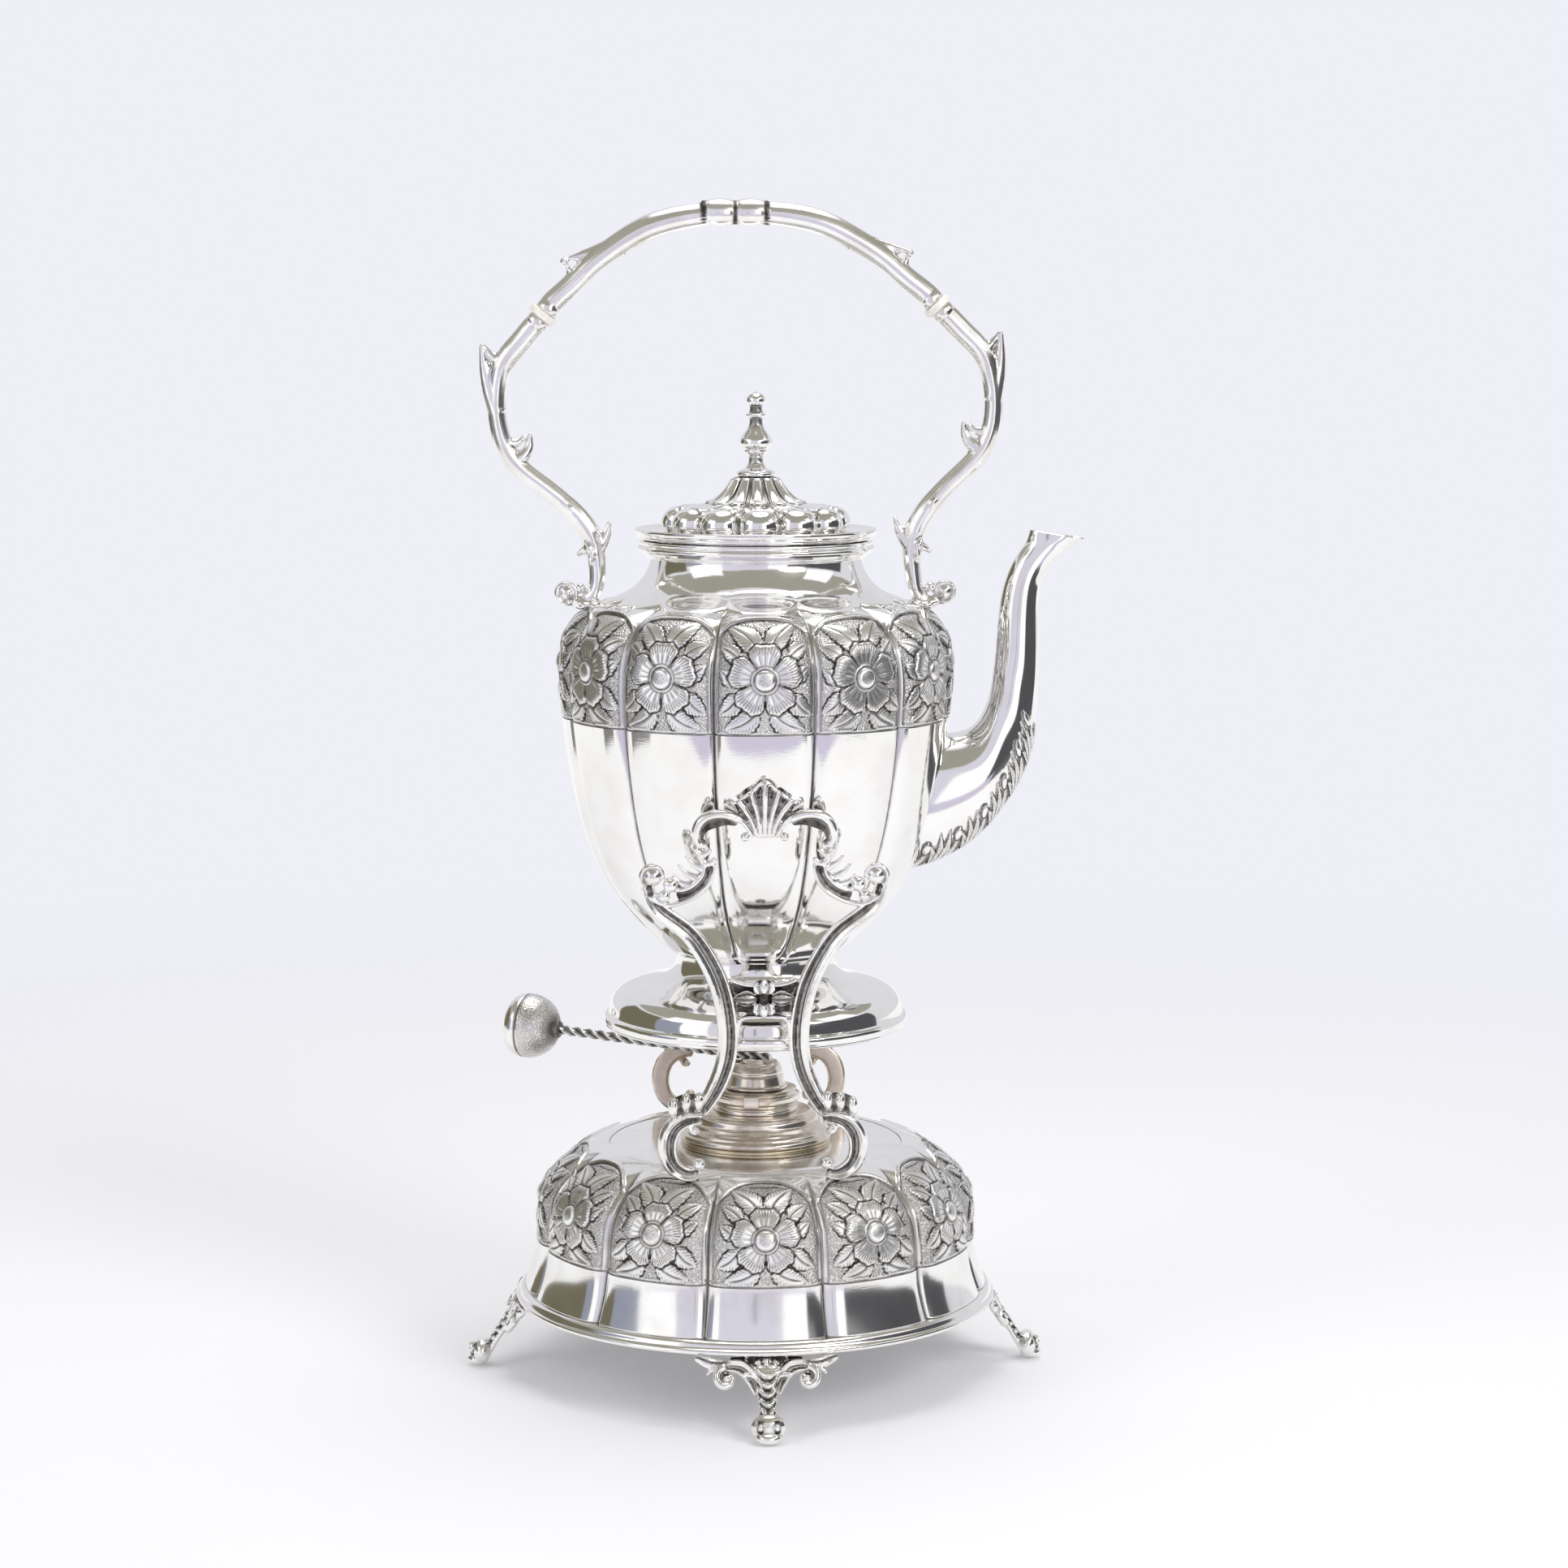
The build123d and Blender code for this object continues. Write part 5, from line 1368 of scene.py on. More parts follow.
def bar(
    points: list[tuple[float, float]], halves: list[float], depth: float, shift: float = 0.0,
    rise: float = 0.0, power: float = 2.0, steps: int = 90, share: float = 1.0, ink: float = 0.0,
) -> Shape:
    """A bar that follows a line in the plane, with an oval section.

    Args:
        points: the centre line.
        halves: half widths along it, spread evenly from its start to its end.
        depth: half depth where the half width is greatest.
        shift: how far the bar lies to the left of the line, as a share of the half width.
        rise: how far it lies in front of the plane.
        power: above 2 the section gets squarer.
        steps: sections along it.
        share: the bar's own width as a share of the half widths.
        ink: how much painted shade and tarnish darken it.

    Returns:
        The bar, with rounded ends.
    """
    line = smooth_curve(np.array(points, float), steps)
    ahead = np.gradient(line, axis=0)
    ahead /= np.linalg.norm(ahead, axis=1, keepdims=True)
    side = np.stack([-ahead[:, 1], ahead[:, 0]], axis=-1)
    wide = np.interp(np.linspace(0, 1, steps), np.linspace(0, 1, len(halves)), halves)
    line = line + side * wide[:, None] * shift
    deep = depth * np.clip(wide / max(halves), 0.45, 1.0)
    place = np.arange(steps) / (steps - 1)
    taper = np.sqrt(np.clip(1 - (1 - np.clip(place / 0.03, 0, 1)) ** 2, 0.02, 1))
    taper = taper * np.sqrt(np.clip(1 - (1 - np.clip((1 - place) / 0.03, 0, 1)) ** 2, 0.02, 1))
    centres = np.column_stack([line, np.full(steps, rise)])
    across = np.column_stack([side, np.zeros(steps)])
    sizes = np.column_stack([wide * share * taper, deep * taper])
    outline = oval_outline(20, power)
    return tube_along(centres, across, np.array([0.0, 0.0, 1.0]), outline, sizes, {"ink": np.full(20, ink)})


def channel(points: list[tuple[float, float]], halves: list[float], outer: int, depth: float = 1.9, steps: int = 150) -> Shape:
    """A cast bar: a broad round rail, a thin rail, and a groove between them darkened with painted shade and tarnish.

    Args:
        points: the bar's centre line.
        halves: its half widths.
        outer: 1 if the broad rail lies to the left of the line, -1 if to the right.
        depth: half depth of the broad rail.
        steps: sections along it.

    Returns:
        The bar.
    """
    shape = bar(points, halves, 0.38 * depth, rise=-0.62 * depth, power=3.0, steps=steps, share=0.92)
    shape += bar(points, halves, 0.32 * depth, rise=-0.34 * depth, power=3.0, steps=steps, share=0.9, ink=1.0)
    shape += bar(points, halves, depth, shift=0.46 * outer, steps=steps, share=0.48)
    shape += bar(points, halves, 0.5 * depth, shift=0.52 * outer, rise=0.72 * depth, steps=steps, share=0.17)
    return shape + bar(points, halves, 0.82 * depth, shift=-0.80 * outer, steps=steps, share=0.19)


def thorn(root: tuple[float, float], tip: tuple[float, float], half: float, depth: float, bow: float = 0.0) -> Shape:
    """A curved thorn in the plane, broad at its root and pointed at its tip.

    Args:
        root: where it springs.
        tip: its point.
        half: half width at the root.
        depth: half depth at the root.
        bow: how far its middle lies to the left of the straight line.

    Returns:
        The thorn.
    """
    start, end = np.array(root, float), np.array(tip, float)
    side = np.array([-(end - start)[1], (end - start)[0]]) / np.linalg.norm(end - start)
    middle = tuple(start + 0.55 * (end - start) + side * bow)
    return bar([tuple(start), middle, tuple(end)], [half, 0.82 * half, 0.52 * half, 0.55], depth, steps=36)


def spiral(
    centre: tuple[float, float], start: float, radii: tuple[float, float], turn: float, half: float,
    depth: float, rise: float = 0.0,
) -> Shape:
    """A volute in the plane.

    Args:
        centre: its eye.
        start: bearing of its outer end, in degrees.
        radii: its outer and inner radius.
        turn: how far it winds inwards, in degrees; negative is clockwise.
        half: half width of its bar at the outer end.
        depth: half depth.
        rise: how far it lies in front of the plane.

    Returns:
        The volute, with a bead in its eye.
    """
    places = np.linspace(0.0, 1.0, 14)
    bearing = np.radians(start + turn * places)
    radius = radii[0] + (radii[1] - radii[0]) * places**0.85
    points = [
        (centre[0] + r * math.cos(b), centre[1] + r * math.sin(b)) for r, b in zip(radius, bearing)
    ]
    winding = bar(points, [half, half * 0.9, half * 0.72], depth, rise=rise)
    return winding + ball((*centre, rise + 0.3), (radii[1] * 0.9, radii[1] * 0.9, depth))


def frond(root: tuple[float, float], tip: tuple[float, float], half: float, depth: float, rise: float = 0.0, bow: float = 0.0) -> Shape:
    """A pointed leaf or finger in the plane, fullest beyond its middle.

    Args:
        root: where it springs.
        tip: where it ends.
        half: its greatest half width.
        depth: its half depth.
        rise: how far its tip lies in front of the plane.
        bow: how far its middle lies to the left of the straight line.

    Returns:
        The leaf.
    """
    start, end = np.array(root, float), np.array(tip, float)
    side = np.array([-(end - start)[1], (end - start)[0]])
    side /= np.linalg.norm(side)
    middle = (start + end) / 2 + side * bow
    line = smooth_curve(np.array([start, middle, end]), 26)
    ahead = np.gradient(line, axis=0)
    ahead /= np.linalg.norm(ahead, axis=1, keepdims=True)
    aside = np.stack([-ahead[:, 1], ahead[:, 0]], axis=-1)
    place = np.linspace(0, 1, 26)
    full = np.clip(np.sin(math.pi * np.clip(place, 0.02, 0.985) ** 1.35), 0.05, 1.0) ** 0.75
    full = np.maximum(full, 0.42 * (place < 0.5))
    centres = np.column_stack([line, rise * place])
    sizes = np.column_stack([half * full, depth * np.clip(full, 0.3, 1)])
    return tube_along(centres, np.column_stack([aside, np.zeros(26)]), np.array([0.0, 0.0, 1.0]), oval_outline(16), sizes)


@dataclass(frozen=True)
class Bracket:
    """One of the two cast brackets that carry the kettle, in its leaning plane."""

    foot_y: float = 53.5
    foot_z: float = 78.6
    top_y: float = 66.9
    height: float = 133.6
    half_width: float = 40.0
    thickness: float = 3.4

    @property
    def lean(self) -> float:
        """Its lean from upright, in radians."""
        return math.atan2(self.top_y - self.foot_y, self.height)

    def at(self, side: int, across: float, up: float) -> tuple[float, float]:
        """A point of the bracket from shares of its half width and its height."""
        return (side * self.half_width * across, up * self.height / math.cos(self.lean))

    def line(self, side: int, shares: tuple[tuple[float, float], ...]) -> list[tuple[float, float]]:
        """Points of the bracket from shares."""
        return [self.at(side, across, up) for across, up in shares]

    def half(self, side: int) -> Shape:
        """The castings of one side: bars, scrolls, leaves and balls.

        Args:
            side: -1 for the left, 1 for the right.

        Returns:
            The overlapping forms.
        """
        leg = self.line(side, (
            (0.955, 0.745), (0.930, 0.706), (0.845, 0.672), (0.740, 0.648), (0.645, 0.626), (0.570, 0.602),
            (0.502, 0.572), (0.432, 0.534), (0.362, 0.483), (0.316, 0.425), (0.296, 0.372), (0.300, 0.320),
            (0.338, 0.268), (0.402, 0.222), (0.490, 0.178), (0.530, 0.162),
        ))
        shape = channel(leg, [2.2, 3.0, 3.2, 3.4, 3.5, 3.5, 3.5, 3.4, 3.2, 2.6], side, steps=220)
        arch = self.line(side, (
            (0.200, 0.895), (0.290, 0.911), (0.395, 0.914), (0.485, 0.905), (0.545, 0.885), (0.558, 0.858),
            (0.520, 0.838), (0.460, 0.836),
        ))
        shape += bar(arch, [1.0, 1.5, 1.6, 1.6, 1.5, 1.4, 1.1, 0.9], 1.9, steps=110)
        shape += bar(arch, [1.2, 2.0, 2.4, 2.6, 2.4, 1.9, 1.2, 0.8], 0.8, shift=-0.85 * side, rise=-0.7, power=3.0, ink=0.92)
        # the two curls under the arch
        for across, up, reach in ((0.465, 0.826, 1.5), (0.425, 0.803, 1.3)):
            curl = self.line(side, ((across + 0.10, up + 0.006), (across + 0.04, up - 0.012), (across - 0.03, up + 0.002)))
            shape += bar(curl, [0.9, 1.2, 0.8], reach, steps=40)
        # the crescent: a thin rail round a bed darkened with painted shade and tarnish, and the leaf that lies in it
        crescent = self.line(side, (
            (0.400, 0.792), (0.418, 0.765), (0.466, 0.735), (0.575, 0.708), (0.715, 0.692), (0.850, 0.694),
            (0.930, 0.712),
        ))
        shape += bar(crescent, [0.6, 0.8, 0.8, 0.8, 0.8, 0.9], 1.6, steps=110)
        bed = self.line(side, ((0.430, 0.792), (0.455, 0.765), (0.510, 0.742), (0.600, 0.722), (0.715, 0.712)))
        shape += bar(bed, [1.2, 2.3, 2.6, 2.3, 1.3], 0.8, rise=-0.6, power=3.0, ink=0.95)
        for across, up, tip_across, tip_up, half in (
            (0.480, 0.778, 0.640, 0.812, 1.5), (0.520, 0.752, 0.700, 0.790, 1.6), (0.585, 0.736, 0.745, 0.764, 1.4),
        ):
            shape += thorn(self.at(side, across, up), self.at(side, tip_across, tip_up), half, 1.3, bow=-side * 0.9)
        vein = self.line(side, ((0.500, 0.800), (0.500, 0.770), (0.560, 0.745), (0.660, 0.728), (0.740, 0.728)))
        shape += bar(vein, [0.7, 1.0, 1.0, 0.8], 1.5, steps=70)
        for across, up, radius in ((0.905, 0.760, 2.8), (0.765, 0.739, 2.5), (0.815, 0.712, 2.0)):
            spot = self.at(side, across, up)
            shape += ball((spot[0], spot[1], 0.3), (radius, radius, min(radius, 2.3)))
        shape += spiral(self.at(side, 0.905, 0.760), -60 if side > 0 else 240, (4.2, 3.4), side * 250, 0.75, 1.5, 0.2)
        # knuckle of three claws, and the scroll that it stands on
        knuckle = self.line(side, ((0.500, 0.190), (0.630, 0.190), (0.760, 0.178)))
        shape += bar(knuckle, [2.2, 2.9, 2.2], 1.2, power=3.0, steps=40, ink=1.0)
        for across, up, size in ((0.530, 0.192, 2.2), (0.635, 0.190, 2.5), (0.740, 0.178, 2.2)):
            spot = self.at(side, across, up)
            shape += ball((spot[0], spot[1], 0.8), (1.75, 3.4, size))
        collar = self.line(side, ((0.480, 0.162), (0.600, 0.166), (0.745, 0.158)))
        shape += bar(collar, [1.3, 1.8, 1.4], 1.3, rise=-0.2, power=3.0, steps=40, ink=0.9)
        scroll = self.line(side, (
            (0.490, 0.147), (0.600, 0.148), (0.715, 0.132), (0.778, 0.102), (0.790, 0.066), (0.758, 0.032),
            (0.685, 0.010), (0.600, 0.002), (0.530, 0.008),
        ))
        shape += channel(scroll, [1.9, 2.7, 3.1, 3.3, 3.3, 3.1, 2.9, 2.6, 2.0], side, depth=1.9)
        shape += spiral(self.at(side, 0.555, 0.120), 80 if side > 0 else 100, (2.1, 1.0), side * -250, 0.75, 1.6, 0.2)
        eye = self.at(side, 0.525, 0.030)
        return shape + ball((eye[0], eye[1], 0.3), (2.0, 2.1, 2.1))

    def palmette(self) -> Shape:
        """The pointed fan of ribs at the top, springing like a fountain from a narrow root."""
        root = self.at(1, 0.0, 0.853)
        web = [(-8.4, 8.2), (-4.4, 10.4), (0.0, 11.4), (4.4, 10.4), (8.4, 8.2)]
        shape = bar([(root[0] + x, root[1] + y) for x, y in web], [3.2, 5.0, 5.6, 5.0, 3.2], 0.8, rise=-0.7, power=3.0, ink=1.0)
        foot = [(-5.0, 2.2), (0.0, 3.6), (5.0, 2.2)]
        shape += bar([(root[0] + x, root[1] + y) for x, y in foot], [1.9, 3.2, 1.9], 0.8, rise=-0.6, power=3.0, ink=1.0)
        ribs = (
            (0.0, 0.0, 18.4, 0.0, 0.95), (1.1, 4.6, 15.6, 1.2, 0.84), (2.3, 8.7, 12.8, 1.9, 0.88),
            (3.7, 11.5, 8.4, 2.2, 0.88),
        )
        for start, across, up, bow, half in ribs:
            for side in (-1, 1) if start else (1,):
                middle = (root[0] + side * (start + (across - start) * 0.36), root[1] + up * 0.46 + bow * 0.5)
                line = [(root[0] + side * start, root[1] + 0.2), middle, (root[0] + side * across, root[1] + up)]
                shape += bar(line, [0.5 * half, 0.8 * half, half, 1.25 * half, 1.05 * half], 1.7, steps=70)
        edge = [(-10.8, 11.2), (-6.6, 14.0), (-3.0, 16.6), (0.0, 18.8), (3.0, 16.6), (6.6, 14.0), (10.8, 11.2)]
        shape += bar([(root[0] + x, root[1] + y) for x, y in edge], [0.4, 0.45, 0.6, 0.45, 0.4], 0.9, rise=-0.3)
        for side in (-1, 1):
            bead = (root[0] + side * 6.4, root[1] + 0.6)
            shape += ball((*bead, 0.3), (1.5, 1.5, 1.6))
        return shape

    def inner_arch(self) -> Shape:
        """The flat-topped arch under the rosette, the bars' bridge above it, and the tie behind."""
        v = self.at(1, 0.0, (139.4 - self.foot_z) / self.height)[1]
        arch = [(-8.4, v - 14.0), (-8.3, v - 9.6), (-7.4, v - 7.4), (-3.8, v - 6.6), (0.0, v - 6.4)]
        arch += [(-x, y) for x, y in arch[-2::-1]]
        shape = bar(arch, [0.6, 0.7, 0.8, 0.8, 0.8, 0.7, 0.6], 1.5, steps=110)
        bridge = [(-11.0, v + 6.2), (-7.6, v + 4.8), (-3.8, v + 4.2), (0.0, v + 4.0), (3.8, v + 4.2), (7.6, v + 4.8), (11.0, v + 6.2)]
        shape += bar(bridge, [0.7, 0.8, 0.7, 0.8, 0.7], 1.4, steps=90)
        tie = [(-11.4, v - 0.4), (0.0, v - 0.6), (11.4, v - 0.4)]
        return shape + bar(tie, [5.0, 4.4, 5.0], 0.9, rise=-0.8, power=4.0, ink=1.0)

    def make(self, finish_front: bpy.types.Material, finish_rear: bpy.types.Material) -> None:
        """Makes both brackets.

        Args:
            finish_front: material of the front one.
            finish_rear: material of the rear one, darker and warmer with painted shade and heavy tarnish.
        """
        plane = Plane(
            (0.0, -self.foot_y, self.foot_z), (1.0, 0.0, 0.0),
            (0.0, -math.sin(self.lean), math.cos(self.lean)),
        )
        front = plane.place(self.half(-1) + self.half(1) + self.palmette() + self.inner_arch())
        rear = front.mirrored(1)
        recipe = Cast(voxel=0.38, span=12)
        attach(recipe.make(front, "bracket_front_cast", finish_front), Body.STAND, Slot.STAND, "bracket_front")
        attach(recipe.make(rear, "bracket_rear_cast", finish_rear), Body.STAND, Slot.STAND, "bracket_rear")


@dataclass(frozen=True)
class Rosette:
    """The four-petal rosette on each bracket."""

    z: float = 139.4
    y: float = 59.6
    lean: float = 0.1
    half_width: float = 10.4

    def make(self, finish: bpy.types.Material) -> None:
        """Makes both rosettes."""
        square = [(-1.5, 0.0), (1.5, 0.0)]
        shape = bar(square, [1.6, 1.6, 1.6], 0.9, rise=0.3, power=5.0, steps=30, ink=1.0)
        for side in (-1, 1):
            leaf = [(side * 2.3, 0.0), (side * 4.6, 0.0), (side * 7.0, 0.0), (side * (self.half_width - 0.3), 0.0)]
            shape += bar(leaf, [0.9, 2.3, 2.8, 2.5, 1.7, 0.4], 1.2, rise=0.2, steps=60)
            shape += bar(leaf, [0.9, 2.3, 2.8, 2.5, 1.7, 0.4], 0.8, rise=1.0, steps=60, share=0.74, ink=0.95)
            shape += bar(leaf, [0.9, 2.3, 2.8, 2.5, 1.7, 0.4], 1.1, rise=1.0, steps=60, share=0.52)
            shape += bar(leaf, [0.3, 0.4, 0.4, 0.3], 0.7, rise=1.75, steps=40, ink=0.8)
            middle = [(0.0, side * 1.9), (0.0, side * 4.2), (0.0, side * 6.6)]
            shape += bar(middle, [1.0, 1.35, 1.2, 0.5], 1.5, rise=0.7, steps=40)
            slot = [(-2.6, side * 3.8), (0.0, side * 4.2), (2.6, side * 3.8)]
            shape += bar(slot, [1.8, 2.3, 1.8], 0.7, rise=0.2, power=3.0, steps=40, ink=1.0)
            for hand in (-1, 1):
                wing = [(hand * 1.9, side * 1.6), (hand * 2.9, side * 3.6), (hand * 2.2, side * 5.6)]
                shape += bar(wing, [0.5, 0.8, 0.9, 0.4], 1.3, rise=0.5, steps=40)
        normal = np.array([0.0, -math.cos(self.lean), -math.sin(self.lean)])
        spot = np.array([0.0, -self.y, self.z]) + normal * 1.2
        plane = Plane(tuple(spot), (1.0, 0.0, 0.0), (0.0, -math.sin(self.lean), math.cos(self.lean)))
        front = plane.place(shape)
        recipe = Cast(voxel=0.26, smooth=1, span=6, gain=5.0)
        attach(recipe.make(front, "rosette_front_cast", finish), Body.STAND, Slot.STAND, "rosette_front")
        attach(recipe.make(front.mirrored(1), "rosette_rear_cast", finish), Body.STAND, Slot.STAND, "rosette_rear")


@dataclass(frozen=True)
class Foot:
    """One of the four cast feet: wings under the rim, volutes, a ribbed leg and a padded toe."""

    radius: float = 95.4
    root_radius: float = 79.6
    height: float = 25.0

    @property
    def lean(self) -> float:
        """Its lean from upright, in radians."""
        return math.atan2(self.radius - self.root_radius, self.height)

    def shape(self) -> Shape:
        """The overlapping forms of the foot on the +X side."""
        length = self.height / math.cos(self.lean)
        plane = Plane(
            (self.radius, 0.0, 0.0), (0.0, 1.0, 0.0), (-math.sin(self.lean), 0.0, math.cos(self.lean)),
        )
        leg = [(0.0, 0.14 * length), (0.0, 0.34 * length), (0.0, 0.58 * length), (0.0, 0.86 * length)]
        shape = bar(leg, [3.7, 2.7, 3.6, 4.6], 1.8, power=2.4)
        for index in range(5):
            level = (0.27 + 0.105 * index) * length
            size = 2.4 + 0.28 * index
            for drop, rise, ink in ((0.0, 1.25, 1.0), (1.15, 1.55, 0.0)):
                chevron = [(-size, level + drop + 2.3), (0.0, level + drop), (size, level + drop + 2.3)]
                shape += bar(chevron, [0.35, 0.55, 0.35], 0.8, rise=rise, steps=40, ink=ink)
        web = [(-12.0, 0.95 * length), (0.0, 0.94 * length), (12.0, 0.95 * length)]
        shape += bar(web, [1.2, 1.8, 1.2], 0.7, rise=-0.9, power=3.0, ink=1.0)
        shell = [(-5.2, 0.86 * length), (0.0, 0.89 * length), (5.2, 0.86 * length)]
        shape += bar(shell, [2.2, 3.3, 2.2], 1.2, power=3.0, ink=1.0)
        for finger in range(-3, 4):
            turn = math.radians(90 - finger * 25)
            root = (0.35 * finger, 0.72 * length)
            tip = (root[0] + 6.8 * math.cos(turn), root[1] + 6.8 * math.sin(turn))
            shape += thorn(tip, root, 0.85, 1.5) if finger else bar([root, (0.0, 0.85 * length), tip], [0.5, 0.9, 1.0], 1.9)
        for side in (-1, 1):
            arm = [
                (side * 2.6, 0.56 * length), (side * 4.8, 0.74 * length), (side * 8.4, 0.86 * length),
                (side * 13.2, 0.875 * length),
            ]
            shape += channel(arm, [1.9, 2.6, 2.6, 2.0], side, depth=1.6, steps=80)
            eye = (side * 13.2, 0.725 * length)
            shape += spiral(eye, 90, (4.1, 1.2), side * -330, 1.35, 1.7, 0.3)
            shape += bar([(eye[0] - 1.4, eye[1]), (eye[0] + 1.4, eye[1])], [2.0, 2.0], 0.7, rise=-0.2, steps=20, ink=1.0)
            wing = [
                (side * 11.5, 0.915 * length), (side * 16.5, 0.90 * length), (side * 20.5, 0.94 * length),
                (side * 23.2, 0.985 * length),
            ]
            shape += bar(wing, [1.0, 1.9, 2.0, 1.1], 1.4, steps=60)
            shape += bar(wing, [0.3, 0.4, 0.4, 0.3], 0.6, rise=1.1, steps=60, ink=0.9)
            shape += thorn((side * 17.0, 0.88 * length), (side * 19.6, 0.78 * length), 1.2, 1.1)
        placed = plane.place(shape)
        placed += ball((self.radius - 0.7, 0.0, 5.2), (3.5, 5.9, 4.6))
        placed += ball((self.radius + 0.9, 0.0, 2.3), (3.5, 4.3, 2.15))
        # the toe's ringed eyes
        face = Plane((self.radius + 2.1, 0.0, 6.0), (0.0, 1.0, 0.0), (-0.35, 0.0, 0.94))
        for side in (-1, 1):
            placed += face.place(bar([(side * 2.0, 0.0), (side * 3.4, 0.0)], [1.9, 1.9], 0.8, steps=20, ink=1.0))
            placed += face.place(ball((side * 2.7, 0.0, 0.9), (1.0, 1.0, 0.8)))
        plate = sheet_of(np.array([
            [(x, y, z) for x, y in ((74.6, -7.0), (80.6, -7.0), (80.6, 7.0), (74.6, 7.0))]
            for z in (self.height - 2.6, self.height - 0.02)
        ]), closed=True)
        plate = capped(capped(plate, np.arange(4), outward=False), np.arange(4, 8), outward=True)
        placed += plate
        placed.points[:, 2] = np.clip(placed.points[:, 2], 0.15, self.height - 0.02)
        placed.points[:, 0] = np.minimum(placed.points[:, 0], 99.85)
        return placed

    def make(self, finish: bpy.types.Material) -> None:
        """Makes the four feet."""
        model = self.shape()
        for name, turn in (("right", 0), ("rear", 90), ("left", 180), ("front", 270)):
            piece = Cast(voxel=0.36, smooth=1, span=8, gain=4.2).make(model.turned(turn), f"foot_{name}_cast", finish)
            attach(piece, Body.STAND, Slot.STAND, f"foot_{name}")


# ---------------------------------------------------------------- base and lamp
def edge_spread(count: int) -> np.ndarray:
    """Places across a lobe, from -1 to 1, closer together at the valleys."""
    return np.sin(np.linspace(-math.pi / 2, math.pi / 2, count))


def plain_sector(form: LobedForm, low: float, high: float, inset: float, rows: int, columns: int, valley_shade: float) -> Shape:
    """A plain stretch of one lobe, centred on +X, with a wall.

    Args:
        form: the lobed form.
        low: the stretch's lowest height.
        high: its highest.
        inset: the wall's thickness.
        rows: rows of its outside.
        columns: points across the lobe.
        valley_shade: how dark the line of painted shade in the valley is.

    Returns:
        The closed sector, without its sides.
    """
    full = form.profile(900)
    chosen = full[(full[:, 0] >= low) & (full[:, 0] <= high)]
    picks = np.linspace(0, len(chosen) - 1, rows).round().astype(int)
    profile = chosen[picks]
    across = edge_spread(columns)
    half = profile[:, 1] * HALF_LOBE
    side = half[:, None] * (1 - np.abs(across))[None]
    # a dark line down the valley: painted shade in the crease
    line = np.exp(-((side / 0.46) ** 2))
    ink = valley_shade * line
    front = form.sector(profile, across)
    back_rows = profile[::-1][:: max(1, rows // 20)].copy()
    back_rows[-1] = profile[0]
    back_rows[:, 1:] = np.maximum(back_rows[:, 1:] - inset, 0.5)
    back_rows[:, 0] = np.maximum(back_rows[:, 0], low + (inset if low < form.bottom + 1 else 0.0))
    back = form.sector(back_rows, across)
    grid = np.concatenate([front, back, front[:1]])
    masks = {"ink": np.concatenate([ink, np.zeros(back.shape[:2]), ink[:1]])}
    return sheet_of(grid, masks=masks)


BASE_FLOWER = Flower(
    radius=11.2, boss=3.4, ring=3.9,
    leaves=(
        (-1.4, 8.8, -11.0, 18.4, 8.0), (-7.6, 6.6, -14.6, 11.8, 5.6), (1.4, 8.8, 9.4, 19.0, 7.8),
        (7.4, 6.8, 14.4, 12.0, 5.6), (10.0, 0.6, 15.2, 5.6, 4.6), (-10.4, 0.2, -15.6, 4.6, 4.6),
        (-1.6, -9.0, -14.0, -13.8, 6.6), (-9.0, -3.8, -16.4, -9.4, 6.0), (1.6, -9.0, 14.0, -13.8, 6.6),
        (9.0, -3.8, 16.4, -9.4, 6.0),
    ),
)


@dataclass(frozen=True)
class Base:
    """The lobed, domed base with its chased band, and the rim under it."""

    groove_z: float = 46.0

    def make(self, finish: bpy.types.Material) -> None:
        """Makes the dome in its bands, and the rim."""
        lower = build_object(plain_sector(DOME, 29.2, self.groove_z - 0.2, 1.2, 26, 33, 0.9), "sector")
        band = Ring().make(lower, "base_dome_lower", finish)
        attach(welded(band), Body.STAND, Slot.STAND, "base_dome")
        panel = FlowerPanel(
            form=DOME, groove_z=self.groove_z, flower=BASE_FLOWER, centre_v=15.6, arch_v=38.4,
            arch_bow=10.5, margin=1.7, columns=95, rows=126,
        )
        lobe = panel.lobe()
        for half, first in (("right", -3), ("left", 3)):
            ring = Ring(count=6, first=first).make(build_object(lobe, "sector", sharp=70), f"base_flowers_{half}", finish)
            attach(ring, Body.STAND, Slot.STAND, "base_dome")
        cap = rounded([
            (0, 77.2), (40.0, 77.2), (50.6, 76.6), (51.4, 77.4), (49.6, 78.35), (46.6, 78.6), (0, 78.6),
        ], 1.6)
        top = build_object(lathe(cap, 192), "base_top")
        top.data.materials.append(finish)
        attach(welded(top), Body.STAND, Slot.STAND, "base_dome")
        rim = rounded([
            (72.0, 25.0), (82.0, 25.0), (82.5, 25.5), (82.5, 26.5), (81.6, 27.1), (81.3, 27.6), (80.9, 28.6),
            (80.0, 29.3), (78.8, 29.2), (72.0, 29.2), (72.0, 25.0),
        ], 0.7)
        ring = build_object(lathe(rim, 220), "base_rim_moulding")
        ring.data.materials.append(finish)
        attach(welded(ring), Body.STAND, Slot.STAND, "base_rim")


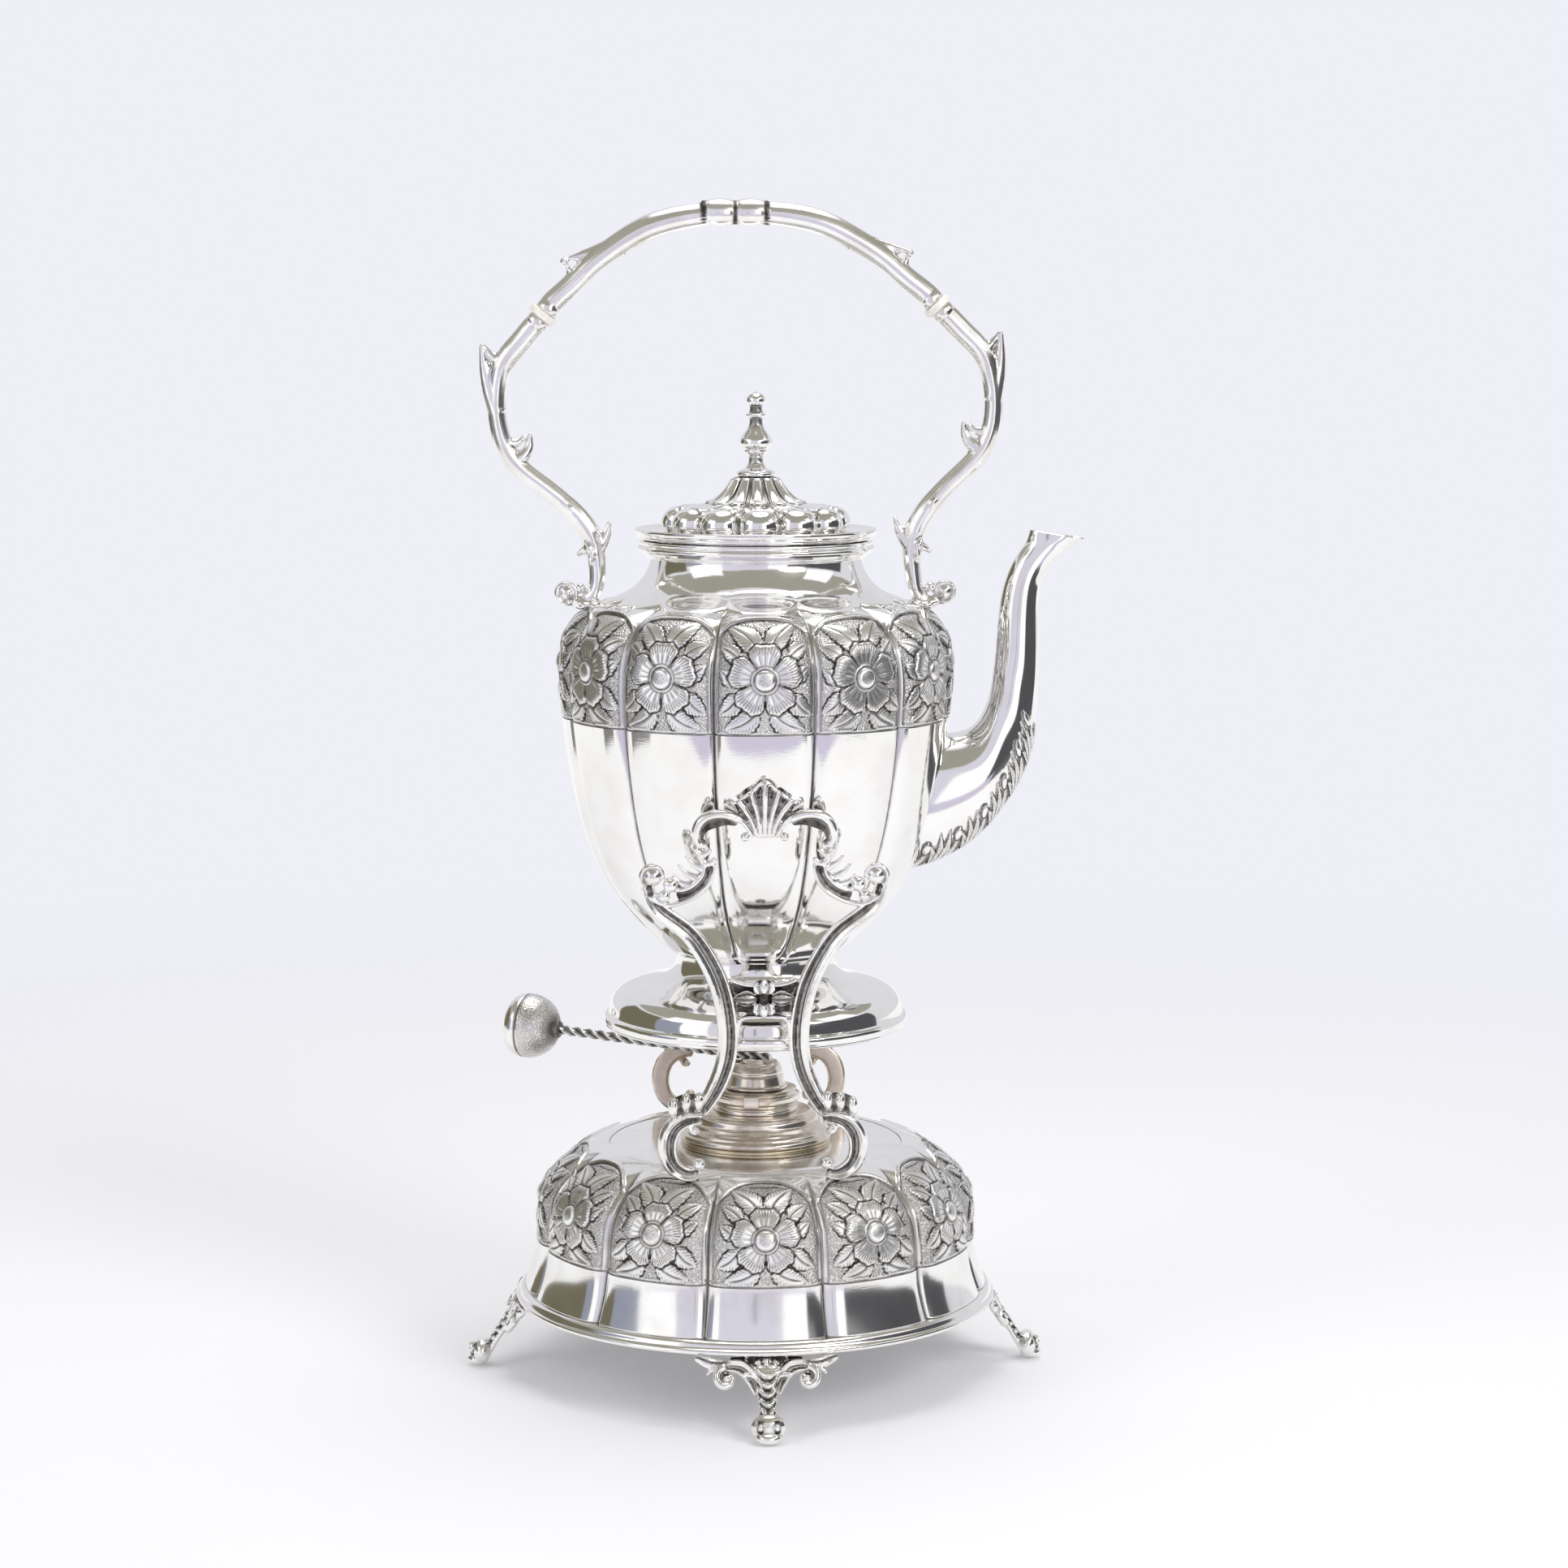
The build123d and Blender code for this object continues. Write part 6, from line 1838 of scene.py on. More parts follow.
@dataclass(frozen=True)
class Lamp:
    """The spirit lamp: its seat ring, stepped reservoir, collar, cap, twisted rod and knob."""

    floor_z: float = 78.6
    top_z: float = 89.6
    collar_z: float = 97.0
    bearing: float = 153.0
    climb: float = 2.3
    rod_z: float = 107.77

    def turned_piece(self, name: str, profile: list[tuple[float, float]], finish: bpy.types.Material, fillet: float = 0.45) -> bpy.types.Object:
        """A turned piece with soft corners."""
        piece = build_object(lathe(rounded(profile, fillet), 144), name)
        piece.data.materials.append(finish)
        return welded(piece)

    def make(self, finishes: Finishes) -> None:
        """Makes the lamp and its regulator."""
        floor, top = self.floor_z, self.top_z
        seat = self.turned_piece("lamp_seat_ring_turned", [
            (24.0, floor), (25.8, floor), (25.8, floor + 0.8), (25.3, floor + 1.3), (24.0, floor + 1.3), (24.0, floor),
        ], finishes.brass, 0.3)
        attach(seat, Body.STAND, Slot.BRASS, "lamp_seat_ring")
        bowl = self.turned_piece("lamp_bowl_turned", [
            (0, floor), (23.8, floor), (23.9, floor + 1.4), (25.7, floor + 1.4), (26.3, floor + 2.2), (26.0, floor + 3.3),
            (25.1, floor + 3.9), (24.9, floor + 4.5), (24.3, floor + 5.2), (23.3, floor + 5.7), (22.9, floor + 6.2),
            (22.3, floor + 7.2), (21.5, floor + 7.6), (21.3, floor + 8.9), (20.9, floor + 9.6), (20.1, floor + 9.9),
            (19.4, floor + 10.6), (18.4, top), (12.0, top), (12.0, top - 0.9), (17.0, top - 0.9), (20.0, floor + 6.0),
            (24.0, floor + 3.0), (22.9, floor + 0.9), (0, floor + 0.9),
        ], finishes.burner)
        attach(bowl, Body.STAND, Slot.BURNER, "lamp_bowl")
        collar = self.turned_piece("lamp_collar_turned", [
            (4.55, top), (14.6, top), (14.5, top + 1.2), (14.0, top + 1.7), (14.5, top + 2.3), (14.6, top + 3.3),
            (15.2, top + 3.7), (15.2, top + 5.6), (14.4, top + 6.0), (13.7, top + 6.2), (13.7, top + 6.7),
            (14.2, self.collar_z), (9.5, self.collar_z), (9.5, self.collar_z + 2.0), (4.55, self.collar_z + 2.0), (4.55, top),
        ], finishes.burner, 0.35)
        lug_turn = math.radians(-98.0)
        lug = bar([(-2.7, 0.0), (2.7, 0.0)], [2.3, 2.3], 1.2, power=5.0, steps=24)
        lug = lug.moved(np.array([[0, 0, 1], [1, 0, 0], [0, 1, 0]], float)).turned(-98.0)
        lug.points = lug.points + np.array([14.9 * math.cos(lug_turn), 14.9 * math.sin(lug_turn), top + 4.9])
        button = build_object(lug, "lamp_lug", finishes.burner)
        attach(collar, Body.STAND, Slot.BURNER, "lamp_collar")
        attach(button, Body.STAND, Slot.BURNER, "lamp_collar")
        low, high = self.collar_z + 0.2, self.collar_z + 9.1
        cap = self.turned_piece("regulator_cap_turned", [
            (9.6, low), (10.9, low), (10.9, low + 0.9), (10.3, low + 1.3), (10.1, low + 1.9), (9.5, low + 4.2),
            (9.0, low + 5.2), (9.3, low + 5.8), (8.3, low + 8.0), (7.6, high), (5.2, high), (4.6, high + 0.9),
            (2.5, high + 1.2), (0, high + 1.3), (0, high - 0.9), (6.7, high - 0.9), (9.6, low + 2.4), (9.6, low),
        ], finishes.burner, 0.4)
        attach(cap, Body.REGULATOR, Slot.BURNER, "regulator_cap")
        repaint("wick_tube", finishes.burner)
        repaint("wick", finishes.wick)
        self.make_rod(finishes)

    def direction(self) -> np.ndarray:
        """Unit vector along the rod, away from the lamp."""
        turn, tilt = math.radians(self.bearing), math.radians(self.climb)
        return np.array([math.cos(turn) * math.cos(tilt), math.sin(turn) * math.cos(tilt), math.sin(tilt)])

    def make_rod(self, finishes: Finishes) -> None:
        """Makes the twisted rod with Geometry Nodes, and the knob."""
        ahead = self.direction()
        start = np.array([0.0, 0.0, self.rod_z]) - ahead * 5.5
        end = np.array([0.0, 0.0, self.rod_z]) + ahead * 83.0
        tree = bpy.data.node_groups.new("twisted_rod", "GeometryNodeTree")
        face = tree.interface
        for label, kind in (("Start", "Vector"), ("End", "Vector"), ("Turns", "Float"), ("Radius", "Float"), ("Material", "Material")):
            face.new_socket(label, in_out="INPUT", socket_type=f"NodeSocket{kind}")
        face.new_socket("Geometry", in_out="OUTPUT", socket_type="NodeSocketGeometry")
        nodes, links = tree.nodes, tree.links
        entry, leave = nodes.new("NodeGroupInput"), nodes.new("NodeGroupOutput")
        line = nodes.new("GeometryNodeCurvePrimitiveLine")
        parts = nodes.new("GeometryNodeResampleCurve")
        parts.inputs["Count"].default_value = 420
        along = nodes.new("GeometryNodeSplineParameter")
        turns = nodes.new("ShaderNodeMath")
        turns.operation = "MULTIPLY"
        twist = nodes.new("GeometryNodeSetCurveTilt")
        star = nodes.new("GeometryNodeCurveStar")
        star.inputs["Points"].default_value = 3
        inner = nodes.new("ShaderNodeMath")
        inner.operation = "MULTIPLY"
        inner.inputs[1].default_value = 0.55
        soft = nodes.new("GeometryNodeFilletCurve")
        soft.mode = "POLY"
        soft.inputs["Radius"].default_value = 0.0004
        soft.inputs["Count"].default_value = 3
        rod = nodes.new("GeometryNodeCurveToMesh")
        rod.inputs["Fill Caps"].default_value = True
        real = nodes.new("GeometryNodeRealizeInstances")
        painted = nodes.new("GeometryNodeSetMaterial")
        links.new(entry.outputs["Start"], line.inputs["Start"])
        links.new(entry.outputs["End"], line.inputs["End"])
        links.new(line.outputs[0], parts.inputs["Curve"])
        links.new(along.outputs["Factor"], turns.inputs[0])
        links.new(entry.outputs["Turns"], turns.inputs[1])
        links.new(parts.outputs[0], twist.inputs["Curve"])
        links.new(turns.outputs[0], twist.inputs["Tilt"])
        links.new(entry.outputs["Radius"], star.inputs["Outer Radius"])
        links.new(entry.outputs["Radius"], inner.inputs[0])
        links.new(inner.outputs[0], star.inputs["Inner Radius"])
        links.new(star.outputs[0], soft.inputs["Curve"])
        links.new(twist.outputs[0], rod.inputs["Curve"])
        links.new(soft.outputs[0], rod.inputs["Profile Curve"])
        links.new(rod.outputs[0], real.inputs[0])
        links.new(real.outputs[0], painted.inputs["Geometry"])
        links.new(entry.outputs["Material"], painted.inputs["Material"])
        links.new(painted.outputs[0], leave.inputs[0])
        holder = bpy.data.objects.new("regulator_rod_twisted", bpy.data.meshes.new("regulator_rod_twisted"))
        bpy.context.scene.collection.objects.link(holder)
        maker = holder.modifiers.new("rod", "NODES")
        maker.node_group = tree
        given = {
            "Start": tuple(start * MM), "End": tuple(end * MM), "Turns": 2 * math.pi * 6.5,
            "Radius": 2.10 * MM, "Material": finishes.cast,
        }
        for item in tree.interface.items_tree:
            if item.item_type == "SOCKET" and item.in_out == "INPUT":
                maker[item.identifier] = given[item.name]
        baked(holder)
        welded(holder)
        mesh = holder.data
        offsets = mesh_points(mesh) * 1000.0 - start
        offsets = offsets - np.outer(offsets @ ahead, ahead)
        away = np.linalg.norm(offsets, axis=1)
        # the twist's grooves are darkened: painted shade
        set_mask(mesh, "ink", step(1.76, 1.42, away))
        set_mask(mesh, "stipple", np.zeros(len(away)))
        for polygon in mesh.polygons:
            polygon.use_smooth = True
        mesh.set_sharp_from_angle(angle=math.radians(50))
        attach(holder, Body.REGULATOR, Slot.STAND, "regulator_rod")
        profile = rounded([
            (0, -0.6), (2.1, -0.5), (3.0, 0.2), (3.1, 1.0), (2.8, 1.7), (5.2, 2.2), (8.0, 3.9), (10.0, 6.6),
            (11.1, 9.6), (11.45, 12.0), (11.0, 12.6), (11.4, 13.2), (11.3, 14.8), (10.3, 16.9), (8.0, 18.9),
            (4.6, 20.3), (0, 20.9),
        ], 1.0, 6)
        knob = lathe(profile, 96)
        side = np.array([-ahead[1], ahead[0], 0.0])
        side /= np.linalg.norm(side)
        basis = np.stack([side, np.cross(ahead, side), ahead], axis=1)
        away = knob.points[:, 2].copy()
        knob = knob.moved(basis, tuple(np.array([0.0, 0.0, self.rod_z]) + ahead * 75.6))
        side_band = step(12.2, 11.4, away)
        # the knurled band and its groove are darkened with tarnish and painted shade, and the knob's root with painted
        # shade
        knob.masks["ink"] = 0.18 * side_band + 0.85 * np.exp(-(((away - 12.6) / 0.40) ** 2)) + 0.5 * step(3.2, 1.6, away)
        knob.masks["stipple"] = 0.45 * side_band
        piece = build_object(knob, "regulator_knob_turned", finishes.cast)
        attach(welded(piece), Body.REGULATOR, Slot.STAND, "regulator_knob")


# ---------------------------------------------------------------- kettle
@dataclass(frozen=True)
class KettleBody:
    """The lobed body with its chased band, shoulder, neck, collar, foot and bosses."""

    groove_z: float = 226.0
    crown_z: float = 264.4
    neck_top_z: float = 285.0

    def make(self, finish: bpy.types.Material) -> None:
        """Makes the body's pieces."""
        lower = build_object(plain_sector(BODY, 144.5, self.groove_z - 0.2, 1.2, 68, 35, 0.85), "sector")
        attach(welded(Ring().make(lower, "kettle_body_lower", finish)), Body.KETTLE, Slot.KETTLE, "kettle_shell")
        panel = FlowerPanel(
            form=BODY, groove_z=self.groove_z, flower=Flower(), centre_v=17.9, arch_v=39.9,
            arch_bow=7.2, margin=1.6, columns=97, rows=130,
        )
        lobe = panel.lobe()
        for half, first in (("right", -3), ("left", 3)):
            ring = Ring(count=6, first=first).make(build_object(lobe, "sector", sharp=70), f"kettle_flowers_{half}", finish)
            attach(ring, Body.KETTLE, Slot.KETTLE, "kettle_shell")
        shoulder = Ring().make(build_object(self.shoulder(), "sector", sharp=60), "kettle_shoulder", finish)
        attach(welded(shoulder), Body.KETTLE, Slot.KETTLE, "kettle_shell")
        floor = build_object(lathe(rounded([
            (0, 144.5), (24.0, 144.5), (30.0, 146.5), (30.0, 147.7), (24.0, 145.7), (0, 145.7),
        ], 1.0), 120), "kettle_floor", finish)
        attach(welded(floor), Body.KETTLE, Slot.KETTLE, "kettle_shell")
        self.make_collar(finish)
        self.make_pedestal(finish)
        for name in ("pivot_boss_front", "pivot_boss_rear", "hinge_leaf_kettle"):
            repaint(name, finish)

    def shoulder(self) -> Shape:
        """One lobe of the plain shoulder, which flows from the lobes' crowns to the round neck."""
        outside = smooth_curve(np.array([
            (263.5, 52.6, 47.2), (264.7, 50.9, 47.0), (266.2, 47.4, 45.7), (268.2, 43.0, 42.5), (270.9, 39.6, 39.5),
            (274.6, 37.0, 36.95), (278.6, 35.5, 35.5), (282.0, 35.0, 35.0), (284.9, 34.8, 34.8),
        ]), 44)
        across = np.linspace(-1.0, 1.0, 33)
        front = BODY.sector(outside, across)
        back = BODY.sector(outside[::-4] - np.array([0.4, 0.9, 0.9]), across)
        return sheet_of(np.concatenate([front, back, front[:1]]))

    def make_collar(self, finish: bpy.types.Material) -> None:
        """Makes the moulded ring round the neck's mouth."""
        low = 279.2
        profile = rounded([
            (35.05, low), (36.6, low), (37.3, low + 0.5), (37.3, low + 1.1), (38.6, low + 1.7), (39.6, low + 2.5),
            (40.0, low + 3.3), (39.7, low + 4.2), (39.1, low + 4.6), (39.5, low + 5.2), (39.4, low + 5.9),
            (38.6, low + 6.2), (35.05, low + 6.2), (35.05, low),
        ], 0.6)
        collar = build_object(lathe(profile, 200), "neck_collar_moulding", finish)
        attach(welded(collar), Body.KETTLE, Slot.KETTLE, "neck_collar")

    def make_pedestal(self, finish: bpy.types.Material) -> None:
        """Makes the kettle's own hollow foot."""
        flare = smooth_curve(np.array([
            (27.0, 144.4), (27.5, 140.6), (29.6, 137.6), (34.6, 135.2), (41.0, 133.6), (46.6, 131.4), (49.4, 128.2),
            (50.2, 124.8),
        ]), 46)
        lip = [(50.4, 124.2), (51.5, 123.6), (52.0, 122.8), (52.0, 121.4), (51.5, 120.6), (51.7, 120.2), (51.2, 119.6),
               (50.4, 119.5), (48.9, 119.5), (48.9, 124.6)]
        under = [(47.6, 128.0), (44.9, 130.4), (40.4, 132.2), (33.8, 133.9), (28.4, 136.6), (26.0, 140.4), (25.7, 143.2), (0, 143.2)]
        outer = [(0.0, 144.5)] + [(float(r), float(z)) for r, z in flare] + rounded(lip, 0.5)
        profile = (outer + under)[::-1]
        piece = build_object(lathe(profile, 200), "kettle_foot_turned", finish)
        attach(welded(piece), Body.KETTLE, Slot.KETTLE, "kettle_foot")


@dataclass(frozen=True)
class Spout:
    """The swan spout, and the acanthus leaf that clasps its root."""

    root: tuple[float, float] = (59.85, 196.0)
    reach: float = 53.0
    rise: float = 92.0
    root_width: float = 30.0
    mouth_width: float = 9.2
    rows: tuple[tuple[tuple[float, float], tuple[float, float], float], ...] = (
        ((-0.04, 0.245), (-0.26, -0.250), 0.00), ((0.12, 0.252), (0.015, -0.215), 0.02),
        ((0.26, 0.276), (0.300, -0.118), 0.14), ((0.345, 0.345), (0.480, 0.005), 0.30),
        ((0.380, 0.425), (0.590, 0.115), 0.46), ((0.405, 0.516), (0.665, 0.283), 0.60),
        ((0.414, 0.565), (0.684, 0.400), 0.68), ((0.422, 0.620), (0.692, 0.522), 0.74),
        ((0.438, 0.712), (0.685, 0.680), 0.84), ((0.468, 0.804), (0.692, 0.788), 0.91),
        ((0.530, 0.892), (0.738, 0.856), 0.97), ((0.600, 0.952), (0.835, 0.916), 1.00),
        ((0.633, 1.003), (0.978, 0.970), 1.00),
    )

    def stations(self, count: int) -> np.ndarray:
        """Inner point, outer point and half width of even sections along the spout."""
        table = []
        for inner, outer, share in self.rows:
            width = self.root_width + share * (self.mouth_width - self.root_width)
            table.append((
                self.root[0] + inner[0] * self.reach, self.root[1] + inner[1] * self.rise,
                self.root[0] + outer[0] * self.reach, self.root[1] + outer[1] * self.rise, width / 2,
            ))
        rows = np.array(table)
        knots = np.cumsum(np.concatenate([[0], np.linalg.norm(
            np.diff((rows[:, 0:2] + rows[:, 2:4]) / 2, axis=0), axis=1)]))
        at = np.linspace(0, knots[-1], count)
        carried = np.column_stack([knots, np.zeros(len(rows)), np.zeros(len(rows)), rows])
        fine = smooth_curve(carried, 600)
        return np.stack([np.interp(at, fine[:, 0], fine[:, column]) for column in range(3, 8)], axis=-1)

    def surface(self, stations: np.ndarray, turn: np.ndarray, grow: np.ndarray | float) -> np.ndarray:
        """Points of the spout's skin.

        Args:
            stations: rows of inner point, outer point and half width.
            turn: bearings round the section, 0 on its outer side.
            grow: how far off the skin each point stands.

        Returns:
            The grid of points.
        """
        inner, outer, half = stations[:, 0:2], stations[:, 2:4], stations[:, 4]
        centre = (inner + outer) / 2
        reach = (outer - inner) / 2
        long = np.linalg.norm(reach, axis=1)
        unit = reach / long[:, None]
        grow = np.broadcast_to(grow, (len(stations), len(turn)))
        cosine = np.sign(np.cos(turn)) * np.abs(np.cos(turn)) ** 0.94
        sine = np.sign(np.sin(turn)) * np.abs(np.sin(turn)) ** 0.94
        out = cosine[None] * (long[:, None] + grow)
        aside = sine[None] * (half[:, None] + grow)
        return np.stack([
            centre[:, :1] + unit[:, :1] * out, aside, centre[:, 1:] + unit[:, 1:] * out,
        ], axis=-1)

    def make(self, finish: bpy.types.Material) -> None:
        """Makes the spout and its leaf."""
        stations = self.stations(120)
        turn = np.arange(72) * 2 * math.pi / 72
        place = np.linspace(0, 1, len(stations))
        ridge = 0.35 * np.exp(-((turn - math.pi) / 0.20) ** 2)[None] * step(0.30, 0.5, place)[:, None]
        lip = step(0.955, 0.985, place)[:, None] * (0.05 - 0.30 * np.cos(turn) + 0.18 * np.cos(5 * turn))[None]
        outer = self.surface(stations, turn, np.broadcast_to(ridge, (120, 72)) + lip)
        inner = self.surface(stations[::-3], turn, -1.0)
        # the lip rolls over to the bore
        roll = self.surface(stations[-1:], turn, -0.3 + lip[-1:])
        direction = (stations[-1, 0:2] + stations[-1, 2:4] - stations[-3, 0:2] - stations[-3, 2:4])
        direction /= np.linalg.norm(direction)
        roll = roll + np.array([direction[0], 0.0, direction[1]]) * 0.35
        grid = np.concatenate([outer, roll, inner, outer[:1]])
        skin = build_object(sheet_of(grid, closed=True), "spout_skin", finish)
        attach(welded(skin), Body.KETTLE, Slot.KETTLE, "spout")
        self.make_leaf(finish)

    def make_leaf(self, finish: bpy.types.Material) -> None:
        """Makes the leaf: a midrib, and curling lobes that overlap to both sides of it."""
        stations = self.stations(460)[14: 14 + 216]
        length = np.cumsum(np.concatenate([[0.0], np.linalg.norm(np.diff(stations[:, 2:4], axis=0), axis=1)]))
        share = length / length[-1]
        turn = np.linspace(-1.7, 1.7, 141)
        aside = turn[None] * stations[:, 4:5]
        far = np.abs(aside)
        along = np.repeat(length[:, None], len(turn), axis=1)
        edge = (1.04 + 0.42 * share) * stations[:, 4] * step(1.04, 0.84, share)
        sheet = step(1.0, 0.85, far / np.maximum(0.78 * edge, 0.1)[:, None]) * step(-0.5, 2.0, along)
        height = -0.35 + 0.85 * sheet
        # the leaf's ground, and rims round its lobes and curls, are darkened: painted shade
        ink = 0.75 * sheet
        for root in np.arange(-6.0, length[-1] - 7.0, 12.4):
            wide = float(np.interp(root + 6.0, length, edge))
            for angle, reach, width in ((104, 0.80, 2.7), (78, 0.97, 3.0), (54, 1.16, 3.2), (32, 1.36, 3.3), (12, 1.50, 3.0)):
                turned = math.radians(angle)
                tip = (wide * min(reach * math.sin(turned), 1.0), root + 3.0 + 8.4 * reach * math.cos(turned))
                blade = (0.9 * math.sin(turned), root + 2.6 + 0.9 * math.cos(turned), *tip, width)
                cover, rise, dark = Flower().leaf(far, along, blade)
                halo, _, _ = Flower().leaf(far, along, blade[:4] + (width + 1.2,))
                height = np.maximum(height, 0.5 * halo - 0.35)
                height = height * (1 - cover) + (1.0 + rise) * cover
                ink = np.maximum(ink, halo) * (1 - cover) + 0.5 * dark * cover
            curl = np.hypot(far - 0.78 * wide, along - root - 12.2)
            bead = step(1.9, 1.6, curl)
            height = height * (1 - bead) + bead * (0.9 + 0.8 * np.sqrt(np.clip(1 - (curl / 1.9) ** 2, 0, 1)))
            ring = np.exp(-(((curl - 2.0) / 0.40) ** 2))
            ink = np.maximum(ink * (1 - bead), ring)
        rib = np.exp(-((aside / 0.8) ** 2)) * step(1.0, 0.93, share)[:, None]
        height = np.clip(height * (1 - rib) + 1.5 * rib, -0.35, 1.75)
        ink = np.clip(np.maximum(ink * (1 - rib), np.exp(-(((far - 1.4) / 0.35) ** 2)) * sheet), 0, 1)
        front = self.surface(stations, turn, height)
        back = self.surface(stations[::-1], turn, -0.6)
        grid = np.concatenate([front, back, front[:1]])
        shape = sheet_of(grid, masks={"ink": np.concatenate([ink, np.zeros(back.shape[:2]), ink[:1]])})
        piece = build_object(shape, "spout_leaf_relief", finish, sharp=80)
        attach(welded(piece), Body.KETTLE, Slot.KETTLE, "spout_leaf")


@dataclass(frozen=True)
class Bail:
    """The cast bail handle: two arms, a grip with a pair of beads, and two insulating rings."""

    crown_z: float = 264.4
    rise: float = 130.0
    foot_x: float = 54.0
    span: float = 83.5
    lean: float = 0.058
    twist: float = 0.026
    ring_at: tuple[float, float] = (0.410, 0.7500)
    ring_back: tuple[float, float] = (0.300, 0.7800)
    ring_on: tuple[float, float] = (0.560, 0.7120)

    def point(self, side: int, across: float, up: float) -> tuple[float, float]:
        """X and Z of a point from shares of the span and the rise, as the handle leans."""
        x = self.foot_x + across * (self.span - self.foot_x)
        z = self.crown_z + up * self.rise
        share = min(max((z - self.crown_z) / 50.0, 0.0), 1.0)
        shift = self.lean * max(z - self.crown_z - 7.6, 0.0)
        return side * x - shift, z + self.twist * share * side * x

    def ferrule(self, side: int, away: float) -> Shape:
        """The flat end of a bar against an insulating ring.

        Args:
            side: -1 for the left ring, 1 for the right.
            away: distance from the ring's middle, towards the handle's foot.

        Returns:
            A short turned collar.
        """
        centre = np.array(self.point(side, *self.ring_at))
        ahead = np.array(self.point(side, *self.ring_on)) - np.array(self.point(side, *self.ring_back))
        ahead /= np.linalg.norm(ahead)
        collar = lathe(rounded([(0, -1.5), (3.8, -1.5), (4.0, -0.8), (4.0, 0.8), (3.8, 1.5), (0, 1.5)], 0.35), 48)
        basis = np.array([[0.0, ahead[1], ahead[0]], [0.0, -ahead[0], ahead[1]], [1.0, 0.0, 0.0]])
        return collar.moved(basis, (*(centre + ahead * away), 0.0))

    def arm(self, side: int) -> Shape:
        """The overlapping forms of one arm, in the plane of X and Z."""
        rows = (
            ((0.450, 0.7405), 3.90), ((0.560, 0.7150), 3.85), ((0.700, 0.6800), 3.90), ((0.905, 0.6250), 3.70),
            ((0.985, 0.5600), 3.25), ((1.000, 0.5000), 3.10), ((0.965, 0.4400), 3.20), ((0.850, 0.3800), 3.30),
            ((0.620, 0.3270), 3.40), ((0.350, 0.2740), 3.40), ((0.130, 0.2170), 3.35), ((0.000, 0.1600), 3.70),
            ((-0.025, 0.1060), 3.75), ((-0.015, 0.0560), 3.20), ((0.040, 0.0180), 2.85), ((0.160, -0.0030), 2.40),
            ((0.290, 0.0010), 2.10),
        )
        line = [self.point(side, *shares) for shares, _ in rows]
        halves = [half for _, half in rows]
        shape = bar(line, halves, 3.6, steps=260, power=1.62) + self.ferrule(side, 2.75)
        thorns = (
            # outer spur at the bend, with its curl
            ((0.880, 0.618), (1.128, 0.683), 2.4, -side * 0.3), ((0.985, 0.500), (1.130, 0.682), 3.3, -side * 0.9),
            # leaf inside the bend
            ((0.860, 0.372), (0.640, 0.452), 3.1, side * 2.2), ((0.930, 0.425), (0.690, 0.448), 2.1, side * 1.4),
            # inner thorn, and outer one, near the foot
            ((0.060, 0.125), (-0.200, 0.216), 3.3, side * 1.6), ((0.100, 0.210), (-0.120, 0.180), 2.2, side * 0.6),
            ((0.000, 0.138), (0.200, 0.122), 2.2, side * 0.9),
        )
        for root, tip, half, bow in thorns:
            shape += thorn(self.point(side, *root), self.point(side, *tip), half, min(half, 2.9), bow)
        for root, tip in (((0.10, 0.160), (0.02, 0.128)), ((0.00, 0.150), (0.05, 0.104)), ((0.30, 0.266), (0.20, 0.236))):
            for rise in (-2.5, 2.5):
                leaf = frond(self.point(side, *root), self.point(side, *tip), 1.2, 1.1)
                leaf.points[:, 2] += rise
                shape += leaf
        eye = self.point(side, 0.335, 0.024)
        shape += spiral(eye, -112 if side > 0 else -68, (3.7, 3.0), side * 330, 0.95, 2.6)
        shape += ball((eye[0], eye[1], 0.0), (2.3, 2.3, 2.9))
        shape += ball((*self.point(side, 0.175, 0.036), 0.0), (1.7, 1.8, 2.3))
        foot = self.point(side, 0.02, -0.012)
        for offset in (-1, 1):
            shape += ball((foot[0] + offset * 3.0, foot[1] + 0.2, 0.0), (2.7, 1.7, 3.4))
        return shape + ball((foot[0], foot[1], 0.0), (3.4, 2.3, 3.6))

    def grip(self) -> Shape:
        """The overlapping forms of the grip, in the plane of X and Z."""
        rows = (
            ((-1.830, 1.0000), 3.75), ((-1.480, 0.9960), 3.95), ((-1.150, 0.9860), 4.30), ((-0.810, 0.9640), 4.35),
            ((-0.475, 0.9230), 4.15), ((-0.135, 0.8680), 3.95), ((0.110, 0.8170), 3.70), ((0.300, 0.7800), 3.85),
            ((0.395, 0.7560), 3.90),
        )
        shape = ball((self.point(1, -1.83, 1.0)[0], self.point(1, -1.83, 1.0)[1], 0.0), (1.0, 1.0, 1.0))
        for side in (-1, 1):
            line = [self.point(side, *shares) for shares, _ in rows]
            shape += bar(line, [half for _, half in rows], 4.1, steps=200, power=1.75) + self.ferrule(side, -2.75)
            for root, tip, half, bow in (
                ((-0.560, 0.926), (0.118, 0.893), 4.0, -side * 0.6), ((-0.060, 0.846), (0.130, 0.880), 2.6, -side * 0.6),
            ):
                shape += thorn(self.point(side, *root), self.point(side, *tip), half, 2.6, bow)
            curl = self.point(side, 0.128, 0.886)
            shape += ball((curl[0], curl[1], 0.0), (1.5, 1.5, 2.2))
        middle = self.point(1, -self.foot_x / (self.span - self.foot_x), 1.0)
        lie = np.array([[0, 0, 1], [0, 1, 0], [-1, 0, 0]], float)
        for side in (-1, 1):
            centre = np.array([middle[0] + side * 5.2, middle[1], 0.0])
            bead = lathe(rounded([
                (0, -4.9), (3.8, -4.9), (4.5, -3.2), (4.8, 0.0), (4.5, 3.2), (3.8, 4.9), (0, 4.9),
            ], 1.6), 48)
            shape += bead.moved(lie, tuple(centre))
        for offset in (-10.5, 0.0, 10.5):
            ring = lathe(rounded([(0, -0.8), (3.9, -0.8), (4.1, 0.0), (3.9, 0.8), (0, 0.8)], 0.4), 48)
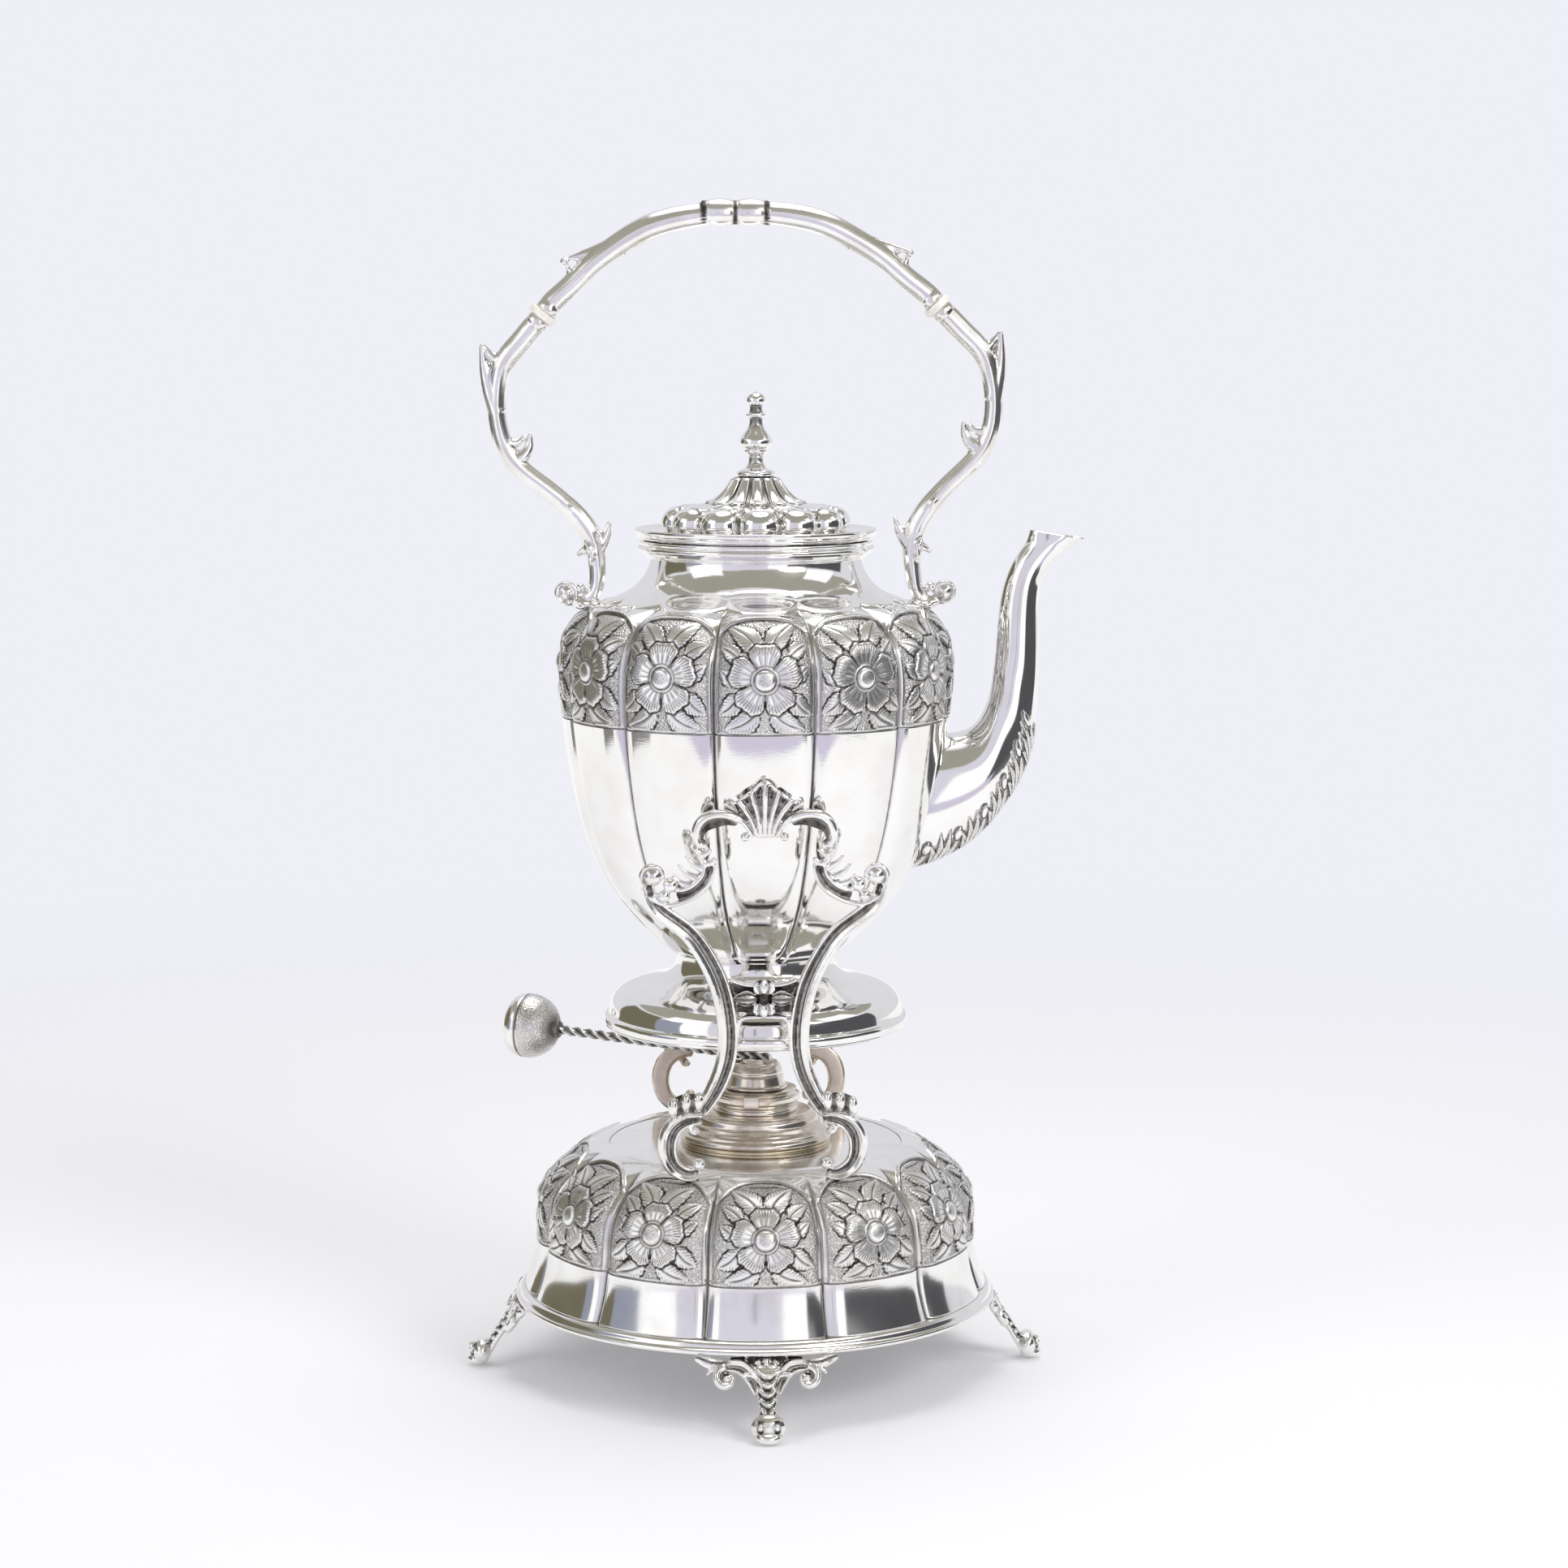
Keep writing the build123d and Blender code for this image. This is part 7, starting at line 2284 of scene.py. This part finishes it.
            ring.masks["ink"] = np.full(len(ring.points), 0.95)
            shape += ring.moved(lie, (middle[0] + offset, middle[1], 0.0))
        return shape

    def make(self, cast: bpy.types.Material, pale: bpy.types.Material) -> None:
        """Makes the handle's pieces."""
        plane = Plane((0.0, 0.0, 0.0), (1.0, 0.0, 0.0), (0.0, 0.0, 1.0))
        recipe = Cast(voxel=0.46, smooth=2, span=9, gain=3.0)
        for side, name in ((-1, "left"), (1, "right")):
            piece = recipe.make(plane.place(self.arm(side)), f"handle_arm_{name}_cast", cast)
            attach(piece, Body.KETTLE, Slot.KETTLE, f"handle_arm_{name}")
        attach(recipe.make(plane.place(self.grip()), "handle_grip_cast", cast), Body.KETTLE, Slot.KETTLE, "handle_grip")
        for name in ("insulator_left", "insulator_right"):
            repaint(name, pale)
        repaint("insulator_dowels", pale)


# ---------------------------------------------------------------- lid
LID_ROWS = (
    (-0.12, 0.960, 0.92), (0.00, 0.994, 0.95), (0.14, 1.000, 0.98), (0.31, 0.955, 1.08), (0.42, 0.850, 1.02),
    (0.48, 0.655, 0.78), (0.56, 0.475, 0.52), (0.74, 0.345, 0.36), (0.90, 0.280, 0.28), (1.00, 0.248, 0.22),
    (1.10, 0.225, 0.18),
)


@dataclass(frozen=True)
class Lid:
    """The gadrooned lid: twelve balls round its edge, flutes above them, a rim and a finial."""

    form: LobedForm = LobedForm(288.6, 17.6, 30.6, 4.0, LID_ROWS, 2.2)

    def lobe(self) -> Shape:
        """One lobe of the lid, centred on +X, with its inside."""
        profile = self.form.profile(130)
        across = np.linspace(-1.0, 1.0, 37)
        half = profile[:, 1] * HALF_LOBE
        u = half[:, None] * across[None]
        share = np.broadcast_to(across, u.shape)
        length = np.concatenate([[0.0], np.cumsum(np.linalg.norm(np.diff(profile[:, :2], axis=0), axis=1))])
        v = np.repeat(length[:, None], len(across), axis=1)
        bulge = np.clip(1 - ((v - 4.4) / 5.6) ** 2, 0, 1) * np.clip(1 - (share / 0.9) ** 2, 0, 1)
        height = 1.4 * np.sqrt(bulge)
        arch = 10.4 - 6.8 * share**2
        line = np.exp(-(((v - arch) / 0.40) ** 2))
        rim = np.exp(-(((v - arch - 1.0) / 0.55) ** 2))
        height = height - 0.45 * line + 0.30 * rim
        tongue_foot = 18.4 + 3.0 * (1 - np.sqrt(np.clip(1 - (share / 0.86) ** 2, 0, 1)))
        tongue = step(0.0, 0.8, v - tongue_foot) * step(0.86, 0.74, np.abs(share))
        outline = np.exp(-(((np.abs(share) - 0.86) * half[:, None] / 0.30) ** 2)) * step(-0.5, 0.5, v - tongue_foot)
        foot = np.exp(-(((v - tongue_foot) / 0.40) ** 2)) * step(0.92, 0.84, np.abs(share))
        scoop = 1 - (share / 0.80) ** 2
        height = height + tongue * (0.15 + 0.45 * np.clip(scoop, 0, 1)) - 0.35 * outline - 0.35 * foot
        # the cut lines are darkened with painted shade and tarnish, and each valley with a line of painted shade
        ink = np.maximum.reduce([0.85 * line, 0.8 * outline, 0.85 * foot, 0.8 * np.exp(-(((1 - np.abs(share)) * half[:, None] / 0.45) ** 2))])
        height = height * step(0.0, 0.12, 1 - np.abs(share)) * step(0.0, 1.5, v) * step(0.0, 1.0, length[-1] - v)
        front = self.form.sector(profile, across, height)
        back_rows = profile[::-1][::8].copy()
        back_rows[:, 0] = np.maximum(back_rows[:, 0] - 1.0, self.form.bottom - 1.5)
        back_rows[:, 1:] = np.maximum(back_rows[:, 1:] - 1.0, 1.8)
        back = self.form.sector(back_rows, across)
        grid = np.concatenate([front, back, front[:1]])
        return sheet_of(grid, masks={"ink": np.concatenate([ink, np.zeros(back.shape[:2]), ink[:1]])})

    def make(self, finish: bpy.types.Material) -> None:
        """Makes the lid's pieces."""
        ring = Ring().make(build_object(self.lobe(), "sector", sharp=75), "lid_gadroons", finish)
        attach(ring, Body.LID, Slot.LID, "lid")
        low, high = 285.7, 288.6
        rim = rounded([
            (24.6, low), (39.4, low), (40.1, low + 0.6), (40.0, low + 1.1), (40.6, low + 1.9), (40.9, low + 2.7),
            (40.7, high + 0.6), (39.9, high + 0.6), (39.2, high + 0.1), (37.0, high - 0.1), (31.5, high),
            (24.6, high), (24.6, low),
        ], 0.5)
        plate = build_object(lathe(rim, 200), "lid_rim", finish)
        attach(welded(plate), Body.LID, Slot.LID, "lid")
        rows = (
            (0.00, 5.6), (0.010, 6.35), (0.050, 6.6), (0.075, 6.1), (0.090, 5.2), (0.105, 3.7), (0.135, 3.3), (0.165, 2.6),
            (0.215, 2.3), (0.255, 2.6), (0.275, 3.6), (0.300, 4.1), (0.330, 4.0), (0.350, 5.0), (0.400, 5.55), (0.440, 5.4),
            (0.490, 4.6), (0.550, 3.3), (0.610, 2.3), (0.655, 2.1), (0.690, 2.15), (0.700, 3.0), (0.722, 3.7), (0.745, 3.1),
            (0.760, 2.3), (0.800, 1.95), (0.835, 2.1), (0.850, 2.9), (0.885, 3.3), (0.930, 3.1), (0.970, 2.1), (1.0, 0.0),
        )
        base, tall = 306.2, 28.8
        profile = [(0.0, base)] + [(radius, base + share * tall) for share, radius in rows]
        shape = lathe(rounded(profile, 0.5, 4), 96)
        height = (shape.points[:, 2] - base) / tall
        radius = np.hypot(shape.points[:, 0], shape.points[:, 1])
        # the finial's narrow necks are darkened: painted shade
        shape.masks["ink"] = 0.75 * step(3.0, 2.0, radius) * (height > 0.1) * (height < 0.9)
        finial = build_object(shape, "finial_turned", finish)
        attach(welded(finial), Body.LID, Slot.LID, "finial")
        for name in ("lid_bezel", "finial_nut", "hinge_leaf_lid", "hinge_pin"):
            repaint(name, finish)


def main() -> None:
    """Builds the studio and every sub-assembly in order."""
    Studio().make()
    finishes = Finishes()
    Base().make(finishes.stand)
    log.info("base made")
    Foot().make(finishes.cast)
    Bracket().make(finishes.cast, finishes.rear)
    Rosette().make(finishes.cast)
    for name in ("pivot_pin_front", "pivot_pin_rear"):
        repaint(name, finishes.stand)
    log.info("feet and brackets made")
    Lamp().make(finishes)
    log.info("lamp made")
    KettleBody().make(finishes.kettle)
    Spout().make(finishes.kettle)
    log.info("kettle made")
    Bail().make(finishes.cast, finishes.insulator)
    log.info("handle made")
    Lid().make(finishes.lid)
    log.info("lid made")


if __name__ == "__main__":
    main()
